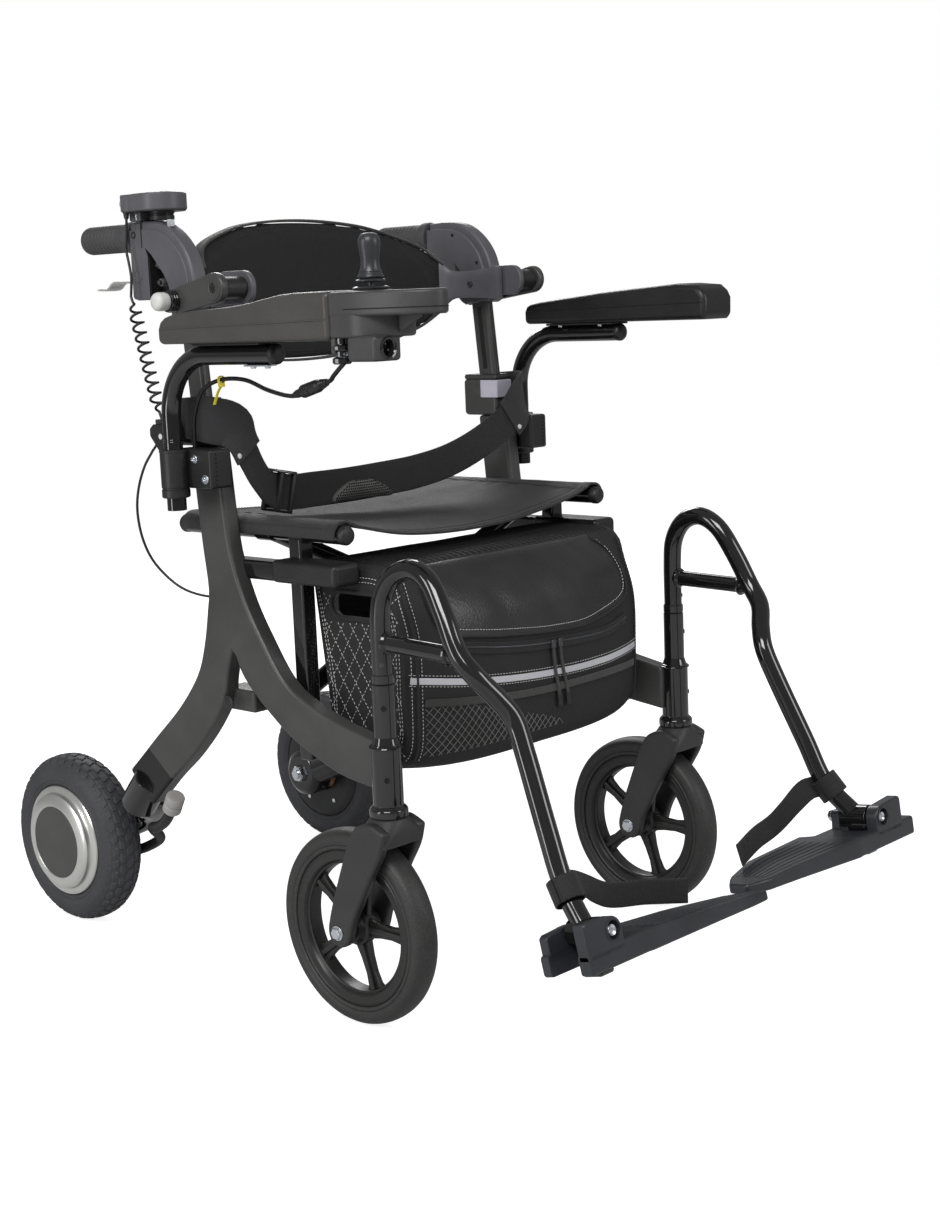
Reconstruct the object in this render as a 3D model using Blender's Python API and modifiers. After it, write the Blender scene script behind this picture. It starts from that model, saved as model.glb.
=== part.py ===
"""Powered rollator that doubles as a transport chair, as separate solids in metres.

+Z is up, the rider faces -Y, and the rider's right side is at -X (names ending in _r).
Shapes are drawn with the caster stems at y = STEM_Y. The empty "footprint_centre" then
moves everything along Y, so that the origin lies under the middle of the whole object.
"""

import math

import bmesh
import bpy
from mathutils import Matrix, Vector

SIDES = {"r": -1.0, "l": 1.0}
SHIFT_Y = 0.1107

# frame
FRAME_X = 0.222
FRAME_THICK = 0.020
STEM_X = 0.232
STEM_Y = -0.300
COLLAR_LOW = 0.2215
COLLAR_TOP = 0.293
RECEIVER_TOP = 0.3525
TILT = math.radians(5.5)
UPRIGHT_TOP = 0.5745
GAP = 0.0003

# fold: two braces cross between the lower pivots and the seat rails
RAIL_X = 0.197
RAIL_Z = 0.487
RAIL_R = 0.0095
PIVOT_Z = 0.306
PIVOT_R = 0.0085
SLEEVE_R = 0.0115
BRACE_R = 0.0095
BRACE_Y = {"a": -0.128, "b": -0.104}
POST_Y = -0.1530
POST_HALF = 0.009

# wheels
WHEEL_R = 0.100
REAR_X = 0.207
REAR_Y = 0.259
TRAIL = 0.050
AXLE_Z = WHEEL_R
FRONT_AXLE_Y = STEM_Y + TRAIL

# footrests
FOOT_HINGE = (0.2275, -0.5415, 0.1530)
FOOT_TILT = {"r": math.radians(14), "l": math.radians(8)}
FOOT_OUTER = {"r": 0.0375, "l": 0.0600}
FOOT_REACH = {"r": 0.2310, "l": 0.2220}
FOOT_TIP_RISE = {"r": 0.0032, "l": 0.0092}
FOOT_TIP_DRIFT = {"r": -0.0088, "l": 0.0152}
HANGER_R = 0.0100
STRAP_Z = 0.186

# handles and backrest
POST_TOP_Y = -0.032
POST_TOP_Z = 0.710
ARM_PIVOT = (-0.034, 0.723)
BACK_PIVOT = (-0.097, 0.734)
BACK_Z = 0.731
GRIP_Z = 0.791

# armrests
ARM_X = 0.268
ARM_POST_Y = -0.047
ARM_Z = 0.669
ARM_R = 0.0100
PAD_X = 0.2745
PAD_HALF = 0.0270
PAD_REAR = -0.075
PAD_FRONT = {"r": -0.3232, "l": -0.340}
PAD_BASE = 0.6810
STICK_X = -0.266
STICK_Y = -0.3445
STICK_TILT_Z = 0.7040

# the cord from the handle ends at a clip on the right frame
LOOP_END = (-0.2065, -0.0420, 0.4110)
CORD_TOP = (-0.2440, 0.0370, 0.8105)
POD_REAR = 0.0430
POD_KEY_X = -0.2425


def clear_scene():
    for thing in list(bpy.data.objects):
        bpy.data.objects.remove(thing, do_unlink=True)


def collection(name):
    made = bpy.data.collections.new(name)
    bpy.context.scene.collection.children.link(made)
    return made


clear_scene()
PARTS = collection("rollator")
FRAME = bpy.data.objects.new("footprint_centre", None)
FRAME.location = (0.0, SHIFT_Y, 0.0)
PARTS.objects.link(FRAME)

COLOURS = {
    "charcoal_paint": ((0.045, 0.046, 0.050), 0.45, 0.1),
    "black_gloss": ((0.006, 0.006, 0.007), 0.12, 0.0),
    "black_plastic": ((0.018, 0.018, 0.020), 0.50, 0.0),
    "blue_grey_plastic": ((0.052, 0.055, 0.066), 0.42, 0.0),
    "rubber": ((0.020, 0.020, 0.021), 0.75, 0.0),
    "silver": ((0.62, 0.63, 0.65), 0.30, 1.0),
    "fabric": ((0.014, 0.014, 0.017), 0.85, 0.0),
    "leatherette": ((0.016, 0.016, 0.018), 0.45, 0.0),
    "light_grey": ((0.42, 0.42, 0.46), 0.40, 0.0),
    "white": ((0.80, 0.80, 0.78), 0.35, 0.0),
    "yellow": ((0.90, 0.80, 0.02), 0.40, 0.0),
    "copper": ((0.55, 0.25, 0.12), 0.40, 1.0),
}


def material(name, look):
    colour, roughness, metallic = COLOURS[look]
    made = bpy.data.materials.new(name)
    made.use_nodes = True
    shader = made.node_tree.nodes["Principled BSDF"]
    shader.inputs["Base Color"].default_value = (*colour, 1.0)
    shader.inputs["Roughness"].default_value = roughness
    shader.inputs["Metallic"].default_value = metallic
    return made


def from_bmesh(shape, name="piece"):
    bmesh.ops.recalc_face_normals(shape, faces=shape.faces)
    if shape.calc_volume(signed=True) < 0:
        bmesh.ops.reverse_faces(shape, faces=shape.faces)
    mesh = bpy.data.meshes.new(name)
    shape.to_mesh(mesh)
    shape.free()
    made = bpy.data.objects.new(name, mesh)
    bpy.context.scene.collection.objects.link(made)
    return made


def evaluated(thing, weld=0.000005):
    """A fresh mesh object with the modifiers and the transform of the given one applied."""
    graph = bpy.context.evaluated_depsgraph_get()
    mesh = bpy.data.meshes.new_from_object(thing.evaluated_get(graph))
    mesh.transform(thing.matrix_world)
    if thing.matrix_world.determinant() < 0:
        mesh.flip_normals()
    shape = bmesh.new()
    shape.from_mesh(mesh)
    if weld:
        bmesh.ops.remove_doubles(shape, verts=shape.verts, dist=weld)
    bpy.data.objects.remove(thing, do_unlink=True)
    return from_bmesh(shape)


def block(low, high, bevel=0.0, segments=2):
    """A box between two corners, its edges rounded."""
    shape = bmesh.new()
    bmesh.ops.create_cube(shape, size=1.0)
    size = [b - a for a, b in zip(low, high)]
    centre = [(a + b) / 2 for a, b in zip(low, high)]
    bmesh.ops.scale(shape, vec=size, verts=shape.verts)
    bmesh.ops.translate(shape, vec=centre, verts=shape.verts)
    if bevel:
        bmesh.ops.bevel(shape, geom=shape.edges[:], offset=bevel, segments=segments,
                        profile=0.5, affect="EDGES", clamp_overlap=True)
    return from_bmesh(shape)


def rod(start, end, radius, sides=20, top_radius=None):
    """A round bar, or a cone, from one point to another."""
    start, end = Vector(start), Vector(end)
    along = end - start
    shape = bmesh.new()
    bmesh.ops.create_cone(shape, cap_ends=True, segments=sides, radius1=radius,
                          radius2=radius if top_radius is None else top_radius, depth=along.length)
    turn = along.to_track_quat("Z", "Y").to_matrix().to_4x4()
    shape.transform(Matrix.Translation((start + end) / 2) @ turn)
    return from_bmesh(shape)


def smooth_route(points, step):
    """Points at an even step along a smooth curve through the given ones."""
    points = [Vector(p) for p in points]
    padded = [2 * points[0] - points[1], *points, 2 * points[-1] - points[-2]]
    fine = []
    for a, b, c, d in zip(padded, padded[1:], padded[2:], padded[3:]):
        for i in range(24):
            t = i / 24
            fine.append(0.5 * (2 * b + (c - a) * t + (2 * a - 5 * b + 4 * c - d) * t * t
                               + (3 * b - a - 3 * c + d) * t ** 3))
    fine.append(points[-1])
    lengths = [0.0]
    for a, b in zip(fine, fine[1:]):
        lengths.append(lengths[-1] + (b - a).length)
    count = max(2, round(lengths[-1] / step))
    route = []
    place = 0
    for i in range(count + 1):
        want = lengths[-1] * i / count
        while place < len(lengths) - 2 and lengths[place + 1] < want:
            place += 1
        span = lengths[place + 1] - lengths[place]
        route.append(fine[place].lerp(fine[place + 1], (want - lengths[place]) / span if span else 0.0))
    return route


def tube(points, radius, resolution=3, radii=None):
    """A round tube with flat ends along the points. The sides number 4 + 2 * resolution."""
    curve = bpy.data.curves.new("route", "CURVE")
    curve.dimensions = "3D"
    curve.bevel_depth = radius
    curve.bevel_resolution = resolution
    curve.use_fill_caps = True
    spline = curve.splines.new("POLY")
    spline.points.add(len(points) - 1)
    for i, point in enumerate(points):
        spline.points[i].co = (*point, 1.0)
        if radii:
            spline.points[i].radius = radii[i]
    thing = bpy.data.objects.new("route", curve)
    bpy.context.scene.collection.objects.link(thing)
    bpy.context.view_layer.update()
    return evaluated(thing)


PLANES = {
    "x": Matrix(((0, 0, 1, 0), (1, 0, 0, 0), (0, 1, 0, 0), (0, 0, 0, 1))),
    "y": Matrix(((1, 0, 0, 0), (0, 0, -1, 0), (0, 1, 0, 0), (0, 0, 0, 1))),
    "z": Matrix.Identity(4),
}


def slab(outline, axis, low, high, bevel=0.0, segments=2):
    """A flat outline given thickness along an axis: (y, z) for x, (x, z) for y, (x, y) for z."""
    curve = bpy.data.curves.new("outline", "CURVE")
    curve.dimensions = "2D"
    curve.fill_mode = "BOTH"
    curve.extrude = abs(high - low) / 2
    spline = curve.splines.new("POLY")
    spline.use_cyclic_u = True
    spline.points.add(len(outline) - 1)
    for i, (u, v) in enumerate(outline):
        spline.points[i].co = (u, v, 0.0, 1.0)
    thing = bpy.data.objects.new("outline", curve)
    bpy.context.scene.collection.objects.link(thing)
    middle = (low + high) / 2
    if axis == "y":
        middle = -middle
    thing.matrix_world = PLANES[axis] @ Matrix.Translation((0, 0, middle))
    bpy.context.view_layer.update()
    made = evaluated(thing)
    if bevel:
        edge = made.modifiers.new("rounded", "BEVEL")
        edge.width = bevel
        edge.segments = segments
        edge.limit_method = "ANGLE"
        edge.angle_limit = math.radians(50)
        bpy.context.view_layer.update()
        made = evaluated(made)
    return made


def ellipse(centre, radii, count=32, start=0.0, end=math.tau):
    """Points on an ellipse, counter-clockwise, the end point left out on a full turn."""
    full = abs(end - start - math.tau) < 1e-6
    steps = count if full else count - 1
    angles = [start + (end - start) * i / steps for i in range(count)]
    return [(centre[0] + radii[0] * math.cos(a), centre[1] + radii[1] * math.sin(a)) for a in angles]


def stadium(start, end, radius, count=7, end_radius=None):
    """An outline with two round ends, as on a flat link."""
    end_radius = radius if end_radius is None else end_radius
    heading = math.atan2(end[1] - start[1], end[0] - start[0])
    quarter = math.pi / 2
    first = ellipse(start, (radius, radius), count, heading + quarter, heading + 3 * quarter)
    last = ellipse(end, (end_radius, end_radius), count, heading - quarter, heading + quarter)
    return [*first, *last]


def turned(profile, centre, axis, steps=24):
    """A (radius, height) outline, closed or ending on the axis, turned about an axis through the centre."""
    mesh = bpy.data.meshes.new("profile")
    ring = [(i, i + 1) for i in range(len(profile) - 1)]
    if profile[0][0] or profile[-1][0]:
        ring.append((len(profile) - 1, 0))
    mesh.from_pydata([(r, 0.0, h) for r, h in profile], ring, [])
    thing = bpy.data.objects.new("profile", mesh)
    bpy.context.scene.collection.objects.link(thing)
    screw = thing.modifiers.new("turn", "SCREW")
    screw.axis = "Z"
    screw.steps = steps
    screw.render_steps = steps
    screw.use_merge_vertices = True
    screw.merge_threshold = 0.00001
    turn = Vector(axis).to_track_quat("Z", "Y").to_matrix().to_4x4()
    thing.matrix_world = Matrix.Translation(centre) @ turn
    bpy.context.view_layer.update()
    return evaluated(thing)


def loft(rings):
    """A closed skin over rings of equal length, with both ends capped."""
    shape = bmesh.new()
    rows = [[shape.verts.new(p) for p in ring] for ring in rings]
    for one, two in zip(rows, rows[1:]):
        for i in range(len(one)):
            j = (i + 1) % len(one)
            shape.faces.new((one[i], one[j], two[j], two[i]))
    shape.faces.new(rows[0][::-1])
    shape.faces.new(rows[-1])
    bmesh.ops.triangulate(shape, faces=[f for f in shape.faces if len(f.verts) > 4])
    return from_bmesh(shape)


def ribbon(route, width_ways, width, thickness):
    """A strap along a route. Each width way points across the strap at that point."""
    rings = []
    for i, point in enumerate(route):
        before, after = route[max(i - 1, 0)], route[min(i + 1, len(route) - 1)]
        along = (Vector(after) - Vector(before)).normalized()
        across = Vector(width_ways[i])
        across = (across - along * across.dot(along)).normalized() * width / 2
        out = along.cross(across).normalized() * thickness / 2
        rings.append([Vector(point) + across + out, Vector(point) - across + out,
                      Vector(point) - across - out, Vector(point) + across - out])
    return loft(rings)


def boolean(base, others, operation):
    for other in others:
        step = base.modifiers.new(operation.lower(), "BOOLEAN")
        step.operation = operation
        step.solver = "EXACT"
        step.object = other
        bpy.context.view_layer.update()
        joined = evaluated(base, 0.0)
        bpy.data.objects.remove(other, do_unlink=True)
        base = joined
    return base


def join(base, *others):
    return boolean(base, others, "UNION")


def cut(base, *others):
    return boolean(base, others, "DIFFERENCE")


def turn_x(thing, angle, y, z):
    """Turn a piece about an X axis through (y, z)."""
    about = Vector((0.0, y, z))
    move = Matrix.Translation(about) @ Matrix.Rotation(angle, 4, "X") @ Matrix.Translation(-about)
    thing.data.transform(move)
    return thing


def part(name, thing, look, holder=None, sharp=35.0):
    """Name a finished piece, colour it and hang it on its holder."""
    thing.name = name
    thing.data.name = name
    thing.data.materials.append(material(name, look))
    thing.data.shade_smooth()
    thing.data.set_sharp_from_angle(angle=math.radians(sharp))
    for home in list(thing.users_collection):
        home.objects.unlink(thing)
    PARTS.objects.link(thing)
    parent = holder or FRAME
    if holder:
        place = holder.location.copy()
        thing.data.transform(Matrix.Translation(-place))
    thing.parent = parent
    return thing


def axis_at(name, place):
    """An empty on a joint's axis, which carries the pieces that turn or slide there."""
    empty = bpy.data.objects.new(name, None)
    empty.location = place
    empty.empty_display_size = 0.02
    empty.parent = FRAME
    PARTS.objects.link(empty)
    return empty


def mirrored(side, x):
    return SIDES[side] * x


def span(side, inner, outer):
    """The X range between two distances from the middle plane, low first."""
    ends = (mirrored(side, inner), mirrored(side, outer))
    return min(ends), max(ends)


def slope_y(z):
    """Y of the handle post's centre line at a height."""
    return POST_TOP_Y + math.tan(TILT) * (z - POST_TOP_Z)


# side frames

REAR_EDGE = [(-0.0275, 0.5745), (-0.036, 0.480), (-0.042, 0.428), (-0.039, 0.405), (-0.029, 0.363),
             (-0.014, 0.329), (0.019, 0.291), (0.063, 0.253), (0.095, 0.225), (0.116, 0.207)]
LEG_INNER = [(0.080, 0.171), (0.040, 0.207), (0.006, 0.234), (-0.026, 0.265), (-0.049, 0.293),
             (-0.060, 0.312), (-0.065, 0.334), (-0.075, 0.362)]
BRANCH_LOWER = [(-0.080, 0.357), (-0.090, 0.337), (-0.112, 0.315), (-0.157, 0.282), (-0.204, 0.261),
                (-0.239, 0.250), (-0.296, 0.2425)]
FRONT_EDGE = [(-0.296, 0.291), (-0.236, 0.303), (-0.183, 0.321), (-0.152, 0.341), (-0.123, 0.380),
              (-0.102, 0.414), (-0.087, 0.451), (-0.079, 0.488), (-0.0705, 0.5745)]


def side_frame(side):
    """Flat-oval upright, rear leg and front branch, with the stem collar and the fold's fixed parts."""
    outline = []
    for edge in (REAR_EDGE, LEG_INNER, BRANCH_LOWER, FRONT_EDGE):
        outline += [(p.x, p.y) for p in smooth_route([(*q, 0.0) for q in edge], 0.040)]
    x0, x1 = span(side, FRAME_X - FRAME_THICK / 2, FRAME_X + FRAME_THICK / 2)
    frame = slab(outline, "x", x0, x1)
    stem = (mirrored(side, STEM_X), STEM_Y, 0.0)
    collar = turned([(0.0, COLLAR_LOW), (0.0190, COLLAR_LOW), (0.0190, 0.2290), (0.0150, 0.2330),
                     (0.0150, COLLAR_TOP), (0.0114, 0.3000), (0.0114, RECEIVER_TOP),
                     (0.0, RECEIVER_TOP)][::-1],
                    stem, (0, 0, 1), 12)
    bar_x = span(side, RAIL_X - 0.003, FRAME_X - 0.004)
    block_x = span(side, RAIL_X - 0.0118, FRAME_X - 0.0005)
    bar = block((bar_x[0], -0.140, 0.437), (bar_x[1], -0.060, 0.457), 0.002, 1)
    guide = block((block_x[0], -0.228, 0.4345), (block_x[1], -0.132, 0.4610), 0.003, 1)
    rail = rod((mirrored(side, RAIL_X), -0.1425, PIVOT_Z), (mirrored(side, RAIL_X), -0.036, PIVOT_Z),
               PIVOT_R, 14)
    lug_x = span(side, RAIL_X - 0.010, FRAME_X - 0.004)
    front_lug = block((lug_x[0], -0.1432, 0.294), (lug_x[1], -0.1400, 0.318))
    rear_lug = block((lug_x[0], -0.0910, 0.294), (lug_x[1], -0.0400, 0.318), 0.0015, 1)
    frame = join(frame, collar, guide, bar, rail, front_lug, rear_lug)
    half = POST_HALF + 0.0004
    post_hole = block((mirrored(side, RAIL_X) - half, POST_Y - half, 0.40),
                      (mirrored(side, RAIL_X) + half, POST_Y + half, 0.50))
    spindle_hole = rod((stem[0], STEM_Y, 0.20), (stem[0], STEM_Y, 0.262), 0.0075, 10)
    spigot_hole = rod((stem[0], STEM_Y, 0.305), (stem[0], STEM_Y, 0.40), 0.0085, 10)
    bore_x = span(side, FRAME_X - 0.0071, FRAME_X + 0.0071)
    post_bore = block((bore_x[0], -0.0134 + POST_TOP_Y, 0.4550), (bore_x[1], 0.0134 + POST_TOP_Y, 0.620))
    post_bore = turn_x(post_bore, -TILT, POST_TOP_Y, POST_TOP_Z)
    frame = cut(frame, post_hole, spindle_hole, spigot_hole, post_bore)
    if side == "r":
        clip = block((-0.2160, LOOP_END[1] - 0.0100, LOOP_END[2] - 0.0060),
                     (-0.2020, LOOP_END[1] - GAP, LOOP_END[2] + 0.0060), 0.0015, 1)
        frame = join(frame, clip)
    part(f"side_frame_{side}", frame, "charcoal_paint")


def height_clamp(side):
    """The clamp housing round the handle post, with its push button wrapped round the front."""
    low, high = UPRIGHT_TOP + GAP, 0.6230
    front, rear = -0.0612, -0.0075
    x0, x1 = span(side, 0.2088, 0.2370)
    housing = block((x0, front, low), (x1, rear, high), 0.005, 1)
    bore = block((FRAME_X - 0.0071, POST_TOP_Y - 0.0134, 0.50), (FRAME_X + 0.0071, POST_TOP_Y + 0.0134, 0.70))
    if side == "r":
        bore.data.transform(Matrix.Translation((-2 * FRAME_X, 0.0, 0.0)))
    bore = turn_x(bore, -TILT, POST_TOP_Y, POST_TOP_Z)
    z0, z1, button_rear = 0.5960, 0.6170, -0.0365
    pocket_x = span(side, 0.2000, 0.2120)
    pocket = block((pocket_x[0], -0.0700, z0 - 0.0004), (pocket_x[1], button_rear + 0.0004, z1 + 0.0004))
    part(f"height_clamp_{side}", cut(housing, bore, pocket), "charcoal_paint")
    front_face, reach = front - 0.0026, span(side, 0.2078, 0.2340)
    flank = span(side, 0.2078, 0.2100)
    inner = block((flank[0], front_face, z0), (flank[1], button_rear, z1))
    face = block((reach[0], front_face, z0), (reach[1], front - GAP, z1), 0.0008, 1)
    holder = axis_at(f"height_button_axis_{side}", (mirrored(side, 0.2090), front, (z0 + z1) / 2))
    part(f"height_button_{side}", join(face, inner), "light_grey", holder)


# fold

def seat_rail(side):
    """Seat tube with the clamp and the square post that slides in the side frame's guide."""
    x = mirrored(side, RAIL_X)
    rail = rod((x, -0.226, RAIL_Z), (x, 0.032, RAIL_Z), RAIL_R, 14)
    clamp = rod((x, POST_Y - 0.0125, RAIL_Z), (x, POST_Y + 0.0075, RAIL_Z), SLEEVE_R, 14)
    post = block((x - POST_HALF, POST_Y - POST_HALF, 0.250), (x + POST_HALF, POST_Y + POST_HALF,
                                                              RAIL_Z - 0.003),
                 0.0015, 1)
    holder = axis_at(f"seat_rail_axis_{side}", (x, POST_Y, RAIL_Z))
    part(f"seat_rail_{side}", join(rail, clamp, post), "black_gloss", holder)


def brace(name, low_side):
    """One leg of the fold's cross: a sleeve on a lower pivot, a tube and a sleeve on a seat rail."""
    y = BRACE_Y[name]
    low = Vector((mirrored(low_side, RAIL_X), y, PIVOT_Z))
    high = Vector((-low.x, y, RAIL_Z))
    along = (high - low).normalized()
    leg = rod(low + along * 0.006, high - along * 0.006, BRACE_R, 12)
    half = Vector((0, 0.0115, 0))
    low_sleeve = rod(low - half, low + half, SLEEVE_R, 14)
    high_sleeve = rod(high - half, high + half, SLEEVE_R, 14)
    shape = join(leg, low_sleeve, high_sleeve)
    low_bore = rod(low - 2 * half, low + 2 * half, PIVOT_R + 0.0005, 14)
    high_bore = rod(high - 2 * half, high + 2 * half, RAIL_R + 0.0005, 14)
    centre = (low + high) / 2
    if name == "a":
        pin = rod(centre, centre + Vector((0, 0.0360, 0)), 0.0035, 16)
        head = rod(centre + Vector((0, 0.0355, 0)), centre + Vector((0, 0.0390, 0)), 0.0070, 6)
        shape = cut(join(shape, pin, head), low_bore, high_bore)
        holder = axis_at("frame_fold_axis", low)
    else:
        hole = rod(centre - 2 * half, centre + 2 * half, 0.0039, 16)
        shape = cut(shape, low_bore, high_bore, hole)
        holder = axis_at("brace_cross_axis", centre)
    part(f"brace_{name}", shape, "black_gloss", holder)


def seat_fabric():
    """The sling: it wraps over both rails and sags between them, more at the front."""
    wrap, thick = 0.0140, 0.0015
    front, rear = -0.218, 0.026
    rings = []
    stations = 7
    for i in range(stations):
        t = i / (stations - 1)
        y = front + (rear - front) * t
        sag = 0.021 * (1 - t) ** 1.6 + 0.009
        line = []
        for k in range(5):
            a = math.radians(-15 + 105 * k / 4)
            line.append((RAIL_X + math.cos(a) * wrap, RAIL_Z + math.sin(a) * wrap,
                         (math.cos(a), math.sin(a))))
        top = RAIL_Z + wrap
        for k in range(1, 10):
            x = RAIL_X * (1 - 2 * k / 10)
            line.append((x, top - sag * (1 - (x / RAIL_X) ** 2) ** 0.8, (0.0, 1.0)))
        for k in range(5):
            a = math.radians(90 + 105 * k / 4)
            line.append((-RAIL_X + math.cos(a) * wrap, RAIL_Z + math.sin(a) * wrap,
                         (math.cos(a), math.sin(a))))
        bow = 0.010 * (1 - t) ** 3
        outer = [(x, y + bow * (1 - (x / RAIL_X) ** 2 if abs(x) < RAIL_X else 0.0), z) for x, z, _ in line]
        inner = [(x - n[0] * thick, p[1], z - n[1] * thick) for (x, z, n), p in zip(line, outer)]
        rings.append(outer + inner[::-1])
    part("seat_fabric", loft(rings), "fabric", None, 60)


# wheels

def front_wheel(side):
    """Five-spoke rim and smooth tyre on a trailing fork, whose axle bolt is part of it."""
    x = mirrored(side, STEM_X)
    stem = axis_at(f"caster_axis_{side}", (x, STEM_Y, 0.210))
    axle = axis_at(f"front_wheel_axis_{side}", (x, FRONT_AXLE_Y, AXLE_Z))
    centre = (x, FRONT_AXLE_Y, AXLE_Z)
    leg = [(-0.3200, 0.2150), (-0.2790, 0.2150), (-0.2640, 0.1820), (-0.2360, 0.1120), (-0.2345, 0.0970),
           (-0.2430, 0.0860), (-0.2560, 0.0850), (-0.2650, 0.0960), (-0.2720, 0.1150), (-0.3020, 0.1680),
           (-0.3200, 0.1950)]
    fork = block((x - 0.0310, -0.3215, 0.1985), (x + 0.0310, -0.2785, 0.2195), 0.006, 1)
    for sign in (-1, 1):
        ends = sorted((x + sign * 0.0190, x + sign * 0.0300))
        fork = join(fork, slab(leg, "x", *ends))
    boss = rod((x, STEM_Y, 0.2100), (x, STEM_Y, COLLAR_LOW - GAP), 0.0180, 12)
    spindle = rod((x, STEM_Y, 0.2150), (x, STEM_Y, 0.2600), 0.0070, 10)
    bolt = rod((x - 0.0330, FRONT_AXLE_Y, AXLE_Z), (x + 0.0330, FRONT_AXLE_Y, AXLE_Z), 0.0040, 12)
    heads = [rod((x + sign * 0.0280, FRONT_AXLE_Y, AXLE_Z), (x + sign * 0.0345, FRONT_AXLE_Y, AXLE_Z),
                 0.0068, 8)
             for sign in (-1, 1)]
    part(f"caster_fork_{side}", join(fork, boss, spindle, bolt, *heads), "black_plastic", stem)

    rim = turned([(0.0785, -0.0120), (0.0785, 0.0120), (0.0700, 0.0120), (0.0660, 0.0070), (0.0660, -0.0070),
                  (0.0700, -0.0120)][::-1], centre, (-1, 0, 0), 20)
    hub = rod((x - 0.0180, FRONT_AXLE_Y, AXLE_Z), (x + 0.0180, FRONT_AXLE_Y, AXLE_Z), 0.0160, 10)
    for i in range(5):
        spoke = slab([(-0.0085, 0.010), (0.0085, 0.010), (0.0060, 0.0690), (-0.0060, 0.0690)], "x", -0.0055,
                     0.0055)
        spoke.data.transform(Matrix.Translation(centre) @ Matrix.Rotation(math.tau * i / 5 + 0.3, 4, "X"))
        hub = join(hub, spoke)
    bore = rod((x - 0.05, FRONT_AXLE_Y, AXLE_Z), (x + 0.05, FRONT_AXLE_Y, AXLE_Z), 0.0044, 12)
    part(f"front_rim_{side}", cut(join(rim, hub), bore), "black_plastic", axle)
    shoulder = [(0.0800, -0.0125), (0.0900, -0.0150), (WHEEL_R, -0.0070)]
    profile = shoulder + [(r, -h) for r, h in shoulder[::-1]]
    part(f"front_tyre_{side}", turned(profile, centre, (-1, 0, 0), 24), "rubber", axle)


def rear_wheel(side):
    """Hub-motor wheel: tyre, hub shell, and the fixed stator on its shaft."""
    x = mirrored(side, REAR_X)
    out = (SIDES[side], 0.0, 0.0)
    centre = (x, REAR_Y, AXLE_Z)
    axle = axis_at(f"rear_wheel_axis_{side}", centre)
    shoulder = [(0.0663, -0.0215), (0.0860, -0.0255), (WHEEL_R, -0.0130)]
    profile = shoulder + [(r, -h) for r, h in shoulder[::-1]]
    part(f"rear_tyre_{side}", turned(profile, centre, out, 24), "rubber", axle)
    shell = [(0.0, 0.0345), (0.0430, 0.0340), (0.0560, 0.0310), (0.0660, 0.0215), (0.0660, -0.0215),
             (0.0300, -0.0215), (0.0300, -0.0180), (0.0560, -0.0180), (0.0560, 0.0260), (0.0, 0.0260)]
    part(f"rear_hub_{side}", turned(shell, centre, out, 24), "silver", axle)
    s = SIDES[side]
    stator = rod((x - s * 0.0130, REAR_Y, AXLE_Z), (x + s * 0.0240, REAR_Y, AXLE_Z), 0.0500, 12)
    shaft = rod((x - s * 0.0420, REAR_Y, AXLE_Z), (x + s * 0.0120, REAR_Y, AXLE_Z), 0.0080, 12)
    part(f"motor_stator_{side}", join(stator, shaft), "copper")


def axle_arm(side):
    """The cast elbow from the rear leg to the inner end of the motor axle."""
    s = SIDES[side]
    route = smooth_route([(s * 0.2215, 0.1120, 0.1740), (s * 0.2080, 0.1300, 0.1620),
                          (s * 0.1800, 0.1500, 0.1480),
                          (s * 0.1610, 0.1800, 0.1300), (s * 0.1570, 0.2300, 0.1080)], 0.026)
    arm = tube(route, 0.0175, 1)
    socket = rod((s * 0.2215, 0.0880, 0.1990), (s * 0.2195, 0.1210, 0.1640), 0.0205, 12)
    boss = turned([(0.0, 0.0155), (0.0260, 0.0155), (0.0310, 0.0130), (0.0300, -0.0090), (0.0240, -0.0150),
                   (0.0, -0.0150)], (s * 0.1620, REAR_Y, AXLE_Z), (s, 0, 0), 14)
    shape = join(boss, arm, socket)
    hole = rod((s * 0.1200, REAR_Y, AXLE_Z), (s * 0.2000, REAR_Y, AXLE_Z), 0.0086, 12)
    leg_x = span(side, FRAME_X - FRAME_THICK / 2 - 0.0005, FRAME_X + FRAME_THICK / 2 + 0.0005)
    leg_end = slab([(-0.0200, 0.2600), (0.0790, 0.1700), (0.1175, 0.2075), (0.0500, 0.2900)], "x", *leg_x)
    part(f"axle_arm_{side}", cut(shape, hole, leg_end), "black_gloss")


# footrests

HANGER_ROUTE = [(0.2320, -0.3000, 0.3530), (0.2320, -0.3000, 0.4080), (0.2312, -0.3040, 0.4370),
                (0.2298, -0.3190, 0.4580), (0.2280, -0.3430, 0.4655), (0.2290, -0.3660, 0.4540),
                (0.2320, -0.3850, 0.4260), (0.2345, -0.4030, 0.3925), (0.2290, -0.4200, 0.3710),
                (0.2140, -0.4310, 0.3500), (0.2035, -0.4420, 0.3290), (0.2050, -0.4560, 0.2980),
                (0.2130, -0.4860, 0.2330), (0.2180, -0.5080, 0.1870), (0.2275, -0.5400, 0.1540)]


def hanger_line(side):
    """The centre line of the footrest tube, from the stem to the hinge barrel."""
    return smooth_route([(mirrored(side, x), y, z) for x, y, z in HANGER_ROUTE], 0.0280)


def tilted(side, thing):
    """Tip a footplate piece so that its front edge is raised about the hinge."""
    return turn_x(thing, -FOOT_TILT[side], FOOT_HINGE[1], FOOT_HINGE[2])


def along_plate(side, u):
    """How far along the plate a point lies, from 0 at the hinge block to 1 at the tip."""
    root = 0.0500
    return max(0.0, (u - root) / (FOOT_REACH[side] - root))


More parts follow.
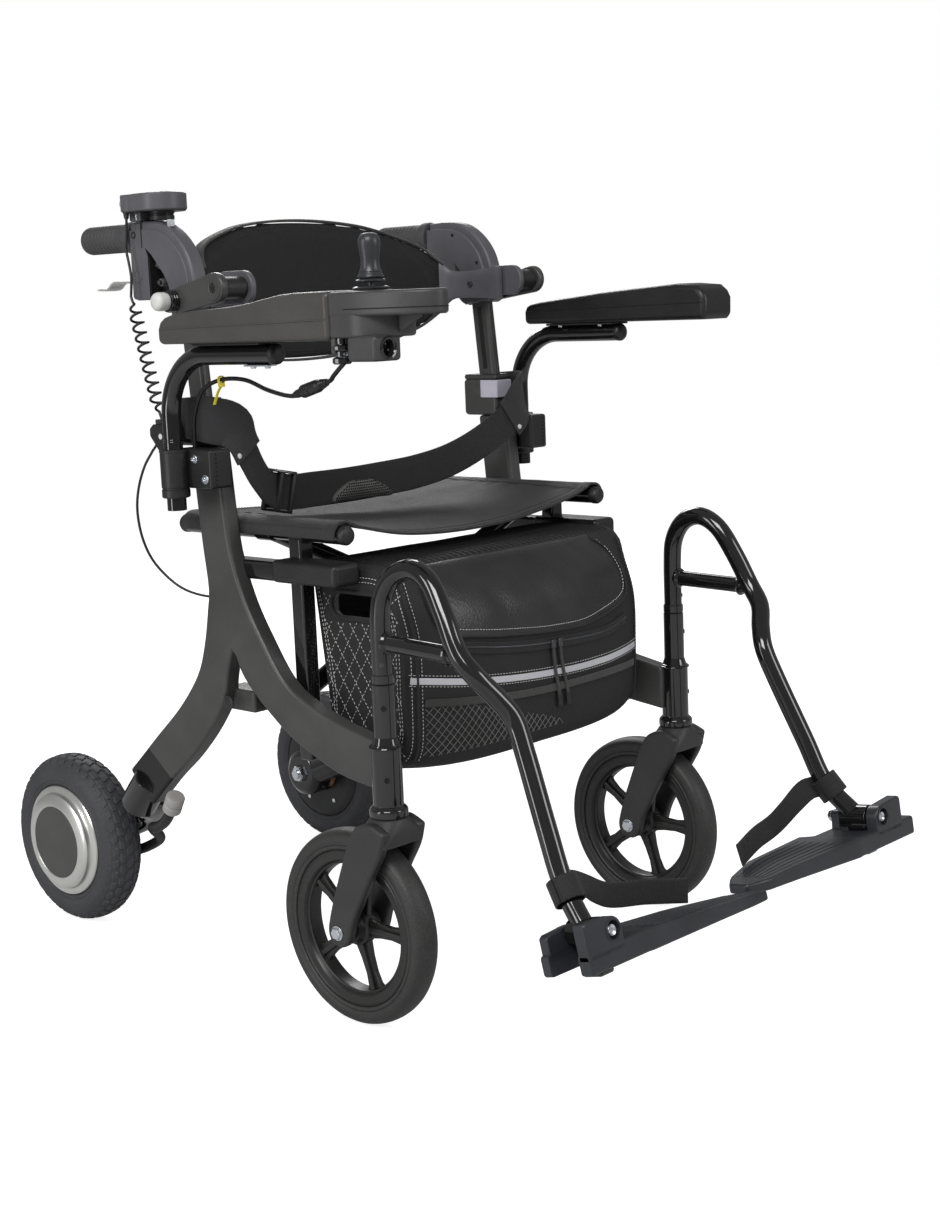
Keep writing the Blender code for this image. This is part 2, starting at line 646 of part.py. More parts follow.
def hanger(side):
    """Swing-away footrest tube, plugged into the stem, with its cross bar, hinge barrel, tongue and bolt."""
    s = SIDES[side]
    pipe = tube(hanger_line(side), HANGER_R, 1)
    bar = rod((s * 0.2320, -0.3000, 0.3930), (s * 0.2345, -0.4020, 0.3900), 0.0085, 8)
    collar = rod((s * 0.2320, -0.3000, RECEIVER_TOP + GAP), (s * 0.2320, -0.3000, 0.3620), 0.0112, 12)
    spigot = rod((s * 0.2320, -0.3000, 0.3080), (s * 0.2320, -0.3000, 0.3600), 0.0080, 12)
    x, y, z = s * FOOT_HINGE[0], FOOT_HINGE[1], FOOT_HINGE[2]
    barrel = rod((x, y - 0.0165, z), (x, y + 0.0165, z), 0.0125, 12)
    tongue = block((x - 0.0100, y - 0.0150, z - 0.0400), (x + 0.0100, y + 0.0080, z + 0.0010), 0.002, 1)
    bolt = rod((x, y - 0.0290, z), (x, y + 0.0350, z), 0.0040, 12)
    head = rod((x, y - 0.0300, z), (x, y - 0.0257, z), 0.0065, 6)
    nut = rod((x, y + 0.0290, z), (x, y + 0.0335, z), 0.0065, 6)
    hinge = tilted(side, join(barrel, tongue, bolt, head, nut))
    holder = axis_at(f"footrest_swing_axis_{side}", (s * STEM_X, STEM_Y, RECEIVER_TOP))
    part(f"hanger_{side}", join(pipe, collar, spigot, bar, hinge), "black_gloss", holder)


def footplate(side):
    """Wedge-shaped deck with two ears, which flips up about a fore-and-aft bolt."""
    s = SIDES[side]
    x, y, z = s * FOOT_HINGE[0], FOOT_HINGE[1], FOOT_HINGE[2]
    holder = axis_at(f"footplate_axis_{side}", (x, y, z))
    front, reach = -0.0315, FOOT_REACH[side]
    stations = [(-FOOT_OUTER[side], front, 0.0290, -0.0315, -0.0120),
                (0.0450, front, 0.0290, -0.0320, -0.0120),
                (0.0500, front, 0.0450, -0.0325, -0.0125), (0.1450, front, 0.0350, -0.0350, -0.0195),
                (reach - 0.0230, front, 0.0150, -0.0370, -0.0250),
                (reach, front + 0.0080, -0.0020, -0.0370, -0.0270)]
    rings = []
    for u, fore, aft, base, top in stations:
        share = along_plate(side, u)
        low, high = z + base + FOOT_TIP_RISE[side] * share, z + top + FOOT_TIP_RISE[side] * share
        drift = FOOT_TIP_DRIFT[side] * share
        fore_y, aft_y = y + max(fore + drift, front), y + aft + drift
        rings.append([(x - s * u, fore_y, low), (x - s * u, aft_y, low), (x - s * u, aft_y, high),
                      (x - s * u, fore_y, high)])
    deck = loft(rings)
    front_ear = [(-0.0375, -0.0200), (-0.0375, 0.0130), (-0.0340, 0.0150), (-0.0020, 0.0128),
                 *ellipse((0.0, 0.0), (0.0125, 0.0125), 5, math.radians(75), 0.0), (0.0125, -0.0200)]
    rear_ear = [(-0.0340, -0.0200), (-0.0340, 0.0030), (-0.0300, 0.0055), (-0.0020, 0.0070),
                *ellipse((0.0, 0.0), (0.0070, 0.0070), 5, math.radians(75), 0.0), (0.0100, -0.0200)]
    for outline, low, high in ((front_ear, front, -0.0175), (rear_ear, 0.0180, 0.0285)):
        ear = slab([(x - s * u, z + h) for u, h in outline], "y", y + low, y + high)
        deck = join(deck, ear)
    slot_x = sorted((x + s * 0.1000, x - s * 0.0170))
    slot = block((slot_x[0], y - 0.0175, z - 0.05), (slot_x[1], y + 0.0180, z + 0.05))
    bore = rod((x, y - 0.05, z), (x, y + 0.05, z), 0.0044, 12)
    recess = rod((x, y - 0.05, z), (x, y - 0.0250, z), 0.0088, 12)
    part(f"footplate_{side}", tilted(side, cut(deck, slot, bore, recess)), "blue_grey_plastic", holder)


def heel_strap(side):
    """Webbing from a loop round the hanger tube to the plate's inner rear corner."""
    s = SIDES[side]
    line = hanger_line(side)
    high, low = next((a, b) for a, b in zip(line, line[1:]) if b.z < STRAP_Z <= a.z)
    along = (high - low).normalized()
    centre = (low + high) / 2
    outer, inner, half = HANGER_R + 0.0052, HANGER_R + 0.0026, 0.0120
    loop = turned([(outer, half), (outer, -half), (inner, -half), (inner, half)], centre, along, 14)
    knots = [centre + Vector((-s * 0.0085, 0.0112, 0.0)), centre + Vector((-s * 0.0300, 0.0130, -0.0020))]
    for x, y, drop in ((0.1450, -0.4970, 0.0030), (0.1000, -0.5060, -0.0050), (0.0560, -0.5200, -0.0130)):
        share = along_plate(side, FOOT_HINGE[0] - x)
        knots.append((s * x, y + FOOT_TIP_DRIFT[side] * share,
                      FOOT_HINGE[2] + drop + FOOT_TIP_RISE[side] * share))
    route = smooth_route(knots, 0.018)
    ways = [along.lerp(Vector((0.0, 0.25, 1.0)), max(0.0, min(1.0, (i - 2) / 3))) for i in range(len(route))]
    part(f"heel_strap_{side}", join(loop, ribbon(route, ways, 0.024, 0.0025)), "fabric")


# handles

def handle(side):
    """Inner post with its cast head, the grip, the brake lever and the backrest's link arm and clip."""
    s = SIDES[side]
    holder = axis_at(f"handle_axis_{side}", (s * FRAME_X, POST_TOP_Y, POST_TOP_Z))
    x0, x1 = span(side, FRAME_X - 0.0067, FRAME_X + 0.0067)
    post = block((x0, POST_TOP_Y - 0.0130, 0.5200), (x1, POST_TOP_Y + 0.0130, 0.7280), 0.003, 1)
    post = turn_x(post, -TILT, POST_TOP_Y, POST_TOP_Z)

    outer = [(p.x, p.y) for p in smooth_route([(0.0460, 0.8060, 0), (0.0200, 0.8065, 0), (-0.0060, 0.8040, 0),
                                               (-0.0300, 0.7930, 0), (-0.0480, 0.7740, 0),
                                               (-0.0570, 0.7500, 0),
                                               (-0.0595, 0.7220, 0)], 0.020)]
    outline = [*outer, (-0.0580, 0.7130), (-0.0500, 0.7090), (-0.0150, 0.7060), (-0.0050, 0.7130),
               (0.0050, 0.7230), (0.0130, 0.7255), (0.0440, 0.7255), (0.0460, 0.7280)]
    c0, c1 = span(side, 0.2105, 0.2355)
    casting = slab(outline, "x", c0, c1, bevel=0.0035, segments=1)
    spigot = rod((s * FRAME_X, 0.0400, GRIP_Z), (s * FRAME_X, 0.1200, GRIP_Z), 0.0095, 10)
    pocket_x = span(side, 0.2170, 0.2400)
    pocket = slab([(0.0150, 0.7740), (0.0150, 0.7330), (-0.0080, 0.7330), (-0.0085, 0.7430),
                   (-0.0030, 0.7600),
                   (0.0080, 0.7720)], "x", *pocket_x)
    slot_x = span(side, FRAME_X - 0.0052, FRAME_X + 0.0052)
    slot = block((slot_x[0], 0.0270, 0.7200), (slot_x[1], 0.0600, 0.7620))
    shape = join(cut(join(casting, spigot), pocket, slot), post)
    pin = rod((s * 0.2140, 0.0360, 0.7420), (s * 0.2300, 0.0360, 0.7420), 0.0022, 8)
    shape = join(shape, pin)
    arm_hole = rod((s * 0.2250, *ARM_PIVOT), (s * 0.2500, *ARM_PIVOT), 0.0040, 12)
    part(f"handle_{side}", cut(shape, arm_hole), "blue_grey_plastic", holder)

    grip = [(0.0, 0.0880), (0.0090, 0.0880), (0.0148, 0.0820), (0.0146, 0.0150), (0.0165, 0.0110),
            (0.0165, 0.0),
            (0.0099, 0.0), (0.0099, 0.0745), (0.0, 0.0745)]
    part(f"grip_{side}", turned(grip, (s * FRAME_X, 0.0463, GRIP_Z), (0, 1, 0), 16), "rubber", holder)

    lever_axis = axis_at(f"brake_lever_axis_{side}", (s * FRAME_X, 0.0360, 0.7420))
    root_x = span(side, FRAME_X - 0.0048, FRAME_X + 0.0048)
    root = slab([(0.0300, 0.7380), (0.0300, 0.7460), (0.0420, 0.7470), (0.0640, 0.7470), (0.0640, 0.7440),
                 (0.0470, 0.7440), (0.0420, 0.7380)], "x", *root_x)
    blade_x = span(side, FRAME_X - 0.0100, FRAME_X + 0.0100)
    blade = slab([(0.0530, 0.7470), (0.0860, 0.7470), (0.0960, 0.7400), (0.1200, 0.7400), (0.1200, 0.7370),
                  (0.0950, 0.7370), (0.0850, 0.7440), (0.0530, 0.7440)], "x", *blade_x)
    hole = rod((s * 0.2100, 0.0360, 0.7420), (s * 0.2400, 0.0360, 0.7420), 0.0027, 8)
    part(f"brake_lever_{side}", cut(join(root, blade), hole), "silver", lever_axis)

    arm_x = span(side, 0.2362, 0.2455)
    arm = slab(stadium(ARM_PIVOT, BACK_PIVOT, 0.0125, 6, 0.0155), "x", *arm_x)
    boss = rod((s * 0.2400, *ARM_PIVOT), (s * 0.2550, *ARM_PIVOT), 0.0110, 10)
    knob = turned([(0.0, 0.0155), (0.0075, 0.0150), (0.0095, 0.0110), (0.0095, 0.0030), (0.0080, 0.0),
                   (0.0, 0.0)], (s * 0.2548, *ARM_PIVOT), (s, 0, 0), 10)
    stud = rod((s * 0.2270, *ARM_PIVOT), (s * 0.2450, *ARM_PIVOT), 0.0036, 12)
    eye = rod((s * 0.2300, *BACK_PIVOT), (s * 0.2600, *BACK_PIVOT), 0.0048, 12)
    part(f"backrest_arm_{side}", cut(join(arm, boss, knob, stud), eye), "charcoal_paint", holder)

    clip_axis = axis_at(f"backrest_axis_{side}", (s * 0.2080, *BACK_PIVOT))
    plate_x = span(side, 0.2010, 0.2080)
    y, z = BACK_PIVOT
    plate = slab([(y - 0.0160, z - 0.0170), (y + 0.0330, z - 0.0170), (y + 0.0330, z + 0.0170),
                  (y - 0.0160, z + 0.0170)], "x", *plate_x, bevel=0.002, segments=1)
    pin = rod((s * 0.2050, *BACK_PIVOT), (s * 0.2452, *BACK_PIVOT), 0.0044, 12)
    collar = rod((s * 0.2060, *BACK_PIVOT), (s * 0.2358, *BACK_PIVOT), 0.0110, 12)
    part(f"backrest_clip_{side}", join(plate, collar, pin), "blue_grey_plastic", clip_axis)


def backrest_band():
    """Padded band: narrow ends from the clips back past the handles, then a panel with rounded corners."""
    half_side = [(0.1990, -0.0868, 0.0200), (0.1975, -0.0450, 0.0165), (0.1930, -0.0160, 0.0175),
                 (0.1880, -0.0020, 0.0290), (0.1760, 0.0180, 0.0450), (0.1500, 0.0340, 0.0570),
                 (0.1000, 0.0470, 0.0715), (0.0500, 0.0540, 0.0780)]
    stations = [(-x, y, half) for x, y, half in half_side] + [(0.0, 0.0560, 0.0800)]
    stations += half_side[::-1]
    rings = []
    for i, (x, y, half) in enumerate(stations):
        before, after = stations[max(0, i - 1)], stations[min(len(stations) - 1, i + 1)]
        out = Vector((before[1] - after[1], after[0] - before[0], 0.0)).normalized()
        thick = min(0.0075, 0.0045 + 0.12 * max(0.0, half - 0.0200))
        ring = []
        for k in range(10):
            a = math.tau * k / 10
            up = math.copysign(abs(math.sin(a)) ** 0.75, math.sin(a))
            deep = math.copysign(abs(math.cos(a)) ** 0.55, math.cos(a))
            ring.append(Vector((x, y, BACK_Z)) + out * (deep - 1) * thick + Vector((0, 0, up * half)))
        rings.append(ring)
    part("backrest_band", loft(rings), "fabric", None, 60)


def control_box():
    """Speed and power pod on the right handle, its button and its strain relief."""
    x = -FRAME_X
    holder = axis_at("control_box_mount", (x, 0.010, 0.8060))
    front = ellipse((x, 0.0060), (0.0265, 0.0265), 9, math.pi, math.tau)
    outline = [*front, (x + 0.0265, 0.0230), (x + 0.0240, 0.0285), (x + 0.0255, 0.0330),
               (x + 0.0255, POD_REAR),
               (x - 0.0255, POD_REAR), (x - 0.0255, 0.0330), (x - 0.0240, 0.0285), (x - 0.0265, 0.0230)]
    pod = slab(outline, "z", 0.8160, 0.8340, bevel=0.002, segments=1)
    neck = rod((x, 0.0060, 0.8068), (x, 0.0060, 0.8190), 0.0130, 14)
    relief = rod((CORD_TOP[0], CORD_TOP[1], 0.8110), (CORD_TOP[0], CORD_TOP[1], 0.8180), 0.0032, 10)
    recess = rod((POD_KEY_X, POD_REAR - 0.0030, 0.8250), (POD_KEY_X, POD_REAR + 0.0030, 0.8250), 0.0044, 16)
    part("control_box", cut(join(pod, neck, relief), recess), "blue_grey_plastic", holder)
    button_axis = axis_at("power_button_axis", (POD_KEY_X, POD_REAR, 0.8250))
    button = rod((POD_KEY_X, POD_REAR - 0.0005, 0.8250), (POD_KEY_X, POD_REAR + 0.0025, 0.8250), 0.0039, 16)
    part("power_button", button, "black_plastic", button_axis)


# armrests

def armrest(side):
    """Bent tube in its sleeve, with the wedge-shaped pad."""
    s = SIDES[side]
    x = s * ARM_X
    x0, x1 = span(side, FRAME_X + FRAME_THICK / 2 + GAP, 0.2600)
    bracket = block((x0, -0.0950, 0.5340), (x1, -0.0330, 0.5740), 0.0025, 1)
    bracket = join(bracket, rod((x, ARM_POST_Y, 0.5250), (x, ARM_POST_Y, 0.5742), 0.0145, 12))
    bracket = join(bracket, rod((s * 0.2580, -0.0700, 0.5640), (s * 0.2625, -0.0700, 0.5640), 0.0045, 10))
    bracket = cut(bracket, rod((x, ARM_POST_Y, 0.50), (x, ARM_POST_Y, 0.60), ARM_R + 0.0010, 12))
    if side == "r":
        gland = slab([(-0.0330, 0.5700), (-0.0120, 0.5700), (0.0020, 0.5860), (0.0020, 0.5940),
                      (-0.0040, 0.5985),
                      (-0.0330, 0.5985)], "x", -0.2600, -0.2440)
        wing = slab([(-0.0400, 0.5740), (-0.0120, 0.5740), (-0.0180, 0.5280), (-0.0400, 0.5280)], "x",
                    -0.2540, -0.2440)
        bracket = join(bracket, wing, gland)
        bracket = cut(bracket, tube(cord_through_gland(), 0.0028, 1))
    part(f"armrest_bracket_{side}", bracket, "black_plastic")

    holder = axis_at(f"armrest_axis_{side}", (x, ARM_POST_Y, 0.5560))
    bend = 0.062
    front = -0.205 if side == "l" else -0.213
    corner = [(x, ARM_POST_Y - bend + bend * math.cos(a), ARM_Z - bend + bend * math.sin(a))
              for a in (math.radians(15 * i) for i in range(7))]
    pipe = tube([(x, ARM_POST_Y, 0.5120), *corner, (x, front, ARM_Z)], ARM_R, 2)
    part(f"armrest_tube_{side}", pipe, "black_gloss", holder)

    front = PAD_FRONT[side]
    if side == "r":
        crown = [(-0.100, 0.7110), (-0.150, 0.7135), (-0.195, 0.7165), (-0.235, 0.7215), (-0.270, 0.7255),
                 (front, 0.7255), (front, PAD_BASE)]
    else:
        crown = [(-0.100, 0.7070), (-0.190, 0.7150), (-0.300, 0.7215), (front + 0.006, 0.7130),
                 (front, 0.7050), (front, PAD_BASE + 0.004), (front + 0.005, PAD_BASE)]
    profile = [(PAD_REAR, PAD_BASE), (PAD_REAR, 0.6960), (PAD_REAR - 0.010, 0.7050), *crown]
    pad = slab(profile, "x", *span(side, PAD_X - PAD_HALF, PAD_X + PAD_HALF), bevel=0.005, segments=1)
    part(f"armrest_pad_{side}", pad, "rubber", holder)


def joystick():
    """Joystick housing at the front of the right armrest, its gimbal, boot and knob."""
    holder = axis_at("joystick_mount", (STICK_X, PAD_FRONT["r"], 0.700))
    rear = PAD_FRONT["r"] - 0.0006
    low, high = STICK_X - 0.0355, STICK_X + 0.0355
    front_arc = ellipse((STICK_X, STICK_Y), (0.0355, 0.0890), 11, math.pi, math.tau)
    plate = slab([*front_arc, (high, rear), (low, rear)], "z", 0.7020, 0.7240, bevel=0.0025, segments=1)
    under_arc = ellipse((STICK_X, -0.3500), (0.0350, 0.0350), 9, math.pi, math.tau)
    body = slab([*under_arc, (high - 0.0005, rear), (low + 0.0005, rear)], "z", 0.6830, 0.7060, bevel=0.003,
                segments=1)
    box = block((low + 0.0006, -0.3820, 0.6620), (low + 0.0340, -0.3450, 0.7060), 0.0035, 1)
    rib = slab([(-0.3780, 0.7040), (-0.4120, 0.7040), (-0.4100, 0.6995), (-0.3780, 0.6830)], "x",
               low + 0.0290, low + 0.0320)
    port = (low + 0.0170, 0.6735)
    recess = rod((port[0], -0.3900, port[1]), (port[0], -0.3740, port[1]), 0.0075, 10)
    cavity = rod((STICK_X, STICK_Y, 0.6930), (STICK_X, STICK_Y, 0.7400), 0.0180, 12)
    trunnions = rod((STICK_X, STICK_Y - 0.0205, STICK_TILT_Z), (STICK_X, STICK_Y + 0.0190, STICK_TILT_Z),
                    0.0022, 10)
    shape = cut(join(plate, body, box, rib), recess, cavity, trunnions)
    for i in range(3):
        a = math.radians(90 + 120 * i)
        spot = (port[0] + 0.0038 * math.cos(a), port[1] + 0.0038 * math.sin(a))
        shape = join(shape, rod((spot[0], -0.3795, spot[1]), (spot[0], -0.3720, spot[1]), 0.0012, 4))
    part("joystick_housing", shape, "blue_grey_plastic", holder)

    tilt = (STICK_X, STICK_Y, STICK_TILT_Z)
    yoke_axis = axis_at("joystick_side_axis", tilt)
    ring = turned([(0.0150, 0.0030), (0.0150, -0.0030), (0.0090, -0.0030), (0.0090, 0.0030)], tilt,
                  (0, 0, 1), 12)
    pins = [rod((STICK_X, STICK_Y + sign * 0.0140, STICK_TILT_Z), (STICK_X, STICK_Y + sign * 0.0186,
                                                                   STICK_TILT_Z),
                0.0018, 10) for sign in (-1, 1)]
    cross_hole = rod((STICK_X - 0.0170, STICK_Y, STICK_TILT_Z), (STICK_X + 0.0170, STICK_Y, STICK_TILT_Z),
                     0.0016, 10)
    part("joystick_gimbal", cut(join(ring, *pins), cross_hole), "silver", yoke_axis)

    knob_axis = axis_at("joystick_fore_axis", tilt)
    shaft = rod((STICK_X, STICK_Y, 0.7010), (STICK_X, STICK_Y, 0.7450), 0.0028, 12)
    cross = rod((STICK_X - 0.0140, STICK_Y, STICK_TILT_Z), (STICK_X + 0.0140, STICK_Y, STICK_TILT_Z), 0.0012,
                10)
    knob = turned([(0.0, 0.7755), (0.0060, 0.7748), (0.0093, 0.7715), (0.0103, 0.7670), (0.0095, 0.7600),
                   (0.0085, 0.7530), (0.0088, 0.7460), (0.0105, 0.7405), (0.0120, 0.7370), (0.0110, 0.7355),
                   (0.0, 0.7355)], (STICK_X, STICK_Y, 0.0), (0, 0, 1), 12)
    part("joystick_knob", join(knob, shaft, cross), "rubber", knob_axis)
    folds = [(0.0078, 0.7348), (0.0100, 0.7348), (0.0148, 0.7318), (0.0140, 0.7300), (0.0195, 0.7243),
             (0.0168, 0.7243), (0.0120, 0.7290), (0.0078, 0.7333)]
    boot = turned(folds, (STICK_X, STICK_Y, 0.0), (0, 0, 1), 16)
    part("joystick_boot", boot, "rubber", axis_at("joystick_boot_mount", (STICK_X, STICK_Y, 0.7243)))


# belt, bag and battery

BELT_ROUTE = [(-0.2400, -0.0300, 0.6040), (-0.2403, -0.0620, 0.6030), (-0.2350, -0.0780, 0.6010),
              (-0.2200, -0.0868, 0.5930), (-0.2070, -0.0890, 0.5680), (-0.1920, -0.0880, 0.5430),
              (-0.1700, -0.0820, 0.5250), (-0.1350, -0.0740, 0.5185), (-0.1000, -0.0690, 0.5175),
              (-0.0500, -0.0660, 0.5170), (0.0000, -0.0700, 0.5190), (0.0500, -0.0780, 0.5230),
              (0.1000, -0.0840, 0.5320), (0.1500, -0.0880, 0.5490), (0.2000, -0.0890, 0.5730),
              (0.2200, -0.0860, 0.5920), (0.2350, -0.0780, 0.6010), (0.2403, -0.0620, 0.6030),
              (0.2400, -0.0300, 0.6040)]
BELT_PAD_X = -0.030


def belt():
    """Webbing round both uprights and across the lap, with its slide buckle and oval pad."""
    route = smooth_route(BELT_ROUTE, 0.024)
    ways = []
    for i in range(len(route)):
        along = (Vector(route[min(i + 1, len(route) - 1)]) - Vector(route[max(i - 1, 0)])).normalized()
        ways.append(Vector((0, 0.10, 1.0)) - along * along.z * abs(along.z))
    webbing = ribbon(route, ways, 0.038, 0.0025)
    rings = []
    count = 7
    for i in range(count):
        t = -1 + 2 * i / (count - 1)
        x = BELT_PAD_X + 0.0440 * t
        y = -0.0680 - 0.0035 * abs(t) ** 0.5 * (t > 0)
        half = 0.0030 + 0.0090 * (1 - abs(t) ** 2.4)
        ring = []
        for k in range(8):
            a = math.tau * k / 8
            ring.append((x, y - 0.0010 + 0.0060 * math.cos(a), 0.4990 + half + half * math.sin(a)))
        rings.append(ring)
    buckle = block((-0.0180, -0.0035, -0.0225), (0.0180, 0.0035, 0.0225), 0.0015, 1)
    lean = Matrix.Rotation(math.radians(-14), 4, "Z") @ Matrix.Rotation(math.radians(12), 4, "Y")
    buckle.data.transform(Matrix.Translation((-0.1590, -0.0810, 0.5220)) @ lean)
    part("belt", join(webbing, buckle, loft(rings)), "fabric", None, 60)


BAG_X = 0.1835


def bag_ring(t, grow):
    """Bag section at t from -1 (right) to 1 (left): (y, z) points, offset outward by grow."""
    bulge = (1 - t ** 4)
    top, bottom = 0.4560, 0.2520 - 0.0120 * bulge
    front = 0.2860 + 0.0220 * bulge
    points = [(-0.1500, top), (-0.1560, 0.3900), (-0.1640, 0.3200), (-0.1720, bottom + 0.016),
              (-0.1860, bottom),
              (-0.2350, bottom - 0.004), (-front + 0.020, bottom + 0.004), (-front + 0.004, bottom + 0.022),
              (-front, 0.3200), (-front, 0.3800), (-front + 0.012, 0.4200), (-0.2600, top - 0.003),
              (-0.2050, top + 0.001)]
    middle = (-0.2250, 0.3500)
    ring = []
    for y, z in points:
        dy, dz = y - middle[0], z - middle[1]
        length = math.hypot(dy, dz)
        ring.append((y + dy / length * grow, z + dz / length * grow))
    return ring


def bag():
    """Soft bag under the seat front: walls round a hollow that both side windows open."""
    rings = []
    for i in range(7):
        t = -1 + 2 * i / 6
        shrink = -0.004 if abs(t) == 1 else 0.0
        rings.append([(BAG_X * t, y, z) for y, z in bag_ring(t, shrink)])
    hollow = []
    for i in range(5):
        t = -1 + 2 * i / 4
        hollow.append([((BAG_X - 0.004) * t, y, z) for y, z in bag_ring(t, -0.006)])
    window = block((-0.30, -0.2560, 0.4020), (0.30, -0.1860, 0.4260), 0.008, 2)
    part("bag_body", cut(loft(rings), join(loft(hollow), window)), "leatherette", None, 50)
    battery = block((-0.1650, -0.2600, 0.2640), (-0.0100, -0.1880, 0.3500), 0.004, 1)
    part("battery_pack", battery, "black_plastic")


# cords

def least_gap(points, radius, skip):
    """The least clear distance between stretches of one cord that aren't neighbours."""
    least = 1.0
    for i, one in enumerate(points):
        for two in points[i + skip:]:
            least = min(least, (one - two).length - 2 * radius)
    return least


GLAND_TOP = Vector((-0.2520, -0.0100, 0.6040))


def cord_through_gland():
    """The cord's bend inside the gland, from its top face out through its rear slope."""
    return smooth_route([GLAND_TOP, (-0.2520, -0.0110, 0.5930), (-0.2520, -0.0070, 0.5830),
                         (-0.2525, 0.0010, 0.5760), (-0.2525, 0.0080, 0.5700)], 0.006)


def control_cord():
    """The cord from the pod: a straight drop, the curls, the gland, and the loop back to the frame."""
    radius, coil, curls, per_curl = 0.0014, 0.0060, 11, 8
    drop = smooth_route([CORD_TOP, (-0.2440, 0.0390, 0.7930), (-0.2440, 0.0410, 0.7780),
                         (-0.2440, 0.0380, 0.7640),
                         (-0.2445, 0.0350, 0.7500), (-0.2455, 0.0350, 0.7380), (-0.2465, 0.0350, 0.7300)],
                         0.011)
    start, end = Vector((-0.2470, 0.0320, 0.7240)), Vector((-0.2530, -0.0085, 0.6100))
    along = (end - start).normalized()
    across = along.cross(Vector((0, 1, 0))).normalized()
    other = along.cross(across)
    curl = []
    for i in range(curls * per_curl + 1):
        t = i / (curls * per_curl)
        a = math.tau * i / per_curl
        swell = coil * min(1.0, 12 * t, 12 * (1 - t))
        curl.append(start.lerp(end, t) + (across * math.cos(a) + other * math.sin(a)) * swell)
    print("control cord least self gap mm", round(least_gap(curl, radius, per_curl - 3) * 1000, 2))
    inside = cord_through_gland()
    loop = smooth_route([inside[-1], (-0.2515, 0.0250, 0.5530), (-0.2480, 0.0420, 0.5300),
                         (-0.2430, 0.0540, 0.5050),
                         (-0.2360, 0.0590, 0.4770), (-0.2280, 0.0560, 0.4520), (-0.2190, 0.0460, 0.4330),
                         (-0.2110, 0.0280, 0.4180), (-0.2070, 0.0000, 0.4115), LOOP_END], 0.017)
    points = [*drop, *curl, *inside, *loop[1:]]
    part("control_cord", tube(points, radius, 1), "rubber", axis_at("control_cord_top", CORD_TOP), 60)


def joystick_lead():
    """Lead from the joystick's box with its in-line plug and yellow tie, clipped at the armrest bracket."""
    route = [(-0.2810, -0.3446, 0.6680), (-0.2805, -0.3300, 0.6670), (-0.2720, -0.3080, 0.6580),
             (-0.2620, -0.2850, 0.6480), (-0.2560, -0.2720, 0.6425), (-0.2520, -0.2400, 0.6340),
             (-0.2480, -0.2100, 0.6280), (-0.2420, -0.1690, 0.6330), (-0.2400, -0.1320, 0.6430),
             (-0.2400, -0.0940, 0.6430), (-0.2430, -0.0680, 0.6320), (-0.2455, -0.0560, 0.6080),
             (-0.2460, -0.0540, 0.5900), (-0.2460, -0.0540, 0.5743)]
    cord = tube(smooth_route(route, 0.024), 0.0022, 1)
    rear, front = Vector((-0.2485, -0.2140, 0.6289)), Vector((-0.2555, -0.2685, 0.6417))
    half = (front - rear).length / 2
    plug = turned([(0.0, half), (0.0036, half - 0.0005), (0.0060, half * 0.55), (0.0064, half * 0.10),
                   (0.0058, half * 0.06), (0.0064, half * 0.02), (0.0062, -half * 0.45),
                   (0.0036, 0.0005 - half),
                   (0.0, -half)], (front + rear) / 2, front - rear, 8)
    band = rod((-0.2400, -0.0980, 0.6435), (-0.2400, -0.0930, 0.6425), 0.0042, 12)
    strip = block((-0.2412, -0.0965, 0.6180), (-0.2388, -0.0950, 0.6430))
    strip = turn_x(strip, math.radians(-30), -0.0958, 0.6430)
    part("joystick_lead", join(cord, plug, band, strip), "rubber", axis_at("joystick_lead_top", route[0]), 60)


def motor_lead():
    """White plug below the right leg and the ribbed sleeve to the motor's axle."""
    plug = rod((-0.2330, 0.0330, 0.1900), (-0.2310, 0.0460, 0.1700), 0.0105, 16)
    route = smooth_route([(-0.2312, 0.0446, 0.1720), (-0.2290, 0.0600, 0.1560), (-0.2200, 0.0860, 0.1430),
                          (-0.2040, 0.1180, 0.1320), (-0.1760, 0.1440, 0.1080), (-0.1690, 0.1980, 0.0840),
                          (-0.1650, 0.2274, 0.0865)], 0.0075)
    ends = 2
    radii = [1.0 if i < ends or i >= len(route) - ends or i % 2 else 0.78 for i in range(len(route))]
    part("motor_lead", join(tube(route, 0.0060, 1, radii), plug), "rubber", None, 60)


def build():
    for side in SIDES:
        side_frame(side)
        height_clamp(side)
        seat_rail(side)
        front_wheel(side)
        rear_wheel(side)
        axle_arm(side)
        hanger(side)
        footplate(side)
        heel_strap(side)
        handle(side)
        armrest(side)
    brace("a", "r")
    brace("b", "l")
    seat_fabric()
    backrest_band()
    control_box()
    joystick()
    belt()
    bag()
    control_cord()
    joystick_lead()
    motor_lead()
    bpy.context.view_layer.update()


build()
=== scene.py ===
"""Looks of the powered rollator: its fine forms, fabrics and finishes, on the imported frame.

Shapes are drawn in metres with the caster stems at y = STEM_Y, the rider facing -Y and the
rider's right at -X. Each finished piece is then moved by SHIFT_Y into the frame's own place.
"""

import math

import bmesh
import bpy
from mathutils import Matrix, Vector, noise
from mathutils.bvhtree import BVHTree


